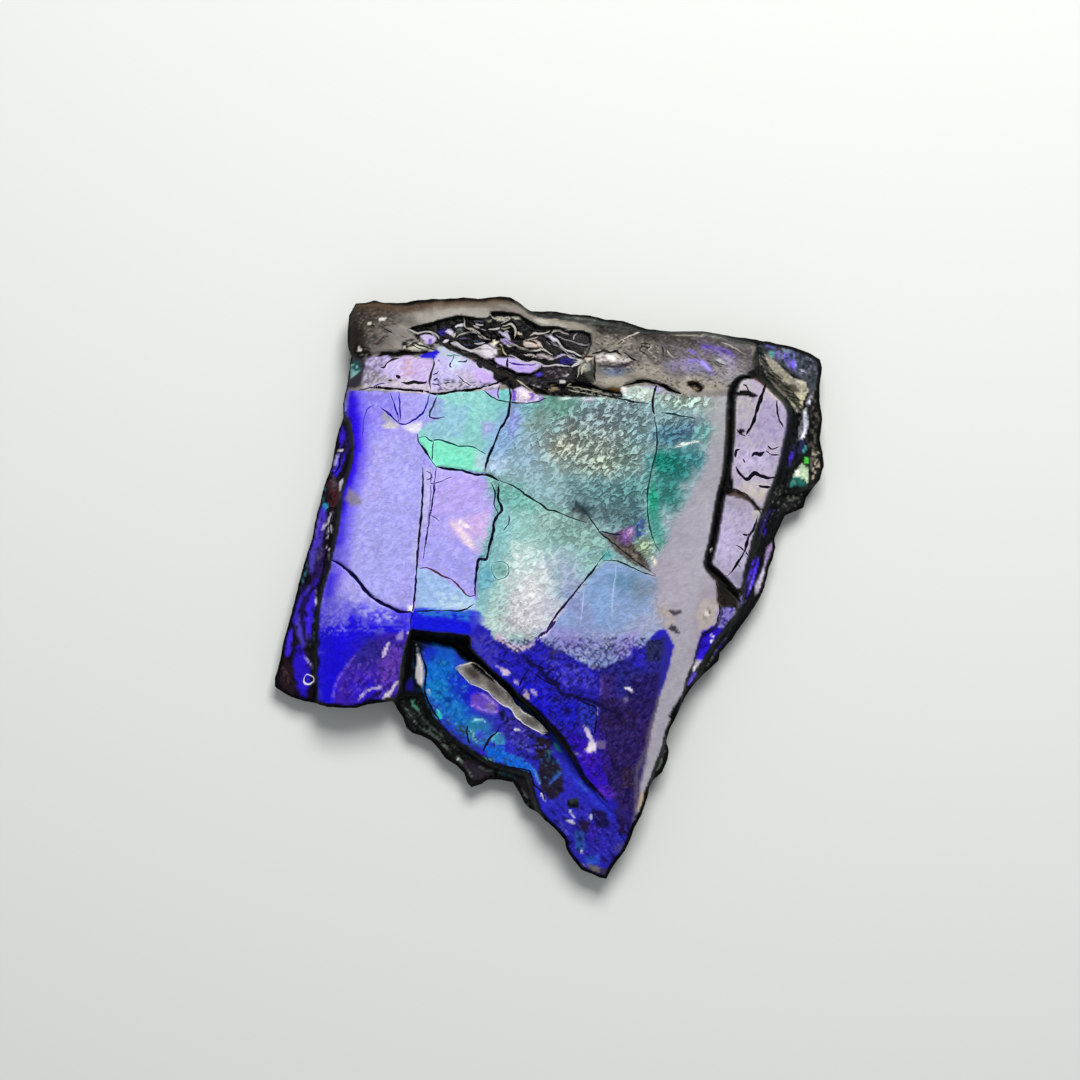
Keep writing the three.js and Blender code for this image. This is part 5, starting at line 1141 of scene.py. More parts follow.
UPPER_RIM = (
    # Broken upper edge, dark laminated shale; its grey-green sheen and the pale lines along it are painted
    # reflection and highlight
    Coat(UPPER_EDGE, "#1f2321", rough=0.6),
    Coat("-1.4,21 0.8,20.7 3.8,20.2 6.8,19.3 7.4,18.9 3.8,19.8 0.8,20.1 -1.1,20.2", "#2a2c29", soft=0.2),
    # Pale lines: painted highlights along the edge
    Coat("-1.4,20.2 -0.1,20 1.4,19.6 3.1,19.2", "#8d857c", width=0.5, soft=0.35),
    Coat("-1.1,20 0.1,19.7 1.3,19.5", "#b8b3ab", width=0.36, soft=0.25),
    Coat("0.8,20.2 2.3,20.1 3.8,19.8", "#5a5f58", width=0.3, soft=0.25, cover=0.6),
    Coat("2.9,19.9 4.3,19.8 5.5,19.9 6.8,19.3 6.1,18.9 3.8,19", "#2b2927", soft=0.25),
    # Pale lines along the top: painted highlights on the ridge
    Coat("8,19.1 9.8,19.1 11.3,19 12.5,18.7 14,18.5 15.2,18.3",
         "#8b9088", width=0.14, soft=0.08, cover=0.8),
    Coat("8.9,18.9 10.6,18.8 12.2,18.7", "#b9bcb4", width=0.1, soft=0.08, cover=0.7),
    Coat("-2.2,21.6 15.8,18.9 15.5,17.8 -2.2,19.6",
         "#6a7068", soft=0.2, cover=0.4, fleck=(1.6, 0.1, 171, 0.26)),
)

CORNER = (
    # Corner stone: dark slate above with blue and violet gleams, smooth olive grey below
    Coat("15.6,18.7 16.9,18.3 18.1,18.1 19,17.8 19.7,17.5 20.5,17.1 20.6,16.2 20,15.6 19.7,14.7 19.3,13.8 "
         "18.8,13 18.1,13.8 17,15 16.1,16 15.6,17.2", "#30343c", rough=0.34, crinkle=0.0),
    Coat("16,18.4 18.1,18.1 20.2,17.1 20.3,15.9 18.8,15.9 17.3,16.9",
         "#6a7488", soft=0.2, cover=0.7, fleck=(0.5, 0.16, 75, 0.3)),
    Coat("17.6,18 18.3,17.8 18.6,16.9 18.4,16 17.9,16.5 17.6,17.2",
         "#55549c", cover=0.85, fleck=(0.7, 0.14, 78, 0.6)),
    Coat("16.1,18.4 16.9,18.3 16.9,17.8 16.2,17.9", "#5a58a0"),
    Coat("16.4,17.7 16.8,17.8 16.9,17.3 16.5,17.2", "#4f9a9a"),
    Coat("16.8,17.8 17.3,17.7 17.3,17.1 16.9,17.1", "#5a5488"),
    Coat("17.6,18 18.3,18 18.3,17.6 17.6,17.6", "#6a7888", fleck=(0.22, 0.4, 0, 0.75)),
    Coat("17.6,17.6 17.6,17.1 17.8,16.6", "#6a58c0", width=0.16),
    Coat("18.1,17.1 18.4,17 18.4,16.4 18.1,16.4", "#6a50e0"),
    Coat("18.3,17.7 18.4,17.1 18.5,16.5", "#7a80c8", width=0.14),
    Coat("18.8,16.3 19.1,16.2", "#8a90a0", width=0.12, soft=0.08),
    Coat("19.3,16.3 19.7,16.1 19.6,15.9 19.3,16", "#6a7070"),
    Coat("15.7,17.4 16.3,17.2 17.1,16.8 17.6,16.3 18.3,15.7 18.8,15.5 19.2,15.4 19.5,14.7 19.1,13.8 "
         "18.8,13.1 17.9,13.9 17,14.9 16.3,15.9 15.8,16.8", "#8c887c", crinkle=0.0, rough=0.42),
    Glow((16.35, 16.69), (0.53, 0.75), "#8c887c", 0.9, 35),
    Glow((17.55, 15.71), (0.53, 0.53), "#7c786a", 0.8, -30),
    Glow((18.75, 14.06), (0.53, 0.67), "#d0c8aa", 0.95, -10),
    Glow((18.3, 14.36), (0.45, 0.67), "#98927f", 0.8, -20),
    Coat("16.9,15.7 17.4,15.5 17.9,15.2", "#b0a898", width=0.3, soft=0.2, cover=0.8),
    Coat("17.6,15.2 18.1,15 18.7,14.7", "#4a463c", width=0.34, soft=0.2, cover=0.85),
    Coat("18.5,13.4 18.8,13.1", "#ece8dc", width=0.18, soft=0.08),
    Coat("17.1,16.8 17.6,16.4 17.9,16.1 18.3,15.8 18.8,15.6 19.2,15.5",
         "#0d0e12", width=0.18, soft=0.08, wander=0.04),
    # Near black in the gully beside the stone: dark shale deepened by painted shade
    Coat("15.9,16.6 16.1,15.9 16.5,15.2 17.1,14.6 17.8,14 18.2,13.4 18.4,13",
         "#0c120f", width=0.4, wander=0.06),
    Coat("19.3,15.3 19.4,14.6 19.1,13.9 19.1,13.5 18.8,13.1 18.9,12.7 18.7,12.3 18.6,11.4 18.5,11",
         "#060607", width=0.17, soft=0.06, wander=0.03),
    Coat("19.4,10.2 18.7,9.3 18.2,8.5", "#08080a", width=0.24, soft=0.08, wander=0.04),
    Coat("20.2,16.6 20.3,14.8 20.2,12.9", "#08080a", width=0.3, wander=0.05),
)

RIGHT_SIDE_COATS = (
    # Dark broken ground right of the green field, where the gullies and the worn edge are
    Coat(RIGHT_SIDE, "#101114", rough=0.3, crinkle=0.0),
    # Near black in the two gullies: dark shale deepened by painted shade
    Coat("14.7,15.9 15.6,16.6 16.3,15.3 17.5,14.4 18.1,13.2 18.3,11.8 17.8,10.2 17.2,8.1 16.4,6 15.6,4.2 "
         "15.1,2.4 14.6,0.6 14.2,-1.2 13,-0.3 11.8,1.2 12.2,3.6 13,6.6 13.4,8.8 13.3,11.8 13.5,14.4 "
         "14.2,15.6", "#08080a"),
    Coat("17.7,13.1 17.6,11.1 17.2,9.6 17,8.3", "#8a7acc", width=0.16, cover=0.75),
    Coat("17.8,13 18,12 17.9,10.8", "#3a3058", width=0.2, soft=0.2, cover=0.8),
    Coat("18.9,13.6 19.3,13.5 19.3,12.9 19.1,12.4 18.9,13", "#a0a49c", soft=0.08, wander=0.06),
    Coat("19.4,14.5 19.6,14.5 19.6,13.9 19.4,13.6 19.2,13.8", "#d4d8ec", soft=0.06, wander=0.06),
    Coat("18.9,13.2 19.3,13.2 19.4,12.2 19.3,11.7 19.1,11.2 18.6,11 18.6,11.8 18.7,12.7",
         "#dce0f4", soft=0.08, wander=0.05),
    Coat("18.3,11 19.1,11.1 19.1,10.3 18.5,10 18.2,10.3", "#1a2040"),
    Coat("19.2,10.6 19.3,10.6 19.2,10.2 18.9,9.9 18.9,10.3", "#3f8a90", soft=0.08, wander=0.06),
    Coat("18.3,10.2 18.1,9.6 18,9", "#4430c4", width=0.26, wander=0.06),
    Coat("18.9,9.3 19.4,8.9 19.4,7.8 19.1,8.1 18.3,8.2 18.2,8.4 18.4,8.9", "#a8bca0", wander=0.06),
    Coat("18.4,8.9 18.8,8.8 18.7,8.3 18.3,8.3", "#dfe8dc"),
    Coat("19,9.7 19.4,9.7 19.4,9.3 19.1,9.3", "#3fae3c"),
    Coat("19,9.2 19.4,9", "#1f5a20", width=0.14, soft=0.08),
    Coat("18.1,8.2 18.7,8.3 19.3,7.8 19.3,7.6 17.9,7.5", "#1f5f58"),
    Coat("19.6,16.6 20.2,16.6 20.3,13.8 20.3,10.2 19.6,8.8 19.4,11.1 19.6,13.8",
         "#6c665a", soft=0.2, cover=0.8, fleck=(0.6, 0.16, 92, 0.36)),
    Coat("20,16.5 19.9,15.4 20.1,14.3", "#8a8a88", width=0.14),
    Coat("19.7,10.2 20.4,10.2 20.5,8.1 19.7,7.9", "#b0a490", cover=0.85, fleck=(0.3, 0.18, 95, 0.4)),
    Coat("16.7,5.8 16,5.1 16.1,4.1", "#452cdc", width=0.6),
    Coat("16.1,5.1 16.4,5.8", "#8f80f0", width=0.14),
    Coat("16.8,3.6 16.4,2.4 16.1,1.3", "#8f7ca8", width=0.5),
    Coat("16.3,1.8 15.8,0.6 15.5,-0.5", "#a69eb2", width=0.42),
    Coat("15.6,2.2 15.1,0.9 14.6,-0.8", "#4a2edc", width=0.6),
    Coat("15.4,1.2 15,-0.2", "#8f80f4", width=0.14, cover=0.8),
    Coat("14.6,-0.6 14.2,-1.4", "#7468b8", width=0.5, soft=0.2),
    Coat("14.6,7.5 19.7,8.1 18.8,5.4 16.1,4.8",
         "#6c7264", soft=0.2, cover=0.7, fleck=(1.3, 0.09, 18, 0.12)),
    Coat("17.2,6.3 18.5,6.7 19.5,6.9", "#6a7068", width=0.11, soft=0.08),
    # Beige and violet ground below the gullies
    Coat("11.3,0 12.4,0.7 13.4,0 14.2,-0.5 14.1,-1.5 13.1,-3.9 11.8,-5.4 10.7,-6.2 10.4,-4.7 10.7,-2.4",
         "#a79fae", soft=0.3, crinkle=0.0),
    Coat("11.3,-0.9 12.5,-0.9 12.7,-2.1 11.9,-3 11.2,-3.2 10.9,-2", "#b8aeac", soft=0.25),
    Coat("12.4,0.9 14.3,-0.3 14,-1.7 13.1,-1.8 12.5,-0.9", "#1f1a17", soft=0.25),
    Coat("12.7,-1.4 13.9,-1.5 13.5,-3.2 12.7,-3.6 12.3,-3", "#9388d8", soft=0.2),
    Coat("12.7,-1.4 13.9,-1.5 13.5,-3.2 12.7,-3.6", "#3a2c9c", fleck=(0.5, 0.1, 65, 0.3)),
    Coat("11.3,-3.2 12.2,-2.9 13.4,-3.2 12.8,-4.5 11.8,-5.5 10.9,-5.4", "#2c14d0"),
    Coat("11.9,-3.3 12.2,-3.7 12,-4.2", "#e4dcf4", width=0.16, soft=0.08),
    Coat("11.6,-1.5 11.8,-1.5 11.9,-1.9 11.6,-2 11.6,-2.4", "#40362f", width=0.13, soft=0.08, wander=0.06),
    Coat("11.6,-1.8 11.9,-2.1", "#efe8e4", width=0.2),
    Coat("14.1,-1.8 13.1,-3.9 11.8,-5.7 10.6,-7.7 10,-8.9 9.4,-10.1 8.9,-9.6 10,-7.7 11,-5.9 12.2,-4.5 "
         "13.3,-2.6", "#121412"),
    Coat("10.6,-5.7 10.9,-6.3", "#c8c0c8", width=0.2),
    Coat("10.9,-6.3 10.4,-7.2", "#6a54dc", width=0.26),
    Coat("12.5,-4.7 11.3,-6.9 10.6,-8.3", "#59645a", width=0.1, soft=0.08, cover=0.8),
    Coat(RIGHT_CHIP, "#121614"),
    Coat("8.8,-11.6 8.5,-12.6 7.9,-14", "#5a665c", width=0.12, soft=0.08),
)

TILES = (
    # Upper loose tile
    Coat("14.8,15.6 15.3,15.5 16,15.1 16.4,14.9 17,14.4 17.6,13.8 17.7,12.9 17.6,11.7 17.3,10.3 17.1,9.1 "
         "16.7,7.8 16.4,6.8 16,5.9 15.6,6 15.2,6.6 14.6,7 13.7,7.4 13.6,8.7 13.7,10.5 13.7,12.2 13.8,13.9 "
         "13.9,14.8 14.2,15.4", "#b5acc2", soft=0.06, wander=0.02, rough=0.3, crinkle=0.06),
    Glow((14.47, 13.91), (0.9, 1.65), "#bcb6b8", 0.9, 0),
    Glow((16.5, 12.26), (1.05, 1.8), "#ada2c8", 0.9, 0),
    Glow((15.22, 9.41), (1.5, 0.9), "#c4b8dc", 0.9, 0),
    Glow((15.52, 7.16), (1.05, 0.75), "#c6bdb4", 0.9, -20),
    Coat("13.9,14.7 17.5,14.1 16.7,6.6 13.9,7.7",
         "#8a80ac", soft=0.4, cover=0.5, fleck=(0.5, 0.22, 70, 0.26)),
    Coat("13.9,14.5 14.4,14.7 14.9,14.7 15.5,14.3 15.2,14.1 14.6,14.3 14,14.3",
         "#0a080c", soft=0.06, wander=0.03),
    Coat("16.1,15 16.7,14.4 17.2,13.8", "#d8cfc0", width=0.2, cover=0.8),
    Coat("15.3,15.6 16,15.2 16.4,15 16.9,14.5 17.6,13.9 17.8,13.6", "#5a4030", width=0.2),
    Coat("14,11.7 14.3,11.9 14.6,11.7 14.5,11.4 14.1,11.4", "#0c090e", soft=0.06),
    # Lower loose tile and the small pale piece beside it
    Coat("13.1,6.9 13.9,6.7 15.1,6.4 15.3,5.7 15.7,5.3 15.4,4.5 15.1,3.6 14.9,2.6 14.6,1.6 14.4,0.6 "
         "14.2,-0.1 13.8,0 13.3,0.6 12.7,1.2 12.2,1.7 12.2,2.4 12.4,3.6 12.7,4.9 12.9,6",
         "#b6aecb", soft=0.06, wander=0.02, rough=0.3, crinkle=0.06),
    Glow((14.03, 6.26), (1.35, 0.6), "#a39cae", 0.9, -12),
    Glow((13.12, 3.41), (0.97, 1.2), "#c2bae0", 0.9, 0),
    Glow((14.1, 0.71), (0.6, 0.6), "#8e88a4", 0.8),
    Coat("12.5,6.6 15.2,6 14.5,0.1 12.2,1.9", "#857ca6", soft=0.4, cover=0.45, fleck=(0.4, 0.2, 60, 0.26)),
    Coat("15.2,5.7 15.7,5.8 15.9,5.4 15.6,4.8 15.2,4.9", "#c2bac0", soft=0.08),
    Coat("13.3,7.1 14.2,6.9 15.1,6.3", "#54463c", width=0.26),
    # Near black along the gully: dark shale deepened by painted shade
    Coat("15.2,15.6 14.6,15.7 14.1,15.4 13.7,14.7 13.6,14.1 13.6,11.8 13.4,9.6 13.2,8.1 12.8,6.6 12.5,5.1 "
         "12.3,3.6 11.9,2.1 11.8,1.5 12.3,0.8 13.1,0.1 13.8,-0.5", "#060508", width=0.46, wander=0.04),
    Coat("12,3 12.1,2.7", "#d8d4d8", width=0.16, soft=0.06),
)

LEFT_STRIP_COATS = (
    # Sunken layer under the broken left edge: lenses of violet, blue and brown drawn out along it
    Coat(LEFT_STRIP, "#120c18", rough=0.28, crinkle=0.0),
    Coat("-17,5.7 -17.4,3.6 -17.8,1.2", "#4e40b4", width=0.9, soft=0.4),
    Coat("-17.9,0 -18.4,-1.8 -18.4,-4.3", "#4a3cc0", width=1.1, soft=0.4),
    Coat("-15,12.6 -14.9,11.4 -15.1,9.9", "#2a1c5c", width=0.5, soft=0.2),
    Coat("-15.4,12 -15.5,11.1 -15.6,10.5", "#3c1ee4", width=0.4, wander=0.06),
    Coat("-15.8,10.3 -15.3,10.2", "#ece8f8", width=0.14, soft=0.06, wander=0.04),
    Coat("-15.4,10 -15.8,9.4 -16,8.5", "#3620d4", width=0.9),
    Coat("-15.8,9.9 -16,9.4 -16.1,8.8", "#b4acf2", width=0.3),
    Coat("-15.4,8.2 -15.6,7.5 -15.7,6.6", "#cfcbe0", width=0.26, soft=0.08),
    Coat("-16.1,8.2 -16.1,7.2 -16.2,6", "#472028", width=0.85),
    Coat("-16.3,8.4 -16.1,7.8 -16,7.2", "#514e5a", width=0.5, soft=0.2, fleck=(0.3, 0.2, 60, 0.6)),
    Coat("-16.6,8.2 -16.9,7 -17.1,6.1", "#2a7c88", width=0.22),
    Coat("-16.9,6.3 -16.7,6 -17,5.7", "#2f94c0", width=0.36, wander=0.06),
    Coat("-16.9,6 -17.3,4.5 -17.6,3.1", "#4a34cc", width=0.9, soft=0.35),
    Coat("-16.2,5.7 -16.4,5.2 -16.9,4.5 -17.2,3.9", "#c3bed4", width=0.24),
    Coat("-16.4,4.6 -16.4,4.2 -16.6,3.7", "#a8a4b4", width=0.3, wander=0.14),
    Coat("-16.6,3.1 -16.4,2.6 -16.5,2.1", "#c2bec8", width=0.2, soft=0.08),
    Coat("-16.9,3.1 -17.2,1.6 -17.6,0.1", "#2a1a5c", width=0.8, soft=0.2, wander=0.14),
    Coat("-17,3 -17.3,2.1", "#5c5868", width=0.4, soft=0.2, cover=0.8, fleck=(0.5, 0.12, 70, 0.5)),
    Coat("-18.1,2.1 -18.4,1 -18.6,-0.2", "#33707e", width=0.22),
    Coat("-17.3,0.6 -17.9,-0.9 -18.4,-2.1", "#3a1ed8", width=0.6, soft=0.3),
    Coat("-18.4,0.1 -18.9,-1.4 -19.3,-3", "#1b1244", width=0.4, soft=0.2),
    Coat("-18.2,-0.3 -18.8,-1.5 -19.1,-2.7", "#3526b4", width=0.45, soft=0.2),
    Coat("-17.7,0 -18.4,-1.2 -18.4,-2.6 -18.3,-3.9", "#1d1350", width=0.5, soft=0.2),
    Coat("-17.5,-0.6 -17.9,-1.8 -17.9,-3 -17.5,-4.1", "#3a22e4", width=0.66, soft=0.2),
    Coat("-18.7,-3.9 -18.1,-4.2 -17.5,-4.3", "#2c3a44", width=0.16),
    Coat("-17.2,0.3 -17.4,-0.5 -17.5,-1.4", "#dedae8", width=0.24, soft=0.08, wander=0.05),
    Coat("-19.3,-3.2 -19.5,-4.2 -19.6,-5.1", "#3c26d4", width=0.5),
    Coat("-18.8,-4.5 -18.5,-6.2 -18.4,-8", "#2a14cc", width=1.2, soft=0.4, wander=0.14),
    Coat("-19.9,-5.4 -19.6,-6.9 -19.3,-8", "#261a20", width=1.2, soft=0.2),
    Coat("-19.9,-5.7 -19.6,-7.2", "#5a4046", width=0.5, soft=0.2, cover=0.7, fleck=(0.4, 0.2, 60, 0.5)),
    Coat("-18.4,-5.1 -18.1,-5.4 -17.7,-6", "#a8a0dc", width=0.2),
    Coat("-15.2,14.1 -14.8,11.1 -15.5,5.1 -17,-0.9 -17.4,-8.7 -20.6,-8.7 -20.6,-5.4 -17.2,6.6",
         "#0f0b18", soft=0.2, cover=0.7, fleck=(1.0, 0.12, 72, 0.14)),
    Coat("-17.2,5.5 -17.5,4.3 -17.7,3.3", "#7460da", width=0.34, soft=0.25, cover=0.8),
    Coat("-17.3,-1.1 -17.5,-3.9 -17.5,-8.7", "#101210", width=0.6),
    Coat("-17.3,-0.9 -17.6,-3.9 -17.4,-7.7", "#55584e", width=0.3, cover=0.8, fleck=(0.4, 0.14, 95, 0.34)),
    Coat("-17,0.9 -17.2,-0.2 -17.2,-1.3", "#0f0d12", width=0.4),
    # Near-black line along the outline: painted shade at the edge
    Coat("-15.2,15 -15.4,13.8 -15.4,12.8 -15.8,11.7 -16.1,10.4 -16.4,9.1 -16.9,7.6 -17.2,6.3 -17.4,5.7 "
         "-17.9,3.7 -18.3,2.1 -18.8,0.3 -19.2,-1.4 -19.6,-2.9", "#08070a", width=0.32),
)

LOWER_PLATE_COATS = (
    # Lower plate: azure with teal at its head, darker violet-blue towards the point
    Coat(LOWER_PLATE, "#0a080a", soft=0.08, rough=0.28, crinkle=0.0),
    Coat("-9.4,-4.8 -8.9,-4.4 -8.2,-4.3 -7,-4.8 -6.2,-5.7 -5.6,-6.2 -4.9,-6 -3.7,-7 -2.9,-7.7 -1.6,-8.7 "
         "-0.4,-9.8 0.3,-10.5 1,-11.3 1.6,-12.3 2.2,-13.3 2.6,-14.2 3.4,-15 3.8,-15.4 4.3,-16 5.2,-17.1 "
         "6.4,-18.2 6.2,-18.8 5.1,-20.4 4.3,-21.7 3.8,-21.7 2.4,-21.1 1.4,-19.6 -0.3,-17.4 -1.2,-14.6 "
         "-1.4,-13.8 -2.3,-13.5 -4.3,-12.9 -5.8,-12 -7,-11.3 -8.2,-10.1 -8.6,-9.3 -9.2,-8.1 -9.3,-6.9 "
         "-9.2,-5.9", "#2a28b8", rough=0.32, crinkle=0.16),
    Glow((-8.17, -6.34), (1.65, 2.25), "#1070d8", 1.0, 0, crinkle=0.1),
    Glow((-6.97, -8.89), (1.35, 1.95), "#1276cc", 1.0, 30, crinkle=0.1),
    Glow((-8.92, -4.84), (0.67, 0.6), "#1a30dc", 0.9),
    Glow((-8.4, -7.69), (0.82, 0.82), "#1084d0", 0.9, crinkle=0.2),
    Glow((-6.38, -7.54), (1.05, 1.05), "#1a30d4", 0.9, 20),
    Glow((-5.77, -8.29), (0.9, 0.75), "#1a14d8", 0.95, -30),
    Glow((-6.9, -6.94), (0.53, 0.6), "#1030d8", 0.8),
    Coat("-9.4,-4.8 -6.2,-6 -5.6,-11.6 -8.9,-9.3",
         "#45b0d8", soft=0.3, cover=0.5, fleck=(0.45, 0.14, 60, 0.2)),
    Coat("-9.4,-4.8 -6.2,-6 -5.8,-11.4 -8.8,-9.3",
         "#0b3c88", soft=0.3, cover=0.6, fleck=(0.7, 0.16, 60, 0.24)),
    Coat("-7.8,-8.2 -7.2,-8.2 -7.2,-8.7 -7.8,-8.7", "#0a3f9a", wander=0.06),
    Coat("-9.2,-7.6 -8.9,-7.6 -8.9,-7.9 -9.2,-7.9", "#88b8f0"),
    Coat("-8.5,-9.2 -8,-9.3 -8,-9.8 -8.4,-9.7", "#20c8b8"),
    Coat("-8.4,-9.1 -8.2,-9.3 -8.2,-9.4", "#5ce0d8", width=0.12, soft=0.08),
    Coat("-5.9,-8 -5,-7.8 -3.8,-8.4 -3.8,-9.4 -4.9,-9.4 -5.8,-8.9", "#6a48c8"),
    Coat("-4.8,-8.6 -4.1,-8.7 -4.1,-9.1 -4.8,-9", "#7a68a8"),
    Coat("-5,-7.9 -4.4,-8.4 -3.9,-8.9", "#a68cec", width=0.14, wander=0.06),
    Coat("-5.8,-8.8 -4.9,-9.1 -3.9,-9.3", "#9a80e0", width=0.12, wander=0.06),
    Glow((-5.33, -10.69), (1.05, 1.05), "#2a90b0", 0.95, 0, crinkle=0.25),
    Glow((-5.17, -10.99), (0.45, 0.45), "#3a48d0", 0.9),
    Coat("-5.9,-10.1 -5.5,-9.9 -4.9,-9.9 -4.6,-10.4", "#8fd4e0", width=0.13, soft=0.08),
    Coat("-5.8,-10.7 -5.6,-11.3 -5.2,-11.6", "#8fd4e0", width=0.11, soft=0.08, cover=0.8),
    Coat("-4.2,-10.9 -3.3,-10.8 -3.3,-11.7 -4,-11.7", "#3a98c0"),
    Coat("-4.2,-11.6 -4.1,-11 -3.5,-10.9", "#68c8e0", width=0.13, soft=0.08, wander=0.05),
    # Thin teal band above the gap, and the broken ground under the lens
    Glow((-2.17, -10.54), (1.65, 1.05), "#342a9c", 0.95, -20, crinkle=0.3),
    Coat("-3.7,-9.2 -3.3,-9.2 -3.2,-9.9 -3.6,-9.9", "#101444"),
    Coat("-3.3,-9.7 -2.8,-9.8 -2.8,-10.3 -3.3,-10.2", "#4038b0"),
    Coat("-2.9,-11.3 -1.5,-11.4 -1.5,-11.9 -2.8,-11.8", "#3c38a8"),
    Coat("-1.1,-11.1 0.1,-11.3 0.2,-12.8 -1,-12.8", "#241e2a", soft=0.2),
    Coat("-3.5,-9.5 -0.2,-10.1 0.8,-13.7 -2.2,-13.1", "#141026", soft=0.3, fleck=(0.5, 0.2, 30, 0.34)),
    Coat("-3.4,-9.6 -0.7,-10.2 -0.1,-12.2 -3.1,-12.3",
         "#5c5ae4", soft=0.3, cover=0.8, fleck=(0.4, 0.2, 30, 0.16)),
    Coat("-2.7,-10.5 -2.2,-10.5 -2.2,-10.7 -2.6,-10.7", "#f0eaf6", soft=0.05, wander=0.03),
    Coat("-1.6,-12.1 -1.3,-12.2 -1.3,-12.3", "#5a58c0", width=0.14),
    Coat("-0.5,-12.2 0.2,-12.3", "#3a7088", width=0.14),
    Coat("-4.9,-11.7 -4.3,-11.8 -3.3,-11.9 -3.5,-12.3 -2.9,-12.6 -2,-12.9 -1.3,-13.3 -1,-14.2 -1.4,-13.8 "
         "-2.3,-13.5 -3.7,-13.1 -4.7,-12.6", "#1062dc"),
    Coat("-4.3,-11.9 -2.9,-12.5 -2,-12.9 -1.3,-13.4",
         "#2f94ec", width=0.3, soft=0.2, cover=0.7, fleck=(0.5, 0.16, 160, 0.5)),
    Coat("-5,-12.7 -4.1,-12.8 -4.1,-13 -4.9,-13", "#5aa8a8", wander=0.06),
    Coat("-1.3,-13.4 -1,-13.8 -1,-14.3", "#3a8cf0", width=0.16),
    Coat("-0.8,-12.9 0.2,-12.6 1,-13.5 1.1,-15.2 0.1,-15.9 -0.7,-14.9", "#201a2c", soft=0.25),
    Coat("-0.2,-14.9 0.4,-14.3 0.9,-13.8", "#3a60c8", width=0.22),
    Coat("-0.7,-12.3 1,-12.3 1.3,-14.1 -0.4,-14.4",
         "#1f6c9e", soft=0.3, cover=0.7, fleck=(0.4, 0.16, 100, 0.2)),
    Coat("-3.3,-7.5 -2.8,-7.9 -2.3,-8.4 -1.9,-8.8 -1.4,-9.3 -0.8,-9.7 -0.4,-10 0,-10.5 0.5,-11.3 0.8,-11.7",
         "#23608e", width=0.2, wander=0.05),
    Coat("0.4,-11.5 0.7,-12 0.9,-12.2", "#2a90a0", width=0.26),
    Coat("1.1,-12.3 1.4,-13.2 1.8,-14 2.5,-14.8 3.4,-15.6 4,-16.4 4.7,-17", "#2c34cc", width=0.62),
    Coat("2.2,-14.4 2.8,-15.2", "#2a58d0", width=0.3, cover=0.8),
    Coat("1.4,-15.9 2.2,-15.9 2.2,-16.5 1.4,-16.5", "#0c0a0c", soft=0.06, wander=0.03),
    Coat("1.5,-15.8 2.2,-15.8 2.2,-16 1.5,-16.1", "#2a3430", soft=0.08),
    # Towards the point
    Glow((3.23, -19.39), (2.55, 1.5), "#2c26b0", 0.9, -20),
    Coat("0.8,-17.6 1.2,-18.2 1.7,-18.8", "#5a60e0", width=0.16),
    Coat("3.2,-16.5 4.3,-16.8 4.6,-17.9 3.5,-18", "#1c1450", soft=0.25),
    Coat("5,-16.8 6.1,-17.6 6.2,-18.5 5.2,-18.3", "#241650", soft=0.25),
    Coat("2.2,-17.3 3,-17.4 3.1,-18.2 2.3,-18.1", "#2a1c40", soft=0.2),
    Coat("1.9,-18.2 2.6,-18.1 2.7,-19.7 2,-19.7", "#2450a0", soft=0.2),
    Coat("3,-17.7 3.5,-17.7 3.5,-18.9 3,-18.9", "#3c20b8", soft=0.2),
    Coat("2.6,-20 3.7,-20 3.8,-20.7 2.8,-20.7", "#2a50c8", soft=0.2),
    *flecks("-0.3,-15.2 6.4,-17.9 5.3,-21 0.8,-19.4", 0.3,
            ("#17124c", 0.75, (0.9, 0.18, 125, 0.3)), ("#5a54e8", 0.5, (0.8, 0.12, 125, 0.16))),
    Coat("1.5,-16.6 1.7,-16.9 1.9,-17.2", "#dcd8f4", width=0.12, soft=0.07),
    Coat("1,-17.4 1.4,-17.4 1.9,-17.6", "#d0ccf0", width=0.12, soft=0.08),
    Coat("3.1,-16.9 3.1,-17.3", "#d4d0f0", width=0.13, soft=0.07),
    Coat("2.4,-19.5 2.5,-19.9", "#d4d0f0", width=0.14, soft=0.08),
    Glow((5.4, -19.44), (0.49, 0.45), "#4a4488", 0.95),
    Coat("1.9,-20.5 2.6,-20.6 2.8,-21 2.2,-21", "#6a6ea8"),
    Coat("2.9,-20.7 3.8,-20.9 3.9,-21.3 3.1,-21.3", "#6a6468"),
    Coat("3.8,-21 4.7,-21 4.5,-21.6 4,-21.6", "#3a3458"),
    Coat("-1.1,-13.7 -0.7,-14.6", "#6aa8e4", width=0.16),
    Coat("-0.6,-15.3 -0.3,-15.9", "#c8c8e4", width=0.12, soft=0.08),
    # The grey lens in the step, and the pale upright flake
    Coat("-7,-6 -6.4,-5.7 -5.8,-5.6 -5.3,-5.8 -4.7,-6.3 -4.3,-6.7 -3.7,-7.3 -3,-8 -2.5,-8.7 -1.9,-9.3 "
         "-1.2,-9.7 -0.6,-10.2 -0.1,-10.8 -0.5,-10.9 -1.2,-10.5 -1.9,-10.1 -2.5,-9.6 -2.9,-9 -3.5,-8.7 "
         "-4,-8.3 -4.5,-7.8 -5,-7.5 -5.8,-7.2 -6.3,-6.7", "#a19d99", soft=0.06, wander=0.02, rough=0.3),
    Glow((-5.62, -6.41), (0.75, 0.45), "#46413f", 1.0, -38),
    Glow((-3.97, -7.69), (1.05, 0.3), "#5f5b58", 0.9, -42),
    Glow((-1.43, -10.01), (0.75, 0.3), "#5a5654", 0.9, -30),
    Coat("-10.7,-6.8 -10.2,-6.8 -10.1,-7.7 -10.7,-7.7", "#1c1078", soft=0.2),
    Coat("-10.7,-3.9 -10.1,-3.9 -10.3,-6.6 -10.9,-7.5", "#050407"),
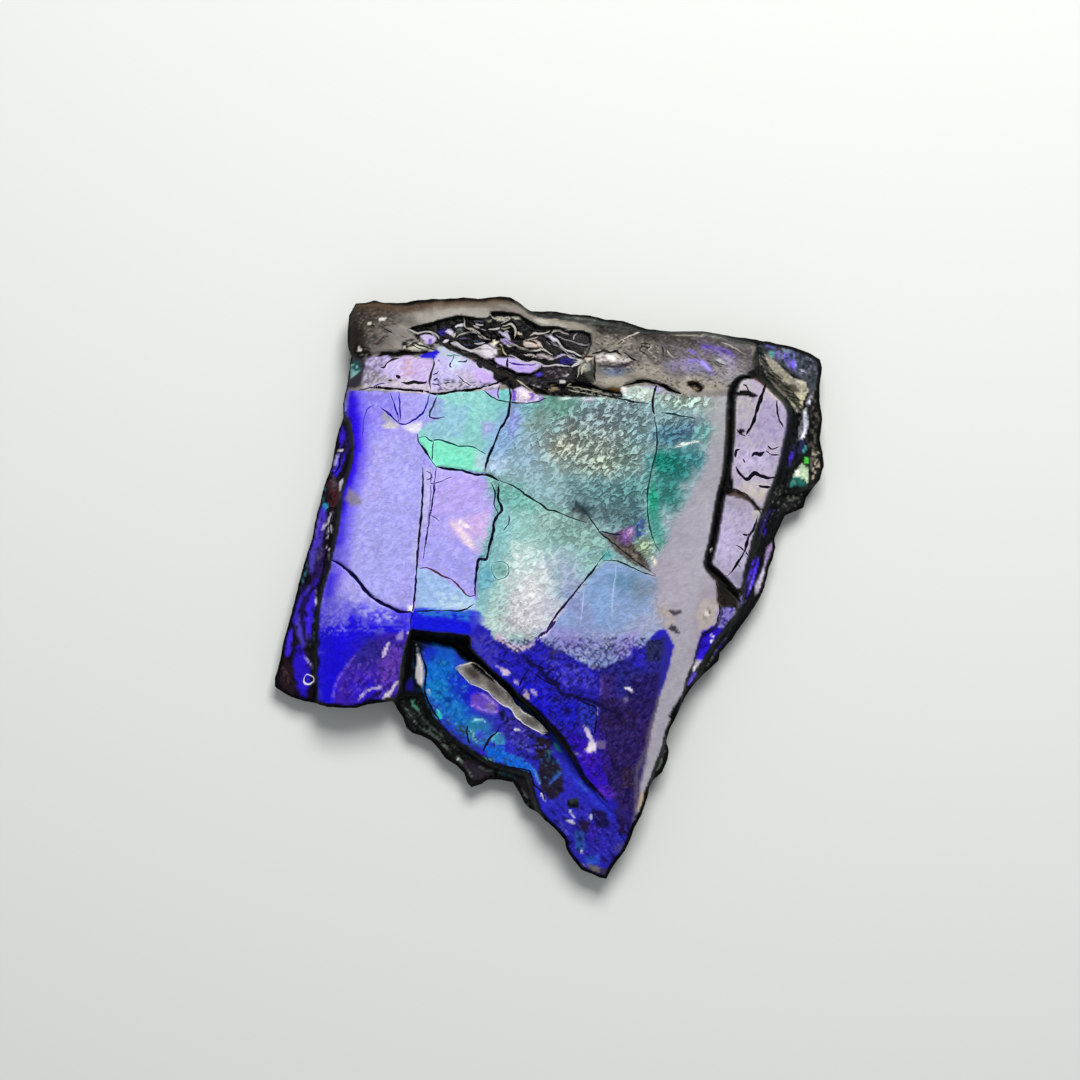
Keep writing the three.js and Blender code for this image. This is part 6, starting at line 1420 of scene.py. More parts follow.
    Coat("-9.9,-4.2 -9.8,-4.7 -9.5,-5.4 -9.4,-6.3 -9.4,-7.2 -9.5,-7.5 -9.8,-7.2 -10,-6.6 -9.9,-5.4",
         "#c0bcc0", soft=0.05, wander=0.02),
    Coat("-9.7,-5.1 -9.5,-6 -9.5,-7.1", "#eeeaec", width=0.16),
    # Painted shadow in the gap at the foot of the step, under the overhanging edge
    Coat("-10.3,-3.6 -9.4,-3.8 -8.3,-3.9 -7.3,-4.2 -6.5,-4.7 -5.9,-5.3 -5.2,-6 -4.4,-6.7 -3.7,-7.2",
         "#050407", width=0.42, wander=0.06),
    Coat("-3.7,-7.2 -2.9,-7.7 -1.6,-8.7 -0.4,-9.8 0.3,-10.5", "#060508", width=0.52, wander=0.06),
    Coat("-0.1,-10.1 1,-11.3 1.6,-12.3 2.2,-13.3", "#100c0a", width=0.5, wander=0.06),
    Coat("2.2,-13.3 2.6,-14.2 3.4,-15 3.8,-15.4", "#050407", width=0.38, wander=0.05),
    Coat("3.4,-15 3.8,-15.4 4.3,-16", "#050407", width=0.2, soft=0.08, wander=0.04),
    # Dark layered shale below the plate
    Coat(SHALE_FRINGE, "#080a09", soft=0.08, rough=0.35, crinkle=0.0),
    Coat("-11.7,-8.5 -9.4,-7.8 -1.4,-13.8 -0.6,-16.6 -2.2,-16.1 -6.2,-14.7 -11,-9.7",
         "#2c3833", cover=0.8, fleck=(1.8, 0.1, 128, 0.18)),
    Coat("-6.5,-12.9 -5.2,-12.8 -4.1,-13.2 -4.3,-14.1 -5.6,-14.4 -6.4,-13.8", "#221c28", soft=0.2),
    Coat("-2.5,-14.1 -1.3,-14.1 -1.2,-16.4 -2.3,-16.2", "#1e1a20", soft=0.25),
    Coat("-9.1,-10 -8.7,-11.1 -7.7,-11.5", "#4a5654", width=0.12, soft=0.08, wander=0.05),
    Coat("-10.9,-8.7 -10.4,-9.5 -9.8,-10.3 -9.1,-10.8 -8.3,-11.3 -7.7,-12 -6.8,-12.7 -6.2,-13.5 -5.8,-14.2",
         "#525e58", width=0.12, soft=0.08),
    Coat("-10.3,-8.4 -9.8,-9.2 -9.2,-10.1 -8.3,-10.8 -7.5,-11.5 -6.7,-12.2 -5.9,-12.7",
         "#3c4642", width=0.14, soft=0.08),
    Coat("-5.3,-13.4 -4.6,-13.7 -3.7,-13.8 -2.8,-14.1 -2.2,-14.9 -1.6,-15.8",
         "#4c5450", width=0.12, soft=0.08),
    Coat("-8.8,-10.4 -8.4,-10.5 -8.4,-10.7 -8.8,-10.6", "#5a6068", soft=0.08, wander=0.06),
    Coat("-8.2,-10.7 -8.1,-10.8 -8.1,-11.1", "#70706e", width=0.13, soft=0.08),
    Coat("-7,-12.7 -6.7,-12.8 -6.7,-12.9 -6.9,-12.9", "#d4d8cc", soft=0.06, wander=0.05),
    Coat("-10.6,-8.4 -10.1,-8.3 -9.7,-9.3 -10.3,-8.9", "#4a9078", fleck=(0.3, 0.2, 150, 0.6)),
    Coat("-3.7,-13.7 -2.5,-14.1 -2.5,-14.9 -3.4,-14.5", "#10303a", soft=0.2, cover=0.8),
    # Pale frayed edge of the left field over the gap
    Coat("-10.4,-3.3 -10.7,-4.5 -11,-6 -11.2,-7.7", "#d3cadc", width=0.2, soft=0.08),
    Coat("-10.5,-1.2 -10,-1.4 -10.1,-1.8 -10.5,-1.8", "#f8f6fc", soft=0.06),
    # Silhouette edge of the upper left field, black and brown; the black line along the outline is painted
    # shade
    Coat("-15.1,20.2 -15.1,18.1 -14.8,17.3 -15,16.2 -15.2,14.8", "#131110", width=0.5),
    Coat("-14.9,17.4 -14,17 -13.7,16.6 -13.9,15.9 -14,15 -15,14.9", "#332f3a", soft=0.2),
    Coat("-14.8,16.6 -14.3,16.6 -14.1,16.2 -14.8,15.6 -14.9,16", "#7fb4b0"),
    Coat("-14.7,17 -14.1,16.9 -14,16.3 -14.5,16 -14.8,16.2", "#235458", fleck=(0.2, 0.25, 60, 0.6)),
)

# Painted shade all round the rim: a near-black line along the outline where the edge turns down
RIM_SHADE = (Coat(OUTLINE + " " + OUTLINE.split()[0], "#060507", width=0.6, wander=0.04),)

COATS = (
    *FIELDS, *RIDGE, *DEEP_BLUE, *UPPER_BAND, *UPPER_RIM, *HOLLOW, *RIGHT_SIDE_COATS, *CORNER,
    *TILES, *LEFT_STRIP_COATS, *LOWER_PLATE_COATS, *RIM_SHADE,
)


# Hair cracks, dark and saturated versions of the colour they cross
CRACKS = (
    Crack(0.18, "#08070c", "-14.2,14.7 -13.1,14.9 -11.8,14.8 -10.4,14.7 -9.3,14.6 -8.4,14.4 -7,14.6 "
                           "-5.8,14.7 -4.6,15 -3.7,15.3 -3.1,15.6"),
    Crack(0.2, "#0a090c", "-9.3,14.6 -8.4,14.4 -7,14.6 -5.8,14.7 -4.6,15"),
    Crack(0.16, "#0d0812", "-8.6,17.1 -8.6,16.6 -8.7,16.2 -8.8,15.8 -8.9,15.3 -8.8,14.7"),
    Crack(0.13, "#141018", "-12.6,16.4 -12.3,16.4 -12.1,16.7 -11.6,17 -11.2,17.1"),
    Crack(0.22, "#0c0a10", "-11,15.3 -10.5,15.2 -10,15.3 -9.2,15.2 -9.1,15.4"),
    Crack(0.12, "#171214", "-12,15.4 -11.7,15.4"),
    Crack(0.24, "#0f0b14", "-11.4,15.8 -11.1,15.6"),
    Crack(0.1, "#1d1840", "-6.9,15.8 -6.6,15.6 -6.3,15.3 -5.8,15"),
    Crack(0.1, "#1d1826", "-8.6,15.4 -8.3,15.6"),
    Crack(0.1, "#1d1826", "-8.7,15.2 -8.1,15"),
    Crack(0.1, "#1d1826", "-7.8,15.2 -7.3,15.3"),
    Crack(0.12, "#1a1280", "-13.1,15 -12.7,15.1 -12.2,15.2"),
    # Half moon tile
    Crack(0.16, "#150c98", "-12.6,13.4 -12,13 -11.5,12.5 -11.1,12.2 -10.6,12.2 -10,12.5 -9.4,13 -9.1,13.6 "
                           "-8.9,14.4"),
    Crack(0.12, "#1a129c", "-11.8,14.5 -11.6,13.8 -11.3,13 -11.2,12.3"),
    Crack(0.11, "#1a129c", "-11.2,14.6 -11.1,13.5 -11.1,12.3"),
    Crack(0.13, "#1a2244", "-8.3,14.4 -8.6,13.6 -8.9,12.9 -8.8,12.6 -8.3,12.6 -7.7,12.7"),
    Crack(0.1, "#4a3fc0", "-12.9,13.7 -13.6,13.2 -13.8,12.2 -13.9,11.1"),
    # Mint tile
    Crack(0.16, "#101430", "-9.8,11.4 -9.7,10.8 -9.2,10.2 -8.8,9.5 -8.4,9"),
    Crack(0.12, "#153c46", "-9.8,11.1 -9.2,11.2 -8.8,10.9 -8.2,11 -7.3,10.7 -6.5,10.5 -5.8,10.5 -5.2,10.2 "
                           "-4.7,9.9"),
    Crack(0.1, "#1c4a50", "-8.6,10.9 -8.7,10.2 -8.7,9.4"),
    Crack(0.2, "#08101c", MINT_FOOT),
    Crack(0.2, "#0a1020", TEAL_SEAM),
    # Centre tile
    Crack(0.16, "#14143c", "-9.4,9 -9.4,7.3 -9.5,5.4 -9.7,3.6 -9.8,2.1 -9.9,0.7 -10,-0.6 -10.1,-1.5 "
                           "-10.3,-2.6 -10.3,-3.2"),
    Crack(0.13, "#1a1a50", "-8.4,9 -8.5,8.1 -8.6,6.9 -8.8,5.7 -9,4.5 -9.2,3.2 -9.4,2.1"),
    Crack(0.1, "#7a78b8", "-8.8,8.8 -8.8,7.3 -8.9,5.8 -9.1,4.3"),
    Crack(0.22, "#100e28", "-3.7,7.8 -3.8,6.7 -3.5,5.8 -3.8,5.4 -4.1,4.8 -4.2,3.9 -4.5,2.8 -4.7,2.1 "
                           "-5.2,2.1 -5.4,1.2 -5.5,0.2 -5.5,-0.7"),
    Crack(0.12, "#241f48", "-4.3,7.8 -4,7 -4.1,6.2 -3.8,5.5"),
    Crack(0.1, "#3c3480", "-8.8,7.7 -8.2,7.8 -7.6,8.1 -7.2,8.2"),
    Crack(0.1, "#3c3480", "-9.2,8.7 -8.8,8.5 -8.8,8.1 -9.2,8"),
    Crack(0.1, "#5c54a0", "-8.8,5.4 -8.5,5.2 -8.1,4.9"),
    Crack(0.14, "#4a2c30", "-9.6,1.4 -9.2,1.5 -8.7,1.3 -8,0.9 -7.3,0.6 -6.7,0.1 -6.1,-0.6 -5.5,-0.6"),
    # Left field
    Crack(0.24, "#120d44", "-16.4,2.1 -15.7,1.8 -15,1.3 -14.3,0.6 -13.7,-0.2 -12.9,-0.9 -12,-1.4 "
                           "-11.1,-1.8 -10.2,-1.8"),
    Crack(0.12, "#120f30", "-10,-1.8 -8.2,-1.7 -6.5,-1.7 -5.5,-1.2"),
    # Long diagonal through the green and mauve fields
    Crack(0.14, "#1a1a20", "-3.7,8 -2.6,7.5 -2,7.1 -1.3,6.6 -0.6,6.2 -0.1,5.8 0.5,5.7 1.1,5.4 1.9,5.1 "
                           "2.8,4.8"),
    Crack(0.12, "#1d2c34", "2.8,5.4 3.3,4.8 3.7,4.2 4,3.9 4.9,3.2 5.9,2.4 6.8,1.7 8,0.9"),
    Crack(0.13, "#211a3c", "3.8,4.2 4.6,4 5.5,3.9"),
    Crack(0.13, "#14363a", "7.8,12.9 8,11.7 8,10.3 7.7,9 7.4,7.6 7.3,6.2 7.4,4.9 7.7,3.7 8,3 8.2,2.7"),
    Crack(0.12, "#14363a", "8.3,13 9.2,12.9 10.2,12.7 10.9,12.6"),
    Crack(0.12, "#1a2c34", "4,2 4.9,2 5.7,1.7 6.8,1.2 8,0.8"),
    Crack(0.07, "#c2d2ec", "5,1.9 4.9,0.6 4.7,-0.9 4.7,-2.4"),
    Crack(0.07, "#c2d2ec", "2.6,0 2.5,-1.3 2.3,-2.7"),
    Crack(0.16, "#1a1433", "4.3,2.6 3.8,2 3.2,1.2 2.3,0.1 1.4,-1 0.5,-2.1 -0.2,-3.2 -1.1,-3.8"),
    Crack(0.12, "#e8f4ee", "9.3,10.4 10.6,10.8 11.2,10.9"),
    Crack(0.07, "#3f7c80", "-4.3,1.6 -4,1.9 -3.4,1.9 -3,1.5 -3.1,0.9 -3.8,0.6 -4.2,1 -4.3,1.6"),
    Crack(0.12, "#15203c", "-3,5.4 -3,4.8 -3.4,4.2"),
    Crack(0.12, "#151a20", "-4.9,14.7 -4.3,14.2 -3.6,13.9 -2.8,13.8 -1.9,13.7 -1,13.8 -0.2,14.1"),
    Crack(0.1, "#151a20", "-3.7,15.1 -3.8,14.5 -3.7,14"),
    Crack(0.14, "#0c0d12", HOLLOW_SEAM),
    Crack(0.14, "#0c0d12", "2.3,14.6 3.8,14.3 5.5,14 6.4,13.8 7.4,13.7"),
    Crack(0.28, "#090a0c", "5.5,15 6.2,15.2 7,15.4 7.9,15.2 8.6,15 9.1,14.7 9.8,14.4"),
    Crack(0.2, "#0c0d12", "8,15.1 7.8,14.4 7.7,13.6 7.8,12.9"),
    # Blue field
    Crack(0.14, "#0c0a3c", "-1.4,-6 -1.9,-6.6 -2.2,-7.4"),
    Crack(0.12, "#0c0a3c", "-1.1,-5.7 -0.2,-6.1 0.5,-6.1"),
    Crack(0.12, "#0c0a3c", "-1.1,-6.4 -0.4,-6.9 0.3,-7.3"),
    Crack(0.14, "#0c0a3c", "2.2,-8.4 2.9,-8.7 3.5,-9 3.5,-10.1 3.4,-11"),
    Crack(0.16, "#0c0a20", "-3.6,-10.2 -3.9,-10.8 -4.3,-11.1 -4.7,-11.7 -5,-12.3"),
    Crack(0.12, "#0c0a20", "-6.1,-10.3 -6.1,-11.2 -5.9,-11.7"),
    Crack(0.14, "#0c0a20", "-3.7,-13.3 -2.4,-13.5 -1.4,-13.7 -1.2,-14.6 -0.5,-15.3 -0.3,-15.9"),
    Crack(0.16, "#0a0810", "-9.6,-4.9 -9.2,-6 -9.3,-7.4 -9.2,-8.1 -8.6,-9.3 -8,-10.1"),
    Crack(0.3, "#33245c", "-0.8,-3.7 -0.6,-3.5 -0.2,-3.3 0.1,-2.9 0.5,-2.5"),
    Crack(0.12, "#dcd6f0", "-0.9,-3.9 -0.7,-3.7 -0.1,-3.4 0.2,-3"),
    # Rims and blades in the flaked hollow
    Crack(0.14, "#b6b2b2", "-10.5,19.3 -10.1,19.1 -9.8,19 -9.2,19.1 -8.6,19 -8.3,18.7 -8.2,18.5"),
    Crack(0.12, "#b2ada8", "-6.4,20.2 -6.3,19.8 -6.3,19.6 -6.2,19.4"),
    Crack(0.13, "#b9b4bd", "-7.4,18.9 -7.1,18.9 -7,19 -7.1,18.7"),
    Crack(0.18, "#cdc7db", "-7.9,18.3 -7.5,18.5"),
    Crack(0.12, "#8f9490", "-6.9,19.2 -6.7,19.3 -6.5,19.2 -6.5,19.1"),
    Crack(0.14, "#9f9b97", "-6.9,18.7 -6.6,18.9 -6.3,19 -5.8,19.1 -5.4,19 -5.2,18.8 -4.8,18.6 -4.4,18.5"),
    Crack(0.15, "#97938d", "-6.2,19.4 -5.8,19.3 -5.4,19.1 -5.2,19 -5,18.8 -4.6,18.5"),
    Crack(0.15, "#aeaaaf", "-5.7,19.6 -5.2,19.4"),
    Crack(0.14, "#aca8b2", "-5.5,19.7 -4.9,19.6"),
    Crack(0.13, "#77727c", "-5.1,19.3 -4.7,19.2"),
    Crack(0.14, "#b9b6b6", "-4.5,19.3 -4,19.3 -3.7,19.4"),
    Crack(0.12, "#7a7e9a", "-5.6,19.9 -5.3,19.9 -4.9,19.9"),
    Crack(0.13, "#3d3a62", "-6.7,18.6 -6.1,18.6"),
    Crack(0.13, "#33566a", "-5.7,18.4 -5.2,18.4"),
    Crack(0.13, "#aca8b8", "-5.6,18.2 -5.2,18.2 -4.8,18.3"),
    Crack(0.13, "#2b3050", "-6.4,18.1 -5.8,18.1"),
    Crack(0.12, "#c8c4c9", "-7.4,18.2 -7.2,18.3 -6.9,18.3 -6.5,18 -6.2,17.8 -5.8,17.7 -5.3,17.9 -4.7,18 "
                           "-4.4,17.9"),
    Crack(0.13, "#4a4038", "-6.2,17.2 -5.8,17.1 -5.3,17"),
    Crack(0.14, "#aca890", "-4.1,17.9 -3.6,17.8"),
    Crack(0.14, "#aca189", "-3.7,18.2 -3.5,18 -3.4,17.7 -3.2,17.3"),
    Crack(0.13, "#a8a59a", "-4.4,20.4 -4.1,20.1 -3.5,20.2"),
    Crack(0.13, "#aca89e", "-3.5,20.1 -3.2,20.2 -2.9,20.2 -2.9,20.1 -3.2,19.9 -3.6,19.7"),
    Crack(0.15, "#aeaaa1", "-3.5,19.5 -3.2,19.6 -2.9,19.7 -2.7,19.6 -2.5,19.3 -2.5,19 -2.6,18.6"),
    Crack(0.12, "#908e78", "-3.6,19.4 -3.4,19.3 -2.9,19.4"),
    Crack(0.12, "#9e97a8", "-3.3,19.1 -3,19.1"),
    Crack(0.16, "#aca6b9", "-3.5,19 -3.2,19 -3,18.7 -2.9,18.4"),
    Crack(0.15, "#b6b1ac", "-1.4,18.8 -1.1,19 -0.8,19 -0.3,19 0.1,19.2"),
    Crack(0.14, "#b2aca8", "0.2,19 0.5,19.2 0.8,19.2 1.1,19 1.5,18.9"),
    Crack(0.12, "#b2aca8", "1.2,19.2 1.6,19.2"),
    Crack(0.12, "#827b82", "0.5,18.9 0.8,18.7 1.2,18.5 1.7,18.4 2.2,18.2 2.8,18.1 3,18.3"),
    Crack(0.14, "#9a959a", "1.8,18.5 1.9,18.8 2.1,19"),
    Crack(0.15, "#bebbbe", "0.2,18.6 0.5,18.6 0.7,18.3 0.9,18 1.2,17.7 1.7,17.6 2.1,17.4 2.5,17.2"),
    Crack(0.14, "#aca8af", "0.1,18.4 0.4,18.2 0.7,18 1.1,17.7 1.4,17.4 1.8,17.3 2.2,17"),
    Crack(0.21, "#c5c2c5", "1.2,17.4 1.7,17.2 2.3,17 2.4,16.9 2.1,16.7 1.7,16.5"),
    Crack(0.16, "#b8b2bd", "-3.1,17.3 -2.7,17.3 -2.3,17 -1.8,16.8 -1.3,16.8 -0.8,16.8 -0.5,16.6 -0.2,16.5 "
                           "0.4,16.6 0.8,16.6 1.3,16.5 1.6,16.5"),
    Crack(0.16, "#b4afa8", "-3.2,18.2 -3,18 -2.5,18.1 -2.2,17.9 -1.9,17.8 -1.4,17.7 -0.8,17.7 -0.6,17.8 "
                           "-0.3,17.7 0,17.5 0.3,17.3"),
    Crack(0.15, "#aca39e", "-1.9,17.4 -1.7,17.3 -1.4,17.4 -1.1,17.3 -1.3,17.1"),
    Crack(0.16, "#0c090a", "-1.8,18.4 -1.4,18.4 -0.9,18.2"),
    Crack(0.12, "#a69f97", "-1.9,18.4 -1.6,18.5 -1.1,18.6 -0.8,18.8"),
    Crack(0.14, "#bdb6b6", "-0.8,18.4 -0.6,18.1 -0.5,17.9"),
    Crack(0.13, "#6a6470", "-0.2,18.4 0.1,18.1"),
    Crack(0.13, "#3a1a8c", "-3,16.8 -2.6,16.7 -2.3,16.6 -1.8,16.6 -1,16.6"),
    Crack(0.16, "#08070a", "-3.1,17.1 -3.1,16.8 -3.1,16.4"),
    Crack(0.12, "#a19e9a", "2.3,16.5 2.2,16.1 2.1,15.6"),
    Crack(0.14, "#b2aca1", "2.7,16.7 2.5,16.3 2.4,15.9"),
    Crack(0.14, "#aca795", "-2.4,15.5 -2.1,15.3 -1.6,14.9 -1.1,14.5"),
    Crack(0.14, "#aca89a", "1.3,15 1.7,15.2"),
    Crack(0.11, "#9e9e92", "1.4,14.7 2.6,14.5 4.1,14.2 5.2,14"),
    Crack(0.12, "#8f8a78", "1.3,15 2,14.9 2.9,14.7 4,14.5"),
    Crack(0.16, "#0b0a0b", "3.4,17.3 3.4,16.3 3.4,15.3"),
    Crack(0.18, "#0c0b0c", "3.2,17.4 3.9,17.6 4.1,17.7 4.5,17.5 5,17.6 5.4,17.3"),
    Crack(0.17, "#0c0b0c", "5.6,17.5 6.1,17.1 6.5,16.9"),
    Crack(0.13, "#4a2a20", "2.5,17.2 3.3,17.2"),
    # Scuffs of the band beside it, and a painted highlight along its top ridge
    # Pale line along the ridge at the top of the band: a painted highlight
    Crack(0.11, "#b9b4aa", "5,18.2 5.5,18.5 6.2,18.8 6.8,19.1 7.3,19.2 8.1,19.1 8.7,19.1 9.2,18.9"),
    Crack(0.1, "#1d1a18", "5.1,18.1 5.5,18.4"),
    Crack(0.1, "#171513", "6.8,18.2 7.2,18.2 7.5,18 7.3,17.8 7,18 6.7,17.7 7.2,17.4 7.4,17.2"),
    Crack(0.09, "#b4b0a6", "7.3,18.1 7.6,17.9 7.4,17.7 7.7,17.4"),
    Crack(0.1, "#171513", "8.4,18 8.5,17.6 8.5,17.1"),
    Crack(0.1, "#b4b0a6", "8.8,17.7 9,17.4 9.3,17.2"),
    Crack(0.1, "#131212", "9.4,18.9 10.9,18.9 12.4,19 12.8,18.8 13.6,18.4 14.3,18.4"),
    Crack(0.09, "#a8a39a", "12.8,18.3 13.4,18.1 14.1,17.7 14.6,17.4"),
    Crack(0.1, "#453f3c", "12.4,16.9 12.8,16.6 13.2,16.6"),
    Crack(0.09, "#5a5550", "12.2,16.9 12.4,16.6 12.9,16.4"),
    Crack(0.09, "#0e0c0c", "-13.3,19.6 -13,19.5"),
    Crack(0.1, "#12100f", "-12.3,19.3 -11.7,19"),
    Crack(0.11, "#4a2a30", "-12.3,18.8 -12.6,18.4 -12.9,18"),
    Crack(0.08, "#5a5650", "-11.1,18.8 -10.6,18.6"),
    Crack(0.12, "#0c0b0b", "-10.3,18.3 -9.7,18.1 -9.2,17.9 -8.5,17.7"),
    Crack(0.1, "#1a1815", "-10.3,18.1 -9.8,17.9 -9.4,17.7"),
    # Lavender tiles under the ledge
    Crack(0.13, "#2a6a70", "-7.1,17.4 -7.2,17 -7.3,16.8"),
    Crack(0.12, "#3a2a70", "-7.3,16.8 -7.4,16.5 -7.3,16.4"),
    Crack(0.11, "#3f8a84", "-7.7,17.3 -7.3,17.3 -7,17.3 -6.6,17.2"),
    Crack(0.13, "#1c3c5c", "-6.8,16.8 -6.5,16.8 -6.2,16.8 -6.1,17"),
    Crack(0.22, "#151020", "-5.4,16.7 -5.2,16.5 -5,16.4"),
    Crack(0.08, "#2c2450", "-8.3,17 -8.1,16.8"),
    Crack(0.1, "#2c2450", "-8.6,15.8 -8.2,16.1"),
    # White rim of the grey lens, and the ring on the left strip
    Crack(0.1, "#eceae8", "-7,-6 -6.7,-5.8 -6.2,-5.7 -5.8,-5.6 -5.3,-5.8 -4.7,-6.3 -4.3,-6.7 -3.7,-7.3 "
                          "-3,-8 -2.5,-8.7 -1.9,-9.3 -1.2,-9.7 -0.6,-10.2 -0.1,-10.8"),
    Crack(0.1, "#eceae8", "-7,-6 -6.3,-6.7 -5.8,-7.2 -5,-7.5 -4.5,-7.8 -4,-8.3 -3.5,-8.7 -2.9,-9 -2.5,-9.6 "
                          "-1.9,-10.1 -1.2,-10.5 -0.5,-10.9 -0.1,-10.8"),
    Crack(0.12, "#e6e0f4", "-18.3,-6.6 -18.1,-6.5 -17.8,-6.6 -17.6,-6.9 -17.9,-7.2 -18.2,-7.2 -18.4,-7 "
                           "-18.3,-6.6"),
    Crack(0.16, "#08080a", "-16.2,5.7 -16.4,4.6 -16.4,3.6 -16.7,2.4 -17,0.9"),
    Crack(0.14, "#08080a", "-15.3,10.2 -15.6,9.9 -15.7,9.1 -16.1,8.5"),
    Crack(0.13, "#08080a", "-16.8,5.7 -16.3,6 -15.8,5.8"),
    # Loose tiles
    Crack(0.1, "#1c1726", "14.4,15.1 14.7,15 14.9,14.6 15.5,14.2"),
    Crack(0.1, "#1c1726", "13.9,11.8 14.3,11.4 14.9,11.3"),
    Crack(0.3, "#08060a", "16.2,15.2 15.9,14.4 15.5,13.3 15.2,12.3 14.7,11.4"),
    Crack(0.14, "#120f16", "17,14 17,13.2 17.2,12.5 17.5,11.9"),
    Crack(0.24, "#120c24", "14.2,10.3 13.9,10.2 13.9,9.7"),
    Crack(0.24, "#120c24", "15.1,9.7 15.4,10 15.7,9.9 16,10.1"),
    Crack(0.14, "#120c24", "16.3,10.6 16.6,10.3 17.2,10.5"),
    Crack(0.12, "#120c24", "16.1,10.2 16.6,9.9 17.2,9.9"),
    Crack(0.16, "#120c24", "14.4,9.6 14.6,9.3"),
    Crack(0.28, "#0e0818", "13.9,9 14.2,8.5 14.6,8.1 14.9,8.1 15.3,8.5 15.8,8.3 16.3,8.2 16.9,8.2"),
    Crack(0.2, "#0e0818", "15.6,7.6 16.1,7.5 16.5,7.5"),
    Crack(0.14, "#40362e", "13.7,7.4 14.1,7.2 14.7,6.9 15.2,6.3 15.7,5.7 15.9,5.4"),
    Crack(0.2, "#0c0a10", "15.6,5.4 15.2,4.3 14.8,3.6 14.6,2.8 14,1.8 13.3,0.8"),
    Crack(0.16, "#0c0a10", "14.4,4 14.8,3.9 15.1,4.2"),
    Crack(0.12, "#0c0a10", "13.9,3.2 14.5,2.8 14.9,2.3"),
    Crack(0.1, "#121016", "14,1.8 14.3,1.5"),
    Crack(0.14, "#2a211c", "12.4,0.6 12.7,-0.9 12.6,-2.3 12.2,-3 11.3,-3.5"),
)

# Small relief: broad undulation, fine scale of the nacre, wrinkled and flaked areas
GRAINS = (
    Grain("-15.3,21.6 20.3,21.6 20.3,8.1 6.8,-18.2 -18.7,-8.8 -18.7,2.1", 0.045, (2.6, 2.6), octaves=1),
    Grain("-15.3,15.2 -3.3,15.2 -5.2,-1.7 -16.8,-8.4", 0.016, (0.5, 0.3), slant=70),
    Grain("-3.7,14.1 16.6,14.8 12.8,-2.4 5.3,-18.2 -3.7,-7.7", 0.03, (0.9, 0.4), slant=20, ridged=True),
    Grain("-17.2,-2.4 -10.4,-2.4 -11.2,-8.6 -17.3,-8.6", 0.05, (0.7, 0.35), slant=60, ridged=True),
    Grain("-14.8,21.6 -2.2,21.6 0.8,19.3 -8.2,17.7 -14.8,17.4", 0.04, (0.8, 0.16), slant=62, ridged=True),
    Grain("3.1,19.7 15.5,18.2 15.5,15.2 9.8,14.1 3.1,14.4", 0.07, (1.1, 0.2), slant=160, ridged=True),
    Grain("13.9,15.2 17.5,14.1 16.2,6.2 14.5,0.2 12.2,2.1", 0.03, (0.5, 0.3), slant=60, ridged=True),
    Grain("-10.1,-4.3 -0.7,-8.4 6.1,-18.2 3.8,-21.6 -2.2,-13.7 -9.3,-8.4",
          0.07, (0.9, 0.35), slant=130, ridged=True),
    Grain("-11.7,-8.4 -9.3,-7.8 -0.3,-17.4 -2.2,-16.1 -11.2,-9.6",
          0.08, (1.6, 0.14), slant=148, ridged=True),
    Grain("-19.8,2.1 -17.3,6.2 -15.3,13.3 -15.3,6.6 -17.3,-8.4 -20.2,-7.7",
          0.06, (0.8, 0.25), slant=75, ridged=True),
    Grain("14.7,18.2 20.5,17.1 20.5,8.1 18.1,5.4 14.7,-0.9 10.6,-7.7 11.3,-2.4 17.3,9.6",
          0.07, (0.9, 0.22), slant=100, ridged=True),
    Grain("-10.3,19.3 3.2,19.3 2.7,15.2 -0.3,14.1 -5.2,17.1", 0.02, (0.8, 0.2), slant=160, ridged=True),
)


# ---- The surface ----

SEED_STEP = 7  # between the seeds of one coat or grain and the next
FLECK_RANGE = 0.62  # noise of two octaves seldom goes past this
FLECK_EDGE = 0.12


def fleck_share(points: np.ndarray, fleck: tuple[float, ...], seed: int) -> np.ndarray:
    """Where a broken coat covers: noise over a threshold that leaves the wanted share.

    Args:
        points: Places, one per row.
        fleck: Size along and across, slant in degrees, and share that stays covered.
        seed: Picks the noise.

    Returns:
        The cover at each place, 0 to 1.
    """
    along, across, slant, share = fleck
    value = noise(turned(points, slant), (along, across), seed, 2)
    threshold = FLECK_RANGE * (1.0 - 2.0 * share)
    return smooth_step(threshold - FLECK_EDGE, threshold + FLECK_EDGE, value)


def painted(points: np.ndarray, coats: Sequence[Coat | Glow]) -> tuple[np.ndarray, np.ndarray]:
    """Lays the coats one over another.

    Args:
        points: Places seen from above, one per row.
        coats: Coats and glows, the lowest first.

    Returns:
        The sRGB colour, and the roughness and crinkle, at each place.
    """
    colour = np.tile(hex_values(GROUND), (len(points), 1))
    finish = np.tile([NACRE_ROUGHNESS, NACRE_CRINKLE], (len(points), 1))
    for number, coat in enumerate(coats):
        rows, share = coat.share(points, SEED_STEP * number)
        colour[rows] += share[:, None] * (hex_values(coat.hue) - colour[rows])
        for column, value in enumerate((coat.rough, coat.crinkle)):
            if value >= 0:
                finish[rows, column] += share * (value - finish[rows, column])
    return colour, finish


# ---- The upper side as heights ----

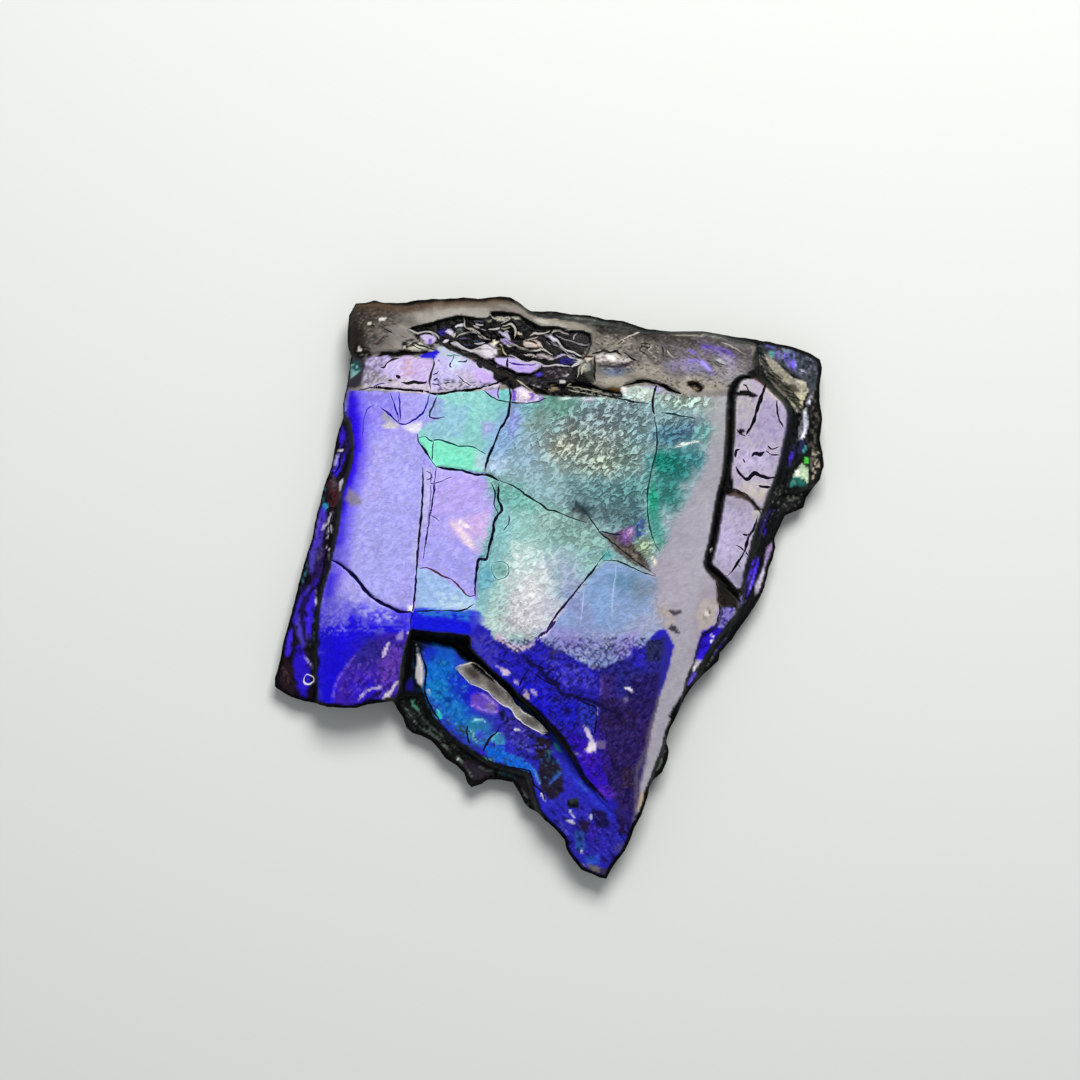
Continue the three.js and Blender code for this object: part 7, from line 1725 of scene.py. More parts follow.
GRAIN_SEED = 500
CREST_LEVEL = 0.6  # a ridged grain's crests, and how sharply they fall to its valleys
CREST_FALL = 1.6
JOINT_TAPER = Taper(0.35, 8.0)
JOINT_REACH = 1.25  # half widths from a joint's middle to the top of its sides, which are one wide
SPLINTER_RIPPLE = Ripple(0.4, 900, depth=0.02)
SPLINTER_EDGE = (-0.05, 0.03)  # a splinter's side starts outside its outline and ends inside
SPLINTER_REACH = 0.1
CRACK_REACH = 0.36  # a corner further than this from a crack does not know of it
CRACK_STRAY = (Ripple(0.5, 3100, 2, 0.05), Ripple(0.5, 3200, 2, 0.05))  # from its route, in x and in y
CRACK_TAPER = Taper(0.3, 4.0)
CRACK_WIDTH = 0.9  # a crack's mean width, as a share of the one it names
CRACK_SWELL = Ripple(0.7, 3000, depth=0.55)  # how much that share comes and goes


def under(crown: Crown, here: np.ndarray, depth: float, on_lower: bool) -> np.ndarray:
    """Height of the dome or the lower plate less a depth, and never below the least height."""
    surface = crown.lower_at if on_lower else crown.at
    return np.maximum(crown.least, surface(*here.T) - depth)


def heights(points: np.ndarray, crown: Crown) -> np.ndarray:
    """Height of the upper side: the dome, less the losses and joints, plus splinters and grain.

    Args:
        points: Places seen from above, one per row.
        crown: The dome.

    Returns:
        One height per place.
    """
    height = crown.at(*points.T)
    for loss in LOSSES:
        outline = path(loss.outline)
        rows = close_to(outline, points, 0.0)
        here = points[rows]
        lowered = np.minimum(height[rows], under(crown, here, loss.depth, loss.on_lower))
        share = smooth_step(0.0, loss.run, depth_inside(outline, here))
        height[rows] += share * (lowered - height[rows])
    for number, grain in enumerate(GRAINS):
        outline = path(grain.outline)
        rows = close_to(outline, points, grain.soft)
        here = points[rows]
        seed = GRAIN_SEED + SEED_STEP * number
        wave = noise(turned(here, grain.slant), grain.size, seed, grain.octaves)
        if grain.ridged:
            wave = CREST_LEVEL - CREST_FALL * np.abs(wave)
        share = smooth_step(-0.5 * grain.soft, 0.5 * grain.soft, depth_inside(outline, here))
        height[rows] += share * grain.height * wave
    for joint in JOINTS:
        curve = rounded(joint.route)
        rows = close_to(curve, points, joint.width)
        gap, _, along = nearest(curve, points[rows])
        full = JOINT_TAPER.at(along)
        share = np.clip(JOINT_REACH - gap / (0.5 * joint.width * full), 0.0, 1.0)
        height[rows] -= joint.depth * full * share
    for number, splinter in enumerate(SPLINTERS):
        outline = path(splinter.outline)
        rows = close_to(outline, points, SPLINTER_REACH)
        here = points[rows]
        leaning = splinter.tilt * (here[:, 0] - outline.mean(axis=0)[0])
        ripple = replace(SPLINTER_RIPPLE, seed=SPLINTER_RIPPLE.seed + number)
        top = under(crown, here, splinter.depth, splinter.on_lower) + leaning + ripple.at(here)
        share = smooth_step(*SPLINTER_EDGE, depth_inside(outline, here))
        height[rows] += share * np.maximum(top - height[rows], 0.0)
    return np.minimum(height, crown.top + crown.proud)


def crack_lines(plan: np.ndarray, faces: np.ndarray) -> tuple[np.ndarray, np.ndarray]:
    """How the corners of each face lie to the hair crack that matters most to the face.

    Args:
        plan: Places of the mesh's corners seen from above.
        faces: Triangles, by their corners.

    Returns:
        For each corner of each face the vector from the crack with its half width there, and
        the crack's sRGB colour. The vector runs straight through zero from one side of a
        crack to the other, so a crisp line can be read from it between two corners.
    """
    middle = plan[faces].mean(axis=1)
    chosen, least = np.full(len(faces), -1), np.full(len(faces), CRACK_REACH)
    curves = [rounded(crack.route) for crack in CRACKS]
    for number, (crack, curve) in enumerate(zip(CRACKS, curves)):
        rows = close_to(curve, middle, 0.5 * crack.width + CRACK_REACH)
        clear = nearest(curve, middle[rows])[0] - 0.5 * crack.width
        closer = clear < least[rows]
        chosen[rows[closer]], least[rows[closer]] = number, clear[closer]
    lines, ink = np.zeros((len(faces), 3, 3)), np.zeros((len(faces), 3, 3))
    lines[:, :, 2] = -CRACK_REACH
    for number, (crack, curve) in enumerate(zip(CRACKS, curves)):
        rows = np.flatnonzero(chosen == number)
        if not len(rows):
            continue
        here = plan[faces[rows]].reshape(-1, 2)
        stray = np.column_stack([ripple.at(here) for ripple in CRACK_STRAY])
        _, away, along = nearest(curve, here + stray)
        swell = CRACK_WIDTH + replace(CRACK_SWELL, seed=CRACK_SWELL.seed + number).at(here)
        half = 0.5 * crack.width * CRACK_TAPER.at(along) * swell
        lines[rows] = np.column_stack([away, half]).reshape(-1, 3, 3)
        ink[rows] = hex_values(crack.hue)
    return lines, ink


# ---- Finishes ----


def add_node(
    tree: bpy.types.NodeTree, kind: str, inputs: dict[str | int, object] | None = None, **settings: object
) -> bpy.types.Node:
    """Adds a node with its settings, values and links.

    Args:
        tree: The material's node tree.
        kind: The node's type name.
        inputs: A value, or a socket to link from, for each named or numbered input.
        settings: Properties of the node itself.

    Returns:
        The new node.
    """
    node = tree.nodes.new(kind)
    for name, value in settings.items():
        setattr(node, name, value)
    for name, value in (inputs or {}).items():
        if isinstance(value, bpy.types.NodeSocket):
            tree.links.new(value, node.inputs[name])
        else:
            node.inputs[name].default_value = value
    return node


def blank_material(name: str) -> tuple[bpy.types.Material, bpy.types.NodeTree]:
    """Starts a material with an empty node tree.

    Args:
        name: The material's name.

    Returns:
        The material and its node tree.
    """
    material = bpy.data.materials.new(name)
    material.use_nodes = True
    material.node_tree.nodes.clear()
    return material, material.node_tree


def per_metre(size: float) -> float:
    """The scale of a texture whose features are this many millimetres apart."""
    return 1.0 / (size * MM)


@dataclass(frozen=True)
class PolishedNacre:
    """Ammolite: fossil nacre, split along its sheets and lightly polished.

    Thin aragonite sheets give one strong colour to each small plate, a satin gloss, and a
    fine mottle where the sheets are crazed. Aragonite's index is 1.53 to 1.68. The specular
    level is low because the sheets scatter most of what a smooth stone would mirror.
    """

    name: str = "polished_ammolite_nacre"
    ior: float = 1.53
    specular: float = 0.05
    mottle: float = 0.5  # crazing of the sheets, in millimetres
    mottle_detail: float = 4.0
    mottle_depth: float = 0.07
    cloud: float = 2.2  # broader lighter and darker clouds
    cloud_detail: float = 2.0
    cloud_depth: float = 0.07
    fold: float = 0.29  # spacing of the foil-like wrinkles
    fold_depth: float = 0.7
    # how much lighter a wrinkle's crest and darker its hollow is painted: painted highlight and shade
    fold_slant: float = 40.0
    fold_stretch: float = 1.7
    fold_detail: float = 3.0
    fold_bend: float = 0.8
    fold_range: Point = (0.38, 0.62)  # levels of the noise that are a hollow and a crest
    grain_range: Point = (0.3, 0.7)  # levels of the noise that are full dark and full light
    grain_roughness: float = 0.6
    pit: float = 0.16  # fine pits that break the gloss
    pit_detail: float = 3.0
    gloss_change: float = 0.08
    relief: float = 0.03
    relief_strength: float = 0.7
    fold_relief: float = 0.09
    crack_edge: float = 0.014  # how softly a hair crack ends
    crack_depth: float = 1.4  # as a multiple of the pits' depth
    crack_highlight: float = 0.07  # painted highlight beside a hair crack: how far it reaches, and how much lighter it is
    crack_highlight_gain: float = 0.16

    def make(self) -> bpy.types.Material:
        """Builds the material from the slab's paint, ink, line, rough and crinkle attributes.

        Returns:
            The new material.
        """
        material, tree = blank_material(self.name)
        place = add_node(tree, "ShaderNodeTexCoord").outputs["Object"]
        paint = add_node(tree, "ShaderNodeAttribute", attribute_name="paint").outputs["Color"]
        ink = add_node(tree, "ShaderNodeAttribute", attribute_name="ink").outputs["Color"]
        line = add_node(tree, "ShaderNodeAttribute", attribute_name="line").outputs["Vector"]
        rough = add_node(tree, "ShaderNodeAttribute", attribute_name="rough").outputs["Fac"]
        crinkle = add_node(tree, "ShaderNodeAttribute", attribute_name="crinkle").outputs["Fac"]
        fold = self.folds(tree, place)
        mottle = self.grain(tree, place, self.mottle, self.mottle_detail)
        cloud = self.grain(tree, place, self.cloud, self.cloud_detail)
        fine = self.scaled(tree, mottle, self.mottle_depth)
        broad = self.scaled(tree, cloud, self.cloud_depth)
        wave = add_node(tree, "ShaderNodeMath", {0: fold, 1: crinkle}, operation="MULTIPLY").outputs[0]
        both = add_node(tree, "ShaderNodeMath", {0: fine, 1: broad}, operation="ADD").outputs[0]
        # Wrinkle crests painted lighter and hollows darker, as painted highlight and shade, added to the
        # mottle
        light = add_node(
            tree, "ShaderNodeMath", {0: wave, 1: self.fold_depth, 2: both}, operation="MULTIPLY_ADD"
        )
        crack = self.crack_mask(tree, line)
        # A band along each hair crack is painted lighter, as a painted highlight
        crack_highlight = self.crack_mask(tree, line, self.crack_highlight)
        lit = {0: crack_highlight, 1: self.crack_highlight_gain, 2: light.outputs[0]}
        worn = add_node(tree, "ShaderNodeMath", lit, operation="MULTIPLY_ADD")
        level = add_node(tree, "ShaderNodeMath", {0: worn.outputs[0], 1: 1.0}, operation="ADD")
        ground = add_node(
            tree, "ShaderNodeVectorMath", {0: paint, "Scale": level.outputs[0]}, operation="SCALE"
        )
        colour = add_node(
            tree, "ShaderNodeMix", {0: crack, 6: ground.outputs[0], 7: ink}, data_type="RGBA"
        )
        pits = self.grain(tree, place, self.pit, self.pit_detail)
        gloss = self.scaled(tree, pits, self.gloss_change)
        roughness = add_node(tree, "ShaderNodeMath", {0: rough, 1: gloss}, operation="ADD", use_clamp=True)
        hollow = add_node(
            tree, "ShaderNodeMath", {0: crack, 1: -self.crack_depth, 2: pits}, operation="MULTIPLY_ADD"
        )
        dents = add_node(
            tree,
            "ShaderNodeBump",
            {
                "Strength": self.relief_strength,
                "Distance": self.relief * MM,
                "Height": hollow.outputs[0],
            },
        )
        bump = add_node(
            tree,
            "ShaderNodeBump",
            {
                "Strength": 1.0,
                "Distance": self.fold_relief * MM,
                "Height": wave,
                "Normal": dents.outputs[0],
            },
        )
        surface = add_node(
            tree,
            "ShaderNodeBsdfPrincipled",
            {
                "Base Color": colour.outputs[2],
                "Roughness": roughness.outputs[0],
                "IOR": self.ior,
                "Specular IOR Level": self.specular,
                "Normal": bump.outputs[0],
            },
        )
        add_node(tree, "ShaderNodeOutputMaterial", {"Surface": surface.outputs[0]})
        return material

    def folds(self, tree: bpy.types.NodeTree, place: bpy.types.NodeSocket) -> bpy.types.NodeSocket:
        """Slanting wrinkles: noise drawn out and steepened.

        Args:
            tree: The material's node tree.
            place: Socket of the place in the slab.

        Returns:
            Socket that is -1 in a hollow and 1 on a crest.
        """
        drawn = add_node(
            tree,
            "ShaderNodeMapping",
            {
                "Vector": place,
                "Rotation": (0.0, 0.0, math.radians(self.fold_slant)),
                "Scale": (self.fold_stretch, 1.0, 1.0),
            },
            vector_type="TEXTURE",
        )
        settings = {
            "Vector": drawn.outputs[0],
            "Scale": per_metre(self.fold),
            "Detail": self.fold_detail,
            "Distortion": self.fold_bend,
        }
        value = add_node(tree, "ShaderNodeTexNoise", settings).outputs[0]
        low, high = self.fold_range
        steep = {"Value": value, "From Min": low, "From Max": high, "To Min": -1.0, "To Max": 1.0}
        return add_node(tree, "ShaderNodeMapRange", steep, interpolation_type="SMOOTHSTEP").outputs[0]

    def grain(
        self, tree: bpy.types.NodeTree, place: bpy.types.NodeSocket, size: float, detail: float
    ) -> bpy.types.NodeSocket:
        """Noise with features of a given size.

        Args:
            tree: The material's node tree.
            place: Socket of the place in the slab.
            size: Spacing of the features in millimetres.
            detail: How many finer sizes are added.

        Returns:
            Socket of the noise, about 0.5.
        """
        settings = {
            "Vector": place,
            "Scale": per_metre(size),
            "Detail": detail,
            "Roughness": self.grain_roughness,
        }
        return add_node(tree, "ShaderNodeTexNoise", settings).outputs[0]

    def scaled(
        self, tree: bpy.types.NodeTree, value: bpy.types.NodeSocket, depth: float
    ) -> bpy.types.NodeSocket:
        """Carries noise to plus and minus a depth.

        Args:
            tree: The material's node tree.
            value: Socket of the noise.
            depth: What full light adds.

        Returns:
            Socket of the carried noise.
        """
        low, high = self.grain_range
        settings = {"Value": value, "From Min": low, "From Max": high, "To Min": -depth, "To Max": depth}
        return add_node(tree, "ShaderNodeMapRange", settings, clamp=False).outputs[0]

    def crack_mask(
        self, tree: bpy.types.NodeTree, line: bpy.types.NodeSocket, clear: float = 0.0
    ) -> bpy.types.NodeSocket:
        """Marks hair cracks, by the distance from a crack's middle less its half width.

        Args:
            tree: The material's node tree.
            line: Socket of the slab's line attribute.
            clear: How far past the crack the mark still reaches.

        Returns:
            Socket that is 1 on the mark and 0 off it.
        """
        flat = add_node(tree, "ShaderNodeVectorMath", {0: line, 1: (1.0, 1.0, 0.0)}, operation="MULTIPLY")
        gap = add_node(tree, "ShaderNodeVectorMath", {0: flat.outputs[0]}, operation="LENGTH")
        half = add_node(tree, "ShaderNodeSeparateXYZ", {0: line}).outputs[2]
        beyond = add_node(tree, "ShaderNodeMath", {0: gap.outputs["Value"], 1: half}, operation="SUBTRACT")
        edge = {
            "Value": beyond.outputs[0],
            "From Min": clear - self.crack_edge,
            "From Max": clear + self.crack_edge,
            "To Min": 1.0,
            "To Max": 0.0,
        }
        return add_node(tree, "ShaderNodeMapRange", edge, interpolation_type="SMOOTHSTEP").outputs[0]


@dataclass(frozen=True)
class SplitShale:
    """Dark bituminous shale, split along its bedding and otherwise left as it broke.

    Clay laid down in sheets of a few tenths of a millimetre: the broken edge shows them as
    fine level lines, matt, with a few paler ones. Clay minerals have an index near 1.57.
    """

    name: str = "dark_split_shale"
    ior: float = 1.55
    specular: float = 0.08
    roughness: float = 0.72
    lamina: float = 0.32  # sheets as the broken edge shows them, in millimetres
    lamina_detail: float = 3.0
    lamina_squash: float = 0.12  # noise is drawn out along the bedding by the inverse of this
    lamina_range: Point = (0.35, 0.68)  # levels of the noise that are the dark and the pale sheets
    lamina_light: Point = (0.6, 1.9)  # how light those are, as a share of the paint
    grit: float = 0.22
    grit_detail: float = 4.0
    grit_range: Point = (0.35, 0.7)
    grit_light: Point = (0.8, 1.35)
    relief: float = 0.09
    relief_strength: float = 0.9

    def make(self) -> bpy.types.Material:
        """Builds the material: the paint attribute, with pale and dark sheets and grit over it.

        Returns:
            The new material.
        """
        material, tree = blank_material(self.name)
        place = add_node(tree, "ShaderNodeTexCoord").outputs["Object"]
        paint = add_node(tree, "ShaderNodeAttribute", attribute_name="paint").outputs["Color"]
        squash = (self.lamina_squash, self.lamina_squash, 1.0)
        bedded = add_node(tree, "ShaderNodeMapping", {"Vector": place, "Scale": squash}).outputs[0]
        sheets = self.noise(tree, bedded, self.lamina, self.lamina_detail)
        grit = self.noise(tree, place, self.grit, self.grit_detail)
        bands = self.light(tree, sheets, self.lamina_range, self.lamina_light)
        speckle = self.light(tree, grit, self.grit_range, self.grit_light)
        both = add_node(tree, "ShaderNodeMath", {0: bands, 1: speckle}, operation="MULTIPLY")
        colour = add_node(
            tree, "ShaderNodeVectorMath", {0: paint, "Scale": both.outputs[0]}, operation="SCALE"
        )
        height = add_node(tree, "ShaderNodeMath", {0: sheets, 1: grit}, operation="ADD")
        bump = add_node(
            tree,
            "ShaderNodeBump",
            {
                "Strength": self.relief_strength,
                "Distance": self.relief * MM,
                "Height": height.outputs[0],
            },
        )
        surface = add_node(
            tree,
            "ShaderNodeBsdfPrincipled",
            {
                "Base Color": colour.outputs[0],
                "Roughness": self.roughness,
                "IOR": self.ior,
                "Specular IOR Level": self.specular,
                "Normal": bump.outputs[0],
            },
        )
        add_node(tree, "ShaderNodeOutputMaterial", {"Surface": surface.outputs[0]})
        return material

    def noise(
        self, tree: bpy.types.NodeTree, place: bpy.types.NodeSocket, size: float, detail: float
    ) -> bpy.types.NodeSocket:
        """Noise with features of a size in millimetres, and this many finer sizes added."""
        settings = {"Vector": place, "Scale": per_metre(size), "Detail": detail}
        return add_node(tree, "ShaderNodeTexNoise", settings).outputs[0]

    def light(
        self, tree: bpy.types.NodeTree, value: bpy.types.NodeSocket, levels: Point, shares: Point
    ) -> bpy.types.NodeSocket:
        """How light a place is, from its noise.

        Args:
            tree: The material's node tree.
            value: Socket of the noise.
            levels: Levels of the noise that are darkest and lightest.
            shares: How light those are, as shares of the paint.

        Returns:
            Socket of the share.
        """
        settings = {"Value": value, "From Min": levels[0], "From Max": levels[1]}
        settings |= {"To Min": shares[0], "To Max": shares[1]}
        return add_node(tree, "ShaderNodeMapRange", settings).outputs[0]


@dataclass(frozen=True)
class PaleSheet:
    """The plain pale sheet under the slab: matt and slightly cool."""

    name: str = "pale_matt_sheet"
    hue: str = "#e6e9e8"
    roughness: float = 0.85
    specular: float = 0.2

    def make(self) -> bpy.types.Material:
        """Builds the material.

        Returns:
            The new material.
        """
        material, tree = blank_material(self.name)
        colour = (*linear(self.hue), 1.0)
        surface = add_node(
            tree,
            "ShaderNodeBsdfPrincipled",
            {
                "Base Color": colour,
                "Roughness": self.roughness,
                "Specular IOR Level": self.specular,
            },
        )
        add_node(tree, "ShaderNodeOutputMaterial", {"Surface": surface.outputs[0]})
        return material


class Layer(IntEnum):
    """The two finishes that the slab shows. Their numbers are its material slots."""

    NACRE = 0
    SHALE = 1


# ---- The slab ----


@dataclass(frozen=True)
class Grid:
    """The grid of x and y under the upper side. Cells outside the outline are left out."""

    low: Point = (-20.86, -22.0)
    high: Point = (20.9, 22.1)
    column: float = 0.142
    row: float = 0.148
    fine_row: float = 0.105  # rows above fine_from, where the flaked hollow needs them
    fine_from: float = 14.0
    pinch_passes: int = 3
    snap: float = 0.45  # share of a column within which a corner is drawn onto a broken line

    def cells(self) -> tuple[np.ndarray, np.ndarray, np.ndarray]:
        """The grid's kept corners, its cells, and the edges where a neighbour is missing.

        Returns:
            Corners as x and y, cells as four corners anticlockwise, and rim edges as pairs
            of corners with the slab on their left.
        """
        xs = np.arange(self.low[0], self.high[0], self.column)
        coarse = np.arange(self.low[1], self.fine_from, self.row)
        ys = np.concatenate([coarse, np.arange(self.fine_from, self.high[1], self.fine_row)])
        middle = np.stack(
            np.meshgrid(0.5 * (xs[1:] + xs[:-1]), 0.5 * (ys[1:] + ys[:-1])), axis=-1
        ).reshape(-1, 2)
        outline = path(OUTLINE)
        kept = np.concatenate([encloses(outline, middle[rows]) for rows in split(middle)])
        kept = np.pad(kept.reshape(len(ys) - 1, len(xs) - 1), 1)
        for _ in range(self.pinch_passes):
            kept = self.without_pinches(kept)
        corner = np.arange(len(ys) * len(xs)).reshape(len(ys), len(xs))
        low_left, low_right = corner[:-1, :-1], corner[:-1, 1:]
        up_left, up_right = corner[1:, :-1], corner[1:, 1:]
        inner = kept[1:-1, 1:-1]
        quads = np.stack([low_left, low_right, up_right, up_left], axis=-1)
        south, north = inner & ~kept[:-2, 1:-1], inner & ~kept[2:, 1:-1]
        west, east = inner & ~kept[1:-1, :-2], inner & ~kept[1:-1, 2:]
        edges = np.concatenate(
            [quads[south][:, :2], quads[east][:, 1:3], quads[north][:, 2:4], quads[west][:, [3, 0]]]
        )
        used, numbers = np.unique(quads[inner], return_inverse=True)
        plan = np.column_stack([xs[used % len(xs)], ys[used // len(xs)]])
        return plan, numbers.reshape(-1, 4), np.searchsorted(used, edges)

    def without_pinches(self, kept: np.ndarray) -> np.ndarray:
        """Fills a cell where two kept cells meet at one corner only.

        Args:
            kept: True for the cells that are kept, by row and column.

        Returns:
            The same with more cells kept.
        """
        low, high = kept[:-1], kept[1:]
        falling = low[:, 1:] & high[:, :-1] & ~low[:, :-1] & ~high[:, 1:]
        rising = low[:, :-1] & high[:, 1:] & ~low[:, 1:] & ~high[:, :-1]
        filled = kept.copy()
        filled[:-1, :-1] |= falling
        filled[:-1, 1:] |= rising
        return filled

    def drawn_to_lines(self, plan: np.ndarray, fixed: np.ndarray) -> np.ndarray:
        """Draws corners close to a broken line onto it, so that steps are crisp, not toothed.

        Args:
            plan: Corners of the grid seen from above.
            fixed: Numbers of the corners that stay where they are.

        Returns:
            The corners, some of them moved.
        """
        free = np.ones(len(plan), bool)
        free[fixed] = False
        lines = [rounded(joint.route) for joint in JOINTS]
        lines += [closed(broken.outline) for broken in (*LOSSES, *SPLINTERS)]
        for line in lines:
            rows = close_to(line, plan, self.column)
            rows = rows[free[rows]]
            if not len(rows):
                continue
            away, _ = from_line(line, plan[rows])
            close = np.hypot(*away.T) < self.snap * self.column
            plan[rows[close]] -= away[close]
            free[rows[close]] = False
        return plan

    def best_diagonals(self, cells: np.ndarray, height: np.ndarray) -> np.ndarray:
        """Splits each cell along the diagonal whose ends differ less in height.

        Args:
            cells: Four corners of each cell, anticlockwise.
            height: Height of each corner.

        Returns:
            Two triangles for each cell.
        """
        a, b, c, d = cells.T
        flip = np.abs(height[a] - height[c]) > np.abs(height[b] - height[d])
        first = np.where(flip[:, None], np.column_stack([a, b, d]), np.column_stack([a, b, c]))
        second = np.where(flip[:, None], np.column_stack([b, c, d]), np.column_stack([a, c, d]))
        return np.vstack([first, second])


@dataclass
class Rim:
    """The rim of the upper side once it lies on the outline."""

    corners: np.ndarray  # their numbers
    edges: np.ndarray  # as pairs of corners of the upper side
    along: np.ndarray  # share of the outline's length at each corner
    inward: np.ndarray  # unit vector into the slab at each corner


@dataclass(frozen=True)
class RimMaker:
    """Draws the rim of the grid onto the broken outline, and wears it down."""

    draw: float = 0.92  # share of the way to the outline
    inset: float = 0.03
    inset_ripple: Ripple = Ripple(0.6, 11, depth=0.03)
    tangent_run: float = 0.8  # how far to both sides the run of the outline is taken from
    least_step: float = 1e-6  # between the shares of two corners
    wear: float = 0.14
    wear_ripple: Ripple = Ripple(0.8, 23, 2, 0.6)
    wear_run: float = 0.35

    def drawn(self, plan: np.ndarray, edges: np.ndarray) -> tuple[np.ndarray, Rim]:
        """Draws the corners at the rim onto the outline.

        Args:
            plan: Corners of the grid seen from above.
            edges: Its rim edges, as pairs of corners with the slab on their left.

        Returns:
            The corners, those at the rim moved, and the rim.
        """
        corners = np.unique(edges)
        border = closed(OUTLINE)
        away, along = from_line(border, plan[corners])
        along = self.in_order(along, *np.searchsorted(corners, edges).T)
        inward = self.inward(border, along)
        plan[corners] -= self.draw * away
        plan[corners] += (self.inset + self.inset_ripple.at(plan[corners]))[:, None] * inward
        return plan, Rim(corners, edges, along, inward)

    def inward(self, line: np.ndarray, share: np.ndarray) -> np.ndarray:
        """Unit vectors into the slab: the right hand of the line's run.

        Args:
            line: The closed outline, clockwise.
            share: Shares of its length.

        Returns:
            One vector per share.
        """
        reach = self.tangent_run / length_of(line)
        run = spot(line, share + reach) - spot(line, share - reach)
        run /= np.maximum(np.hypot(*run.T), TINY)[:, None]
        return np.column_stack([run[:, 1], -run[:, 0]])

    def in_order(self, along: np.ndarray, start: np.ndarray, end: np.ndarray) -> np.ndarray:
        """Makes the share fall steadily from each rim corner to the next one anticlockwise.

        The corners are put in order by doubling: each learns how many steps lie between it
        and the first one from what the corner it points to has learnt.

        Args:
            along: Share of the outline's length at each rim corner.
            start: The corner at which each rim edge starts.
            end: The corner at which it ends.

        Returns:
            The shares, with no two alike.
        """
        count = len(along)
        points_to = np.empty(count, int)
        points_to[start] = end
        points_to[0] = 0
        steps = np.ones(count, int)
        steps[0] = 0
        for _ in range(count.bit_length()):
            steps = steps + steps[points_to]
            points_to = points_to[points_to]
        order = np.concatenate([[0], np.argsort(-steps)[:-1]])
        ring = np.minimum.accumulate(np.unwrap(along[order], period=1.0))
        steady = np.empty(count)
        steady[order] = ring - self.least_step * np.arange(count)
        return steady

    def worn(self, plan: np.ndarray, height: np.ndarray) -> np.ndarray:
        """Rounds the rim: lowers it by the wear, less and less over the wear's run.

        Args:
            plan: Corners of the upper side seen from above.
            height: Their heights.

        Returns:
            The new heights.
        """
        away, _ = from_line(closed(OUTLINE), plan)
        drop = self.wear * (1.0 + self.wear_ripple.at(plan))
        return height - drop * (1.0 - smooth_step(0.0, self.wear_run, np.hypot(*away.T)))


@dataclass(frozen=True)
class BareShale:
    """Shale with no nacre left on it, broken into thin sheets that show as steps."""

    sheet: float = 0.24  # thickness of a sheet
    ripple: Ripple = Ripple((1.6, 1.1), 41, 3, 0.12)
    ripple_left: float = 0.3  # share of the ripple that a step keeps
    fade: Point = (-0.1, 0.5)  # from the border of bare shale inwards
    reach: float = 0.3
    share: float = 0.85
    riser: float = 0.72  # share of a sheet's thickness at which its step starts to rise

    def stepped(self, plan: np.ndarray, height: np.ndarray) -> np.ndarray:
        """Breaks bare shale into sheets: a height is drawn to the nearest of evenly spaced levels.

        Args:
            plan: Corners of the upper side seen from above.
            height: Their heights.

        Returns:
            The new heights.
        """
        for outline in map(path, SHEETED):
            rows = close_to(outline, plan, self.reach)
            here = plan[rows]
            share = smooth_step(*self.fade, depth_inside(outline, here))
            wave = self.ripple.at(here)
            level = (height[rows] + wave) / self.sheet
            whole = np.floor(level)
            tread = whole + smooth_step(self.riser, 1.0, level - whole)
            change = self.sheet * tread - height[rows] + self.ripple_left * wave
            height[rows] += self.share * share * change
        return height

    def covers(self, points: np.ndarray) -> np.ndarray:
        """Whether each place lies on bare shale.

        Args:
            points: Places seen from above, one per row.

        Returns:
            True where no nacre is left.
        """
        bare = np.zeros(len(points), bool)
        for outline in map(path, SHEETED):
            rows = close_to(outline, points, 0.0)
            bare[rows] |= encloses(outline, points[rows])
        return bare


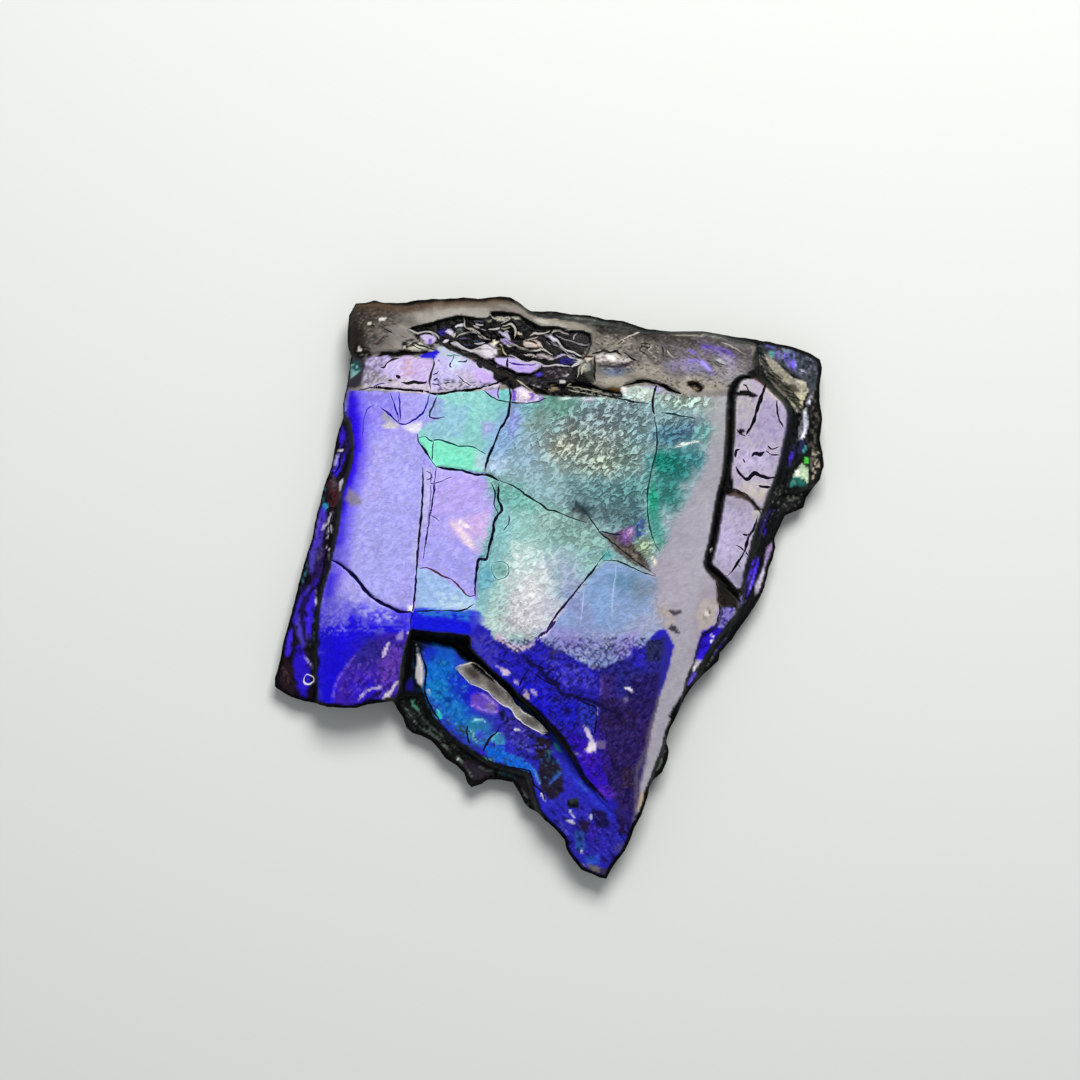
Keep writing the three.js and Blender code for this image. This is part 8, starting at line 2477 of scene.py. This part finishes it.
@dataclass(frozen=True)
class BrokenEdge:
    """The edge from the rim down to the foot, with the softer beds weathered in."""

    sill: float = 1.0  # under this the slab steps in to its foot
    rim_rise: float = 0.4  # the rim stays this far above the sill
    rows: int = 15
    loss: float = 0.34  # how far soft sheets are weathered in from the rim
    loss_mean: float = 0.5  # of that, and how it comes and goes from bed to bed
    bed_ripple: Ripple = Ripple((5.0, 0.34), 61, 2, 0.9)
    nick_ripple: Ripple = Ripple((0.7, 0.5), 71, 2, 0.25)
    loss_growth: float = 6.0  # how soon below the rim the loss is in full
    waist: Point = (1.9, 2.6)
    waist_depth: float = 0.25
    waist_fade: float = 0.6
    shelf: float = 0.6  # width of the shelf over the foot
    shelf_share: float = 0.82  # most of the way to the rim that it takes
    foot_top: float = 0.8
    foot_round: float = 0.4
    foot_ripple: Ripple = Ripple((0.8, 1.0), 81, 2, 0.05)
    foot_knots: int = 120  # places round the outline at which the foot is looked up
    foot_step: float = 1e-3

    def levels(self, top: np.ndarray, rim: Rim) -> list[np.ndarray]:
        """The rows of corners below the rim, down to the foot.

        Each row is level at a share of the way to the sill. It lies in from the outline by
        the loss of the sheet at its height, noise over the length and the height, and by a
        shallow waist.

        Args:
            top: The rim's corners.
            rim: The rim.

        Returns:
            One array of corners per row, the highest row first.
        """
        round_slab = rim.along * length_of(closed(OUTLINE))
        low, high = self.waist
        levels = []
        for share in np.linspace(0.0, 1.0, self.rows + 1)[1:]:
            z = top[:, 2] + share * (self.sill - top[:, 2])
            at = np.column_stack([round_slab, z])
            soft = self.loss_mean + self.bed_ripple.at(at) + self.nick_ripple.at(at)
            above = smooth_step(low - self.waist_fade, low, z)
            below = 1.0 - smooth_step(high, high + self.waist_fade, z)
            inset = np.maximum(0.0, self.loss * soft + self.waist_depth * above * below)
            inset = inset * min(1.0, self.loss_growth * share)
            levels.append(np.column_stack([top[:, :2] + inset[:, None] * rim.inward, z]))
        foot = self.foot_spots(rim.along)
        gap = top[:, :2] - foot
        away = np.maximum(np.hypot(*gap.T), TINY)[:, None]
        shelf = foot + gap * np.minimum(self.shelf_share, self.shelf / away)
        ragged = self.foot_ripple.at(np.column_stack([round_slab, 0.0 * round_slab]))[:, None]
        steps = [(shelf, self.sill), (shelf, self.foot_top), (foot, self.foot_top), (foot, self.foot_round)]
        for plan, z in steps:
            levels.append(np.column_stack([plan + ragged * rim.inward, np.full(len(plan), z)]))
        levels.append(np.column_stack([foot, np.zeros(len(foot))]))
        return levels

    def foot_spots(self, along: np.ndarray) -> np.ndarray:
        """Where each rim corner's column meets the foot, in the same order round the slab.

        The foot's nearest spots are looked up at evenly spaced knots, made to rise steadily
        round the foot, and read between the knots.

        Args:
            along: Share of the outline's length at each rim corner.

        Returns:
            One spot per rim corner.
        """
        foot = closed(FOOT)
        knots = np.linspace(0.0, 1.0, self.foot_knots + 1)[:-1]
        _, share = from_line(foot, spot(closed(OUTLINE), knots))
        share = np.unwrap(share, period=1.0)
        share = np.maximum.accumulate(share + self.foot_step * knots)
        share = np.minimum(share, share[0] + 1.0)
        knots, share = np.append(knots, 1.0), np.append(share, share[0] + 1.0)
        return spot(foot, np.interp(along % 1.0, knots, share))


@dataclass(frozen=True)
class Underside:
    """The flat bedding plane that the slab rests on."""

    low: Point = (-19.5, -21.0)
    high: Point = (20.0, 21.5)
    step: float = 0.9  # spacing of its corners
    stray: tuple[Ripple, Ripple] = (Ripple(1.3, 91, depth=0.25), Ripple(1.3, 92, depth=0.25))
    margin: float = 0.8
    relief: float = 0.1
    ripple: Ripple = Ripple(4.0, 93, 3)
    fade: Point = (-0.6, 0.8)  # levels of the ripple that are flat and in full relief
    weld: float = 1e-7

    def fill(self, ring: np.ndarray, edges: np.ndarray) -> tuple[np.ndarray, np.ndarray]:
        """Fills the last row: corners on a coarse grid inside it, joined to it by triangles.

        Args:
            ring: Corners of the last row.
            edges: Pairs of corners round it.

        Returns:
            The new inner corners, and faces that number the ring first and these after it.
        """
        xs, ys = (np.arange(*ends, self.step) for ends in zip(self.low, self.high))
        inner = np.stack(np.meshgrid(xs, ys), axis=-1).reshape(-1, 2)
        inner = inner + np.column_stack([ripple.at(inner) for ripple in self.stray])
        inner = inner[depth_inside(path(FOOT), inner) > self.margin]
        flat = np.vstack([ring[:, :2], inner])
        corners, _, triangles, origin, _, _ = delaunay_2d_cdt(
            [tuple(place) for place in flat.tolist()], edges.tolist(), [], 1, self.weld
        )
        if len(corners) != len(flat):
            log.warning("underside: %d corners became %d", len(flat), len(corners))
        number = np.array([names[0] for names in origin])
        lift = self.relief * smooth_step(*self.fade, self.ripple.at(inner))
        return np.column_stack([inner, lift]), number[np.array(triangles)][:, ::-1]


@dataclass(frozen=True)
class FlatMap:
    """Where the parts of the skin lie on the flat map, a unit square."""

    origin: Point = (21.0, 22.1)  # from the low corner of the plan to the slab's middle
    upper_span: float = 52.0  # millimetres of the upper side to the width of the map
    under_span: float = 340.0
    under_corner: Point = (0.02, 0.862)
    strips: int = 4  # the edge lies in this many upright strips
    strips_from: float = 0.812
    strip_pitch: float = 0.047
    strip_width: float = 0.04
    strip_foot: float = 0.02
    strip_length: float = 0.92

    def upper(self, corners: np.ndarray) -> np.ndarray:
        """The upper side as it is seen from above."""
        return (corners[..., :2] + self.origin) / self.upper_span

    def under(self, corners: np.ndarray) -> np.ndarray:
        """The underside as it would be seen from above, small beside the rest."""
        return (corners[..., :2] + self.origin) / self.under_span + self.under_corner

    def edge(self, along: np.ndarray, depth: np.ndarray) -> np.ndarray:
        """The edge in upright strips, with the way round the slab going up each.

        Args:
            along: Share of the outline's length at the corners of each face.
            depth: Share of the way down the edge at the same corners.

        Returns:
            A place on the map for each corner of each face.
        """
        along = np.where(along < along.max(axis=1, keepdims=True) - 0.5, along + 1.0, along)
        strip = np.floor(self.strips * (along.mean(axis=1) % 1.0))[:, None]
        along = along - (along.mean(axis=1) >= 1.0)[:, None]
        across = self.strips_from + self.strip_pitch * strip + self.strip_width * depth
        up = self.strip_foot + self.strip_length * (self.strips * along - strip)
        return np.stack([across, up], axis=-1)


@dataclass(frozen=True)
class EdgeColour:
    """Colour of the shale: dark and pale beds, browner near the top."""

    dark: str = "#14171a"
    pale: str = "#3c413c"
    brown: str = "#4a3a2e"
    pale_share: float = 0.5  # on the mean, more or less by bed and by cloud
    strata: Ripple = Ripple((6.0, 0.45), 97, 3, 0.5)
    cloud: Ripple = Ripple(2.2, 98, 3)
    cloud_share: float = 0.3
    brown_from: float = 3.6  # only the highest sheets are stained
    brown_cover: float = 0.6
    brown_width: float = 0.8  # of the clouds' noise over which the stain fades in
    brown_shift: float = 0.2
    roughness: float = 0.7

    def at(self, plan: np.ndarray, z: np.ndarray) -> np.ndarray:
        """The colour at corners of the skin.

        Args:
            plan: Corners seen from above.
            z: Their heights.

        Returns:
            One sRGB colour per corner.
        """
        strata = self.strata.at(np.column_stack([plan.sum(axis=1), z]))
        cloud = self.cloud.at(plan)
        share = np.clip(self.pale_share + strata + self.cloud_share * cloud, 0.0, 1.0)[:, None]
        colour = hex_values(self.dark) + share * (hex_values(self.pale) - hex_values(self.dark))
        stain = smooth_step(0.0, self.brown_width, cloud + self.brown_shift) * (z > self.brown_from)
        return colour + self.brown_cover * stain[:, None] * (hex_values(self.brown) - colour)


@dataclass
class Shell:
    """Arrays of a mesh while it is being put together."""

    points: np.ndarray
    faces: np.ndarray
    layers: np.ndarray
    uv: np.ndarray


@dataclass(frozen=True)
class Slab:
    """The broken slab: its upper side, broken edge and underside as one closed skin.

    The upper side is a grid of x and y with a height at each corner, and its rim is drawn
    onto the outline. The edge carries the rim down through level rows, and the underside
    closes the last one.
    """

    crown: Crown = Crown()
    grid: Grid = Grid()
    rim_maker: RimMaker = RimMaker()
    shale: BareShale = BareShale()
    edge: BrokenEdge = BrokenEdge()
    underside: Underside = Underside()
    flat_map: FlatMap = FlatMap()
    edge_colour: EdgeColour = EdgeColour()
    wall_cover: float = 0.85  # how much of the colour above it a broken wall hides
    wall_upright: Point = (0.35, 0.7)  # upward part of the normal on a wall and on open ground
    crease: float = 42.0  # degrees from which two faces meet in a sharp line

    def build(self) -> bpy.types.Object:
        """Makes the slab's mesh with its attributes, and dresses it.

        Returns:
            The slab's object.
        """
        plan, cells, edges = self.grid.cells()
        plan, rim = self.rim_maker.drawn(plan, edges)
        plan = self.grid.drawn_to_lines(plan, rim.corners)
        height = np.concatenate([heights(plan[rows], self.crown) for rows in split(plan)])
        height = self.rim_maker.worn(plan, self.shale.stepped(plan, height))
        height = np.maximum(height, self.edge.sill + self.edge.rim_rise)
        faces = self.grid.best_diagonals(cells, height)
        top = np.column_stack([plan, height])
        shell = self.closed_skin(top, faces, rim)
        piece = self.mesh_object(shell, len(top))
        log.info("ammolite_specimen: %d vertices, %d triangles", len(shell.points), len(shell.faces))
        return piece

    def closed_skin(self, top: np.ndarray, faces: np.ndarray, rim: Rim) -> Shell:
        """Joins the upper side, the rows of the edge and the underside.

        Args:
            top: Corners of the upper side.
            faces: Its triangles.
            rim: Its rim.

        Returns:
            The whole skin with its layers and its own flat map.
        """
        levels = self.edge.levels(top[rim.corners], rim)
        start, end = np.searchsorted(rim.corners, rim.edges).T
        count, rings = len(rim.corners), [rim.corners]
        for number in range(len(levels)):
            rings.append(len(top) + number * count + np.arange(count))
        walls = []
        for upper, lower in zip(rings, rings[1:]):
            walls.append(np.column_stack([upper[end], upper[start], lower[start]]))
            walls.append(np.column_stack([upper[end], lower[start], lower[end]]))
        walls = np.vstack(walls)
        inner, under = self.underside.fill(levels[-1], np.column_stack([start, end]))
        under = np.where(under < count, under + rings[-1][0], under - count + rings[-1][-1] + 1)
        points = np.vstack([top, *levels, inner])
        layers = np.full(len(faces) + len(walls) + len(under), Layer.SHALE)
        nacre = ~self.shale.covers(top[faces].mean(axis=1)[:, :2])
        layers[np.flatnonzero(nacre)] = Layer.NACRE
        depth, along = np.zeros(len(points)), np.zeros(len(points))
        for number, ring in enumerate(rings):
            depth[ring] = number / (len(rings) - 1)
            along[ring] = rim.along
        uv = np.concatenate(
            [
                self.flat_map.upper(points[faces]),
                self.flat_map.edge(along[walls], depth[walls]),
                self.flat_map.under(points[under]),
            ]
        )
        return Shell(points, np.vstack([faces, walls, under]), layers, uv)

    def mesh_object(self, shell: Shell, upper: int) -> bpy.types.Object:
        """Puts the skin and its attributes into a mesh.

        Args:
            shell: The skin.
            upper: How many of its points belong to the upper side.

        Returns:
            The slab's object, at the origin.
        """
        count = len(shell.faces)
        mesh = bpy.data.meshes.new("ammolite_specimen")
        mesh.vertices.add(len(shell.points))
        mesh.vertices.foreach_set("co", (shell.points * MM).astype(np.float32).ravel())
        mesh.loops.add(3 * count)
        mesh.loops.foreach_set("vertex_index", shell.faces.astype(np.int32).ravel())
        mesh.polygons.add(count)
        mesh.polygons.foreach_set("loop_start", np.arange(0, 3 * count, 3, dtype=np.int32))
        mesh.update(calc_edges=True)
        mesh.polygons.foreach_set("material_index", shell.layers.astype(np.int32))
        mesh.polygons.foreach_set("use_smooth", np.ones(count, bool))
        mesh.uv_layers.new(name="OFBake").uv.foreach_set("vector", shell.uv.astype(np.float32).ravel())
        self.paint(mesh, shell, upper)
        mesh.set_sharp_from_angle(angle=math.radians(self.crease))
        mesh.validate()
        finishes = {Layer.NACRE: PolishedNacre(), Layer.SHALE: SplitShale()}
        for layer in Layer:
            mesh.materials.append(finishes[layer].make())
        piece = bpy.data.objects.new("ammolite_specimen_slab", mesh)
        bpy.context.scene.collection.objects.link(piece)
        return piece

    def paint(self, mesh: bpy.types.Mesh, shell: Shell, upper: int) -> None:
        """Adds the attributes: paint and rough at each corner, line and ink within each face.

        Args:
            mesh: The mesh that takes them.
            shell: Its skin.
            upper: How many of its points belong to the upper side.
        """
        plan, z = shell.points[:, :2], shell.points[:, 2]
        tops = shell.faces[shell.faces.max(axis=1) < upper]
        colour = self.edge_colour.at(plan, z)
        finish = np.tile([self.edge_colour.roughness, 0.0], (len(plan), 1))
        coloured = [painted(plan[:upper][rows], COATS) for rows in split(plan[:upper])]
        flat = 1.0 - self.wall_cover * self.steep(shell.points[:upper], tops)[:, None]
        colour[:upper] += flat * (np.vstack([colour for colour, _ in coloured]) - colour[:upper])
        finish[:upper] += flat * (np.vstack([finish for _, finish in coloured]) - finish[:upper])
        lines, ink = crack_lines(plan, tops)
        spare = len(shell.faces) - len(lines)
        lines = np.concatenate([lines, np.tile([0.0, 0.0, -CRACK_REACH], (spare, 3, 1))])
        ink = np.concatenate([ink, np.zeros((spare, 3, 3))])
        self.attribute(mesh, "paint", "FLOAT_COLOR", "POINT", "color", self.opaque(linear(colour)))
        self.attribute(mesh, "rough", "FLOAT", "POINT", "value", finish[:, 0])
        self.attribute(mesh, "crinkle", "FLOAT", "POINT", "value", finish[:, 1])
        self.attribute(mesh, "line", "FLOAT_VECTOR", "CORNER", "vector", lines)
        self.attribute(mesh, "ink", "FLOAT_COLOR", "CORNER", "color", self.opaque(linear(ink)))

    def steep(self, points: np.ndarray, faces: np.ndarray) -> np.ndarray:
        """1 on a broken wall and 0 where the surface lies flatter, from the mean of the normals.

        Args:
            points: Corners of the upper side.
            faces: Its triangles.

        Returns:
            One value per corner.
        """
        a, b, c = (points[faces[:, corner]] for corner in range(3))
        normals = np.repeat(np.cross(b - a, c - a), 3, axis=0)
        total = [np.bincount(faces.ravel(), axis, len(points)) for axis in normals.T]
        return 1.0 - smooth_step(*self.wall_upright, total[2] / np.linalg.norm(total, axis=0))

    def opaque(self, colour: np.ndarray) -> np.ndarray:
        """Colours with a full alpha after them."""
        return np.concatenate([colour, np.ones((*colour.shape[:-1], 1))], axis=-1)

    def attribute(
        self, mesh: bpy.types.Mesh, name: str, kind: str, domain: str, key: str, values: np.ndarray
    ) -> None:
        """Adds one attribute to the mesh and fills it."""
        layer = mesh.attributes.new(name, kind, domain)
        layer.data.foreach_set(key, values.astype(np.float32).ravel())


# ---- Floor, light and camera ----


@dataclass
class Stand:
    """The plain sheet that the slab lies on, just under its lowest point."""

    half: float = 600.0
    gap: float = 0.02

    def build(self) -> bpy.types.Object:
        """Makes the sheet.

        Returns:
            The sheet's object.
        """
        x = self.half * MM * np.array([-1.0, 1.0, 1.0, -1.0])
        y = self.half * MM * np.array([-1.0, -1.0, 1.0, 1.0])
        corners = np.column_stack([x, y, np.full(4, -self.gap * MM)])
        mesh = bpy.data.meshes.new("sheet")
        mesh.from_pydata(corners.tolist(), [], [(0, 1, 2, 3)])
        mesh.materials.append(PaleSheet().make())
        sheet = bpy.data.objects.new("sheet", mesh)
        bpy.context.scene.collection.objects.link(sheet)
        log.info("sheet: %.0f mm square", 2 * self.half)
        return sheet


@dataclass(frozen=True)
class Lamp:
    """A square soft light, by where it hangs and what it sends."""

    name: str
    azimuth: float  # degrees from +X towards +Y
    elevation: float
    distance: float  # millimetres
    side: float
    watts: float
    hue: str = "#ffffff"


@dataclass
class Studio:
    """One large soft light from the upper right, and an even surround."""

    lamps: tuple[Lamp, ...] = (
        Lamp("key", 77.0, 53.0, 255.0, 118.0, 0.6, "#fffdf8"),
    )
    surround: float = 0.34
    surround_hue: str = "#f6f8fb"

    def build(self) -> None:
        """Hangs the lamps and sets the surround."""
        for lamp in self.lamps:
            light = bpy.data.lights.new(lamp.name, "AREA")
            light.size = lamp.side * MM
            light.energy = lamp.watts
            light.color = linear(lamp.hue)
            holder = bpy.data.objects.new(lamp.name, light)
            turn, lift = math.radians(lamp.azimuth), math.radians(lamp.elevation)
            place = Vector(
                (math.cos(lift) * math.cos(turn), math.cos(lift) * math.sin(turn), math.sin(lift))
            )
            holder.location = place * lamp.distance * MM
            holder.rotation_euler = (-place).to_track_quat("-Z", "Y").to_euler()
            bpy.context.scene.collection.objects.link(holder)
            log.info("%s light: %.2f W", lamp.name, lamp.watts)
        world = bpy.data.worlds.new("surround")
        world.use_nodes = True
        world.node_tree.nodes.clear()
        colour = (*linear(self.surround_hue), 1.0)
        even = add_node(
            world.node_tree, "ShaderNodeBackground", {"Color": colour, "Strength": self.surround}
        )
        add_node(world.node_tree, "ShaderNodeOutputWorld", {"Surface": even.outputs[0]})
        bpy.context.scene.world = world
        bpy.context.scene.view_settings.view_transform = "Standard"


@dataclass
class Viewpoint:
    """The camera: almost straight above the slab."""

    aim: tuple[float, float, float] = (-0.675, 3.56, 2.8)
    elevation: float = 89.0  # degrees
    lens: float = 150.0
    sensor: float = 36.0
    span: float = 80.7  # millimetres across the square image at the aim
    clip: float = 5.0  # nothing nearer than this is seen

    def build(self) -> bpy.types.Object:
        """Makes the camera and gives it to the scene.

        Returns:
            The camera's object.
        """
        lift = math.radians(self.elevation)
        distance = self.span * self.lens / self.sensor
        aim = Vector(self.aim) * MM
        back = Vector((0.0, -math.cos(lift), math.sin(lift)))
        camera = bpy.data.cameras.new("camera")
        camera.lens = self.lens
        camera.sensor_width = self.sensor
        camera.clip_start = self.clip * MM
        holder = bpy.data.objects.new("camera", camera)
        holder.location = aim + back * distance * MM
        holder.rotation_euler = (math.radians(90.0) - lift, 0.0, 0.0)
        bpy.context.scene.collection.objects.link(holder)
        bpy.context.scene.camera = holder
        log.info("camera: %.0f mm above the slab", distance)
        return holder


def main() -> None:
    """Builds the camera, light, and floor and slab."""
    logging.basicConfig(level=logging.INFO, format="%(name)s: %(message)s")
    Viewpoint().build()
    Studio().build()
    Stand().build()
    slab = Slab().build()
    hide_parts("ammolite_specimen")
    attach(slab, "root")


if __name__ == "__main__":
    main()
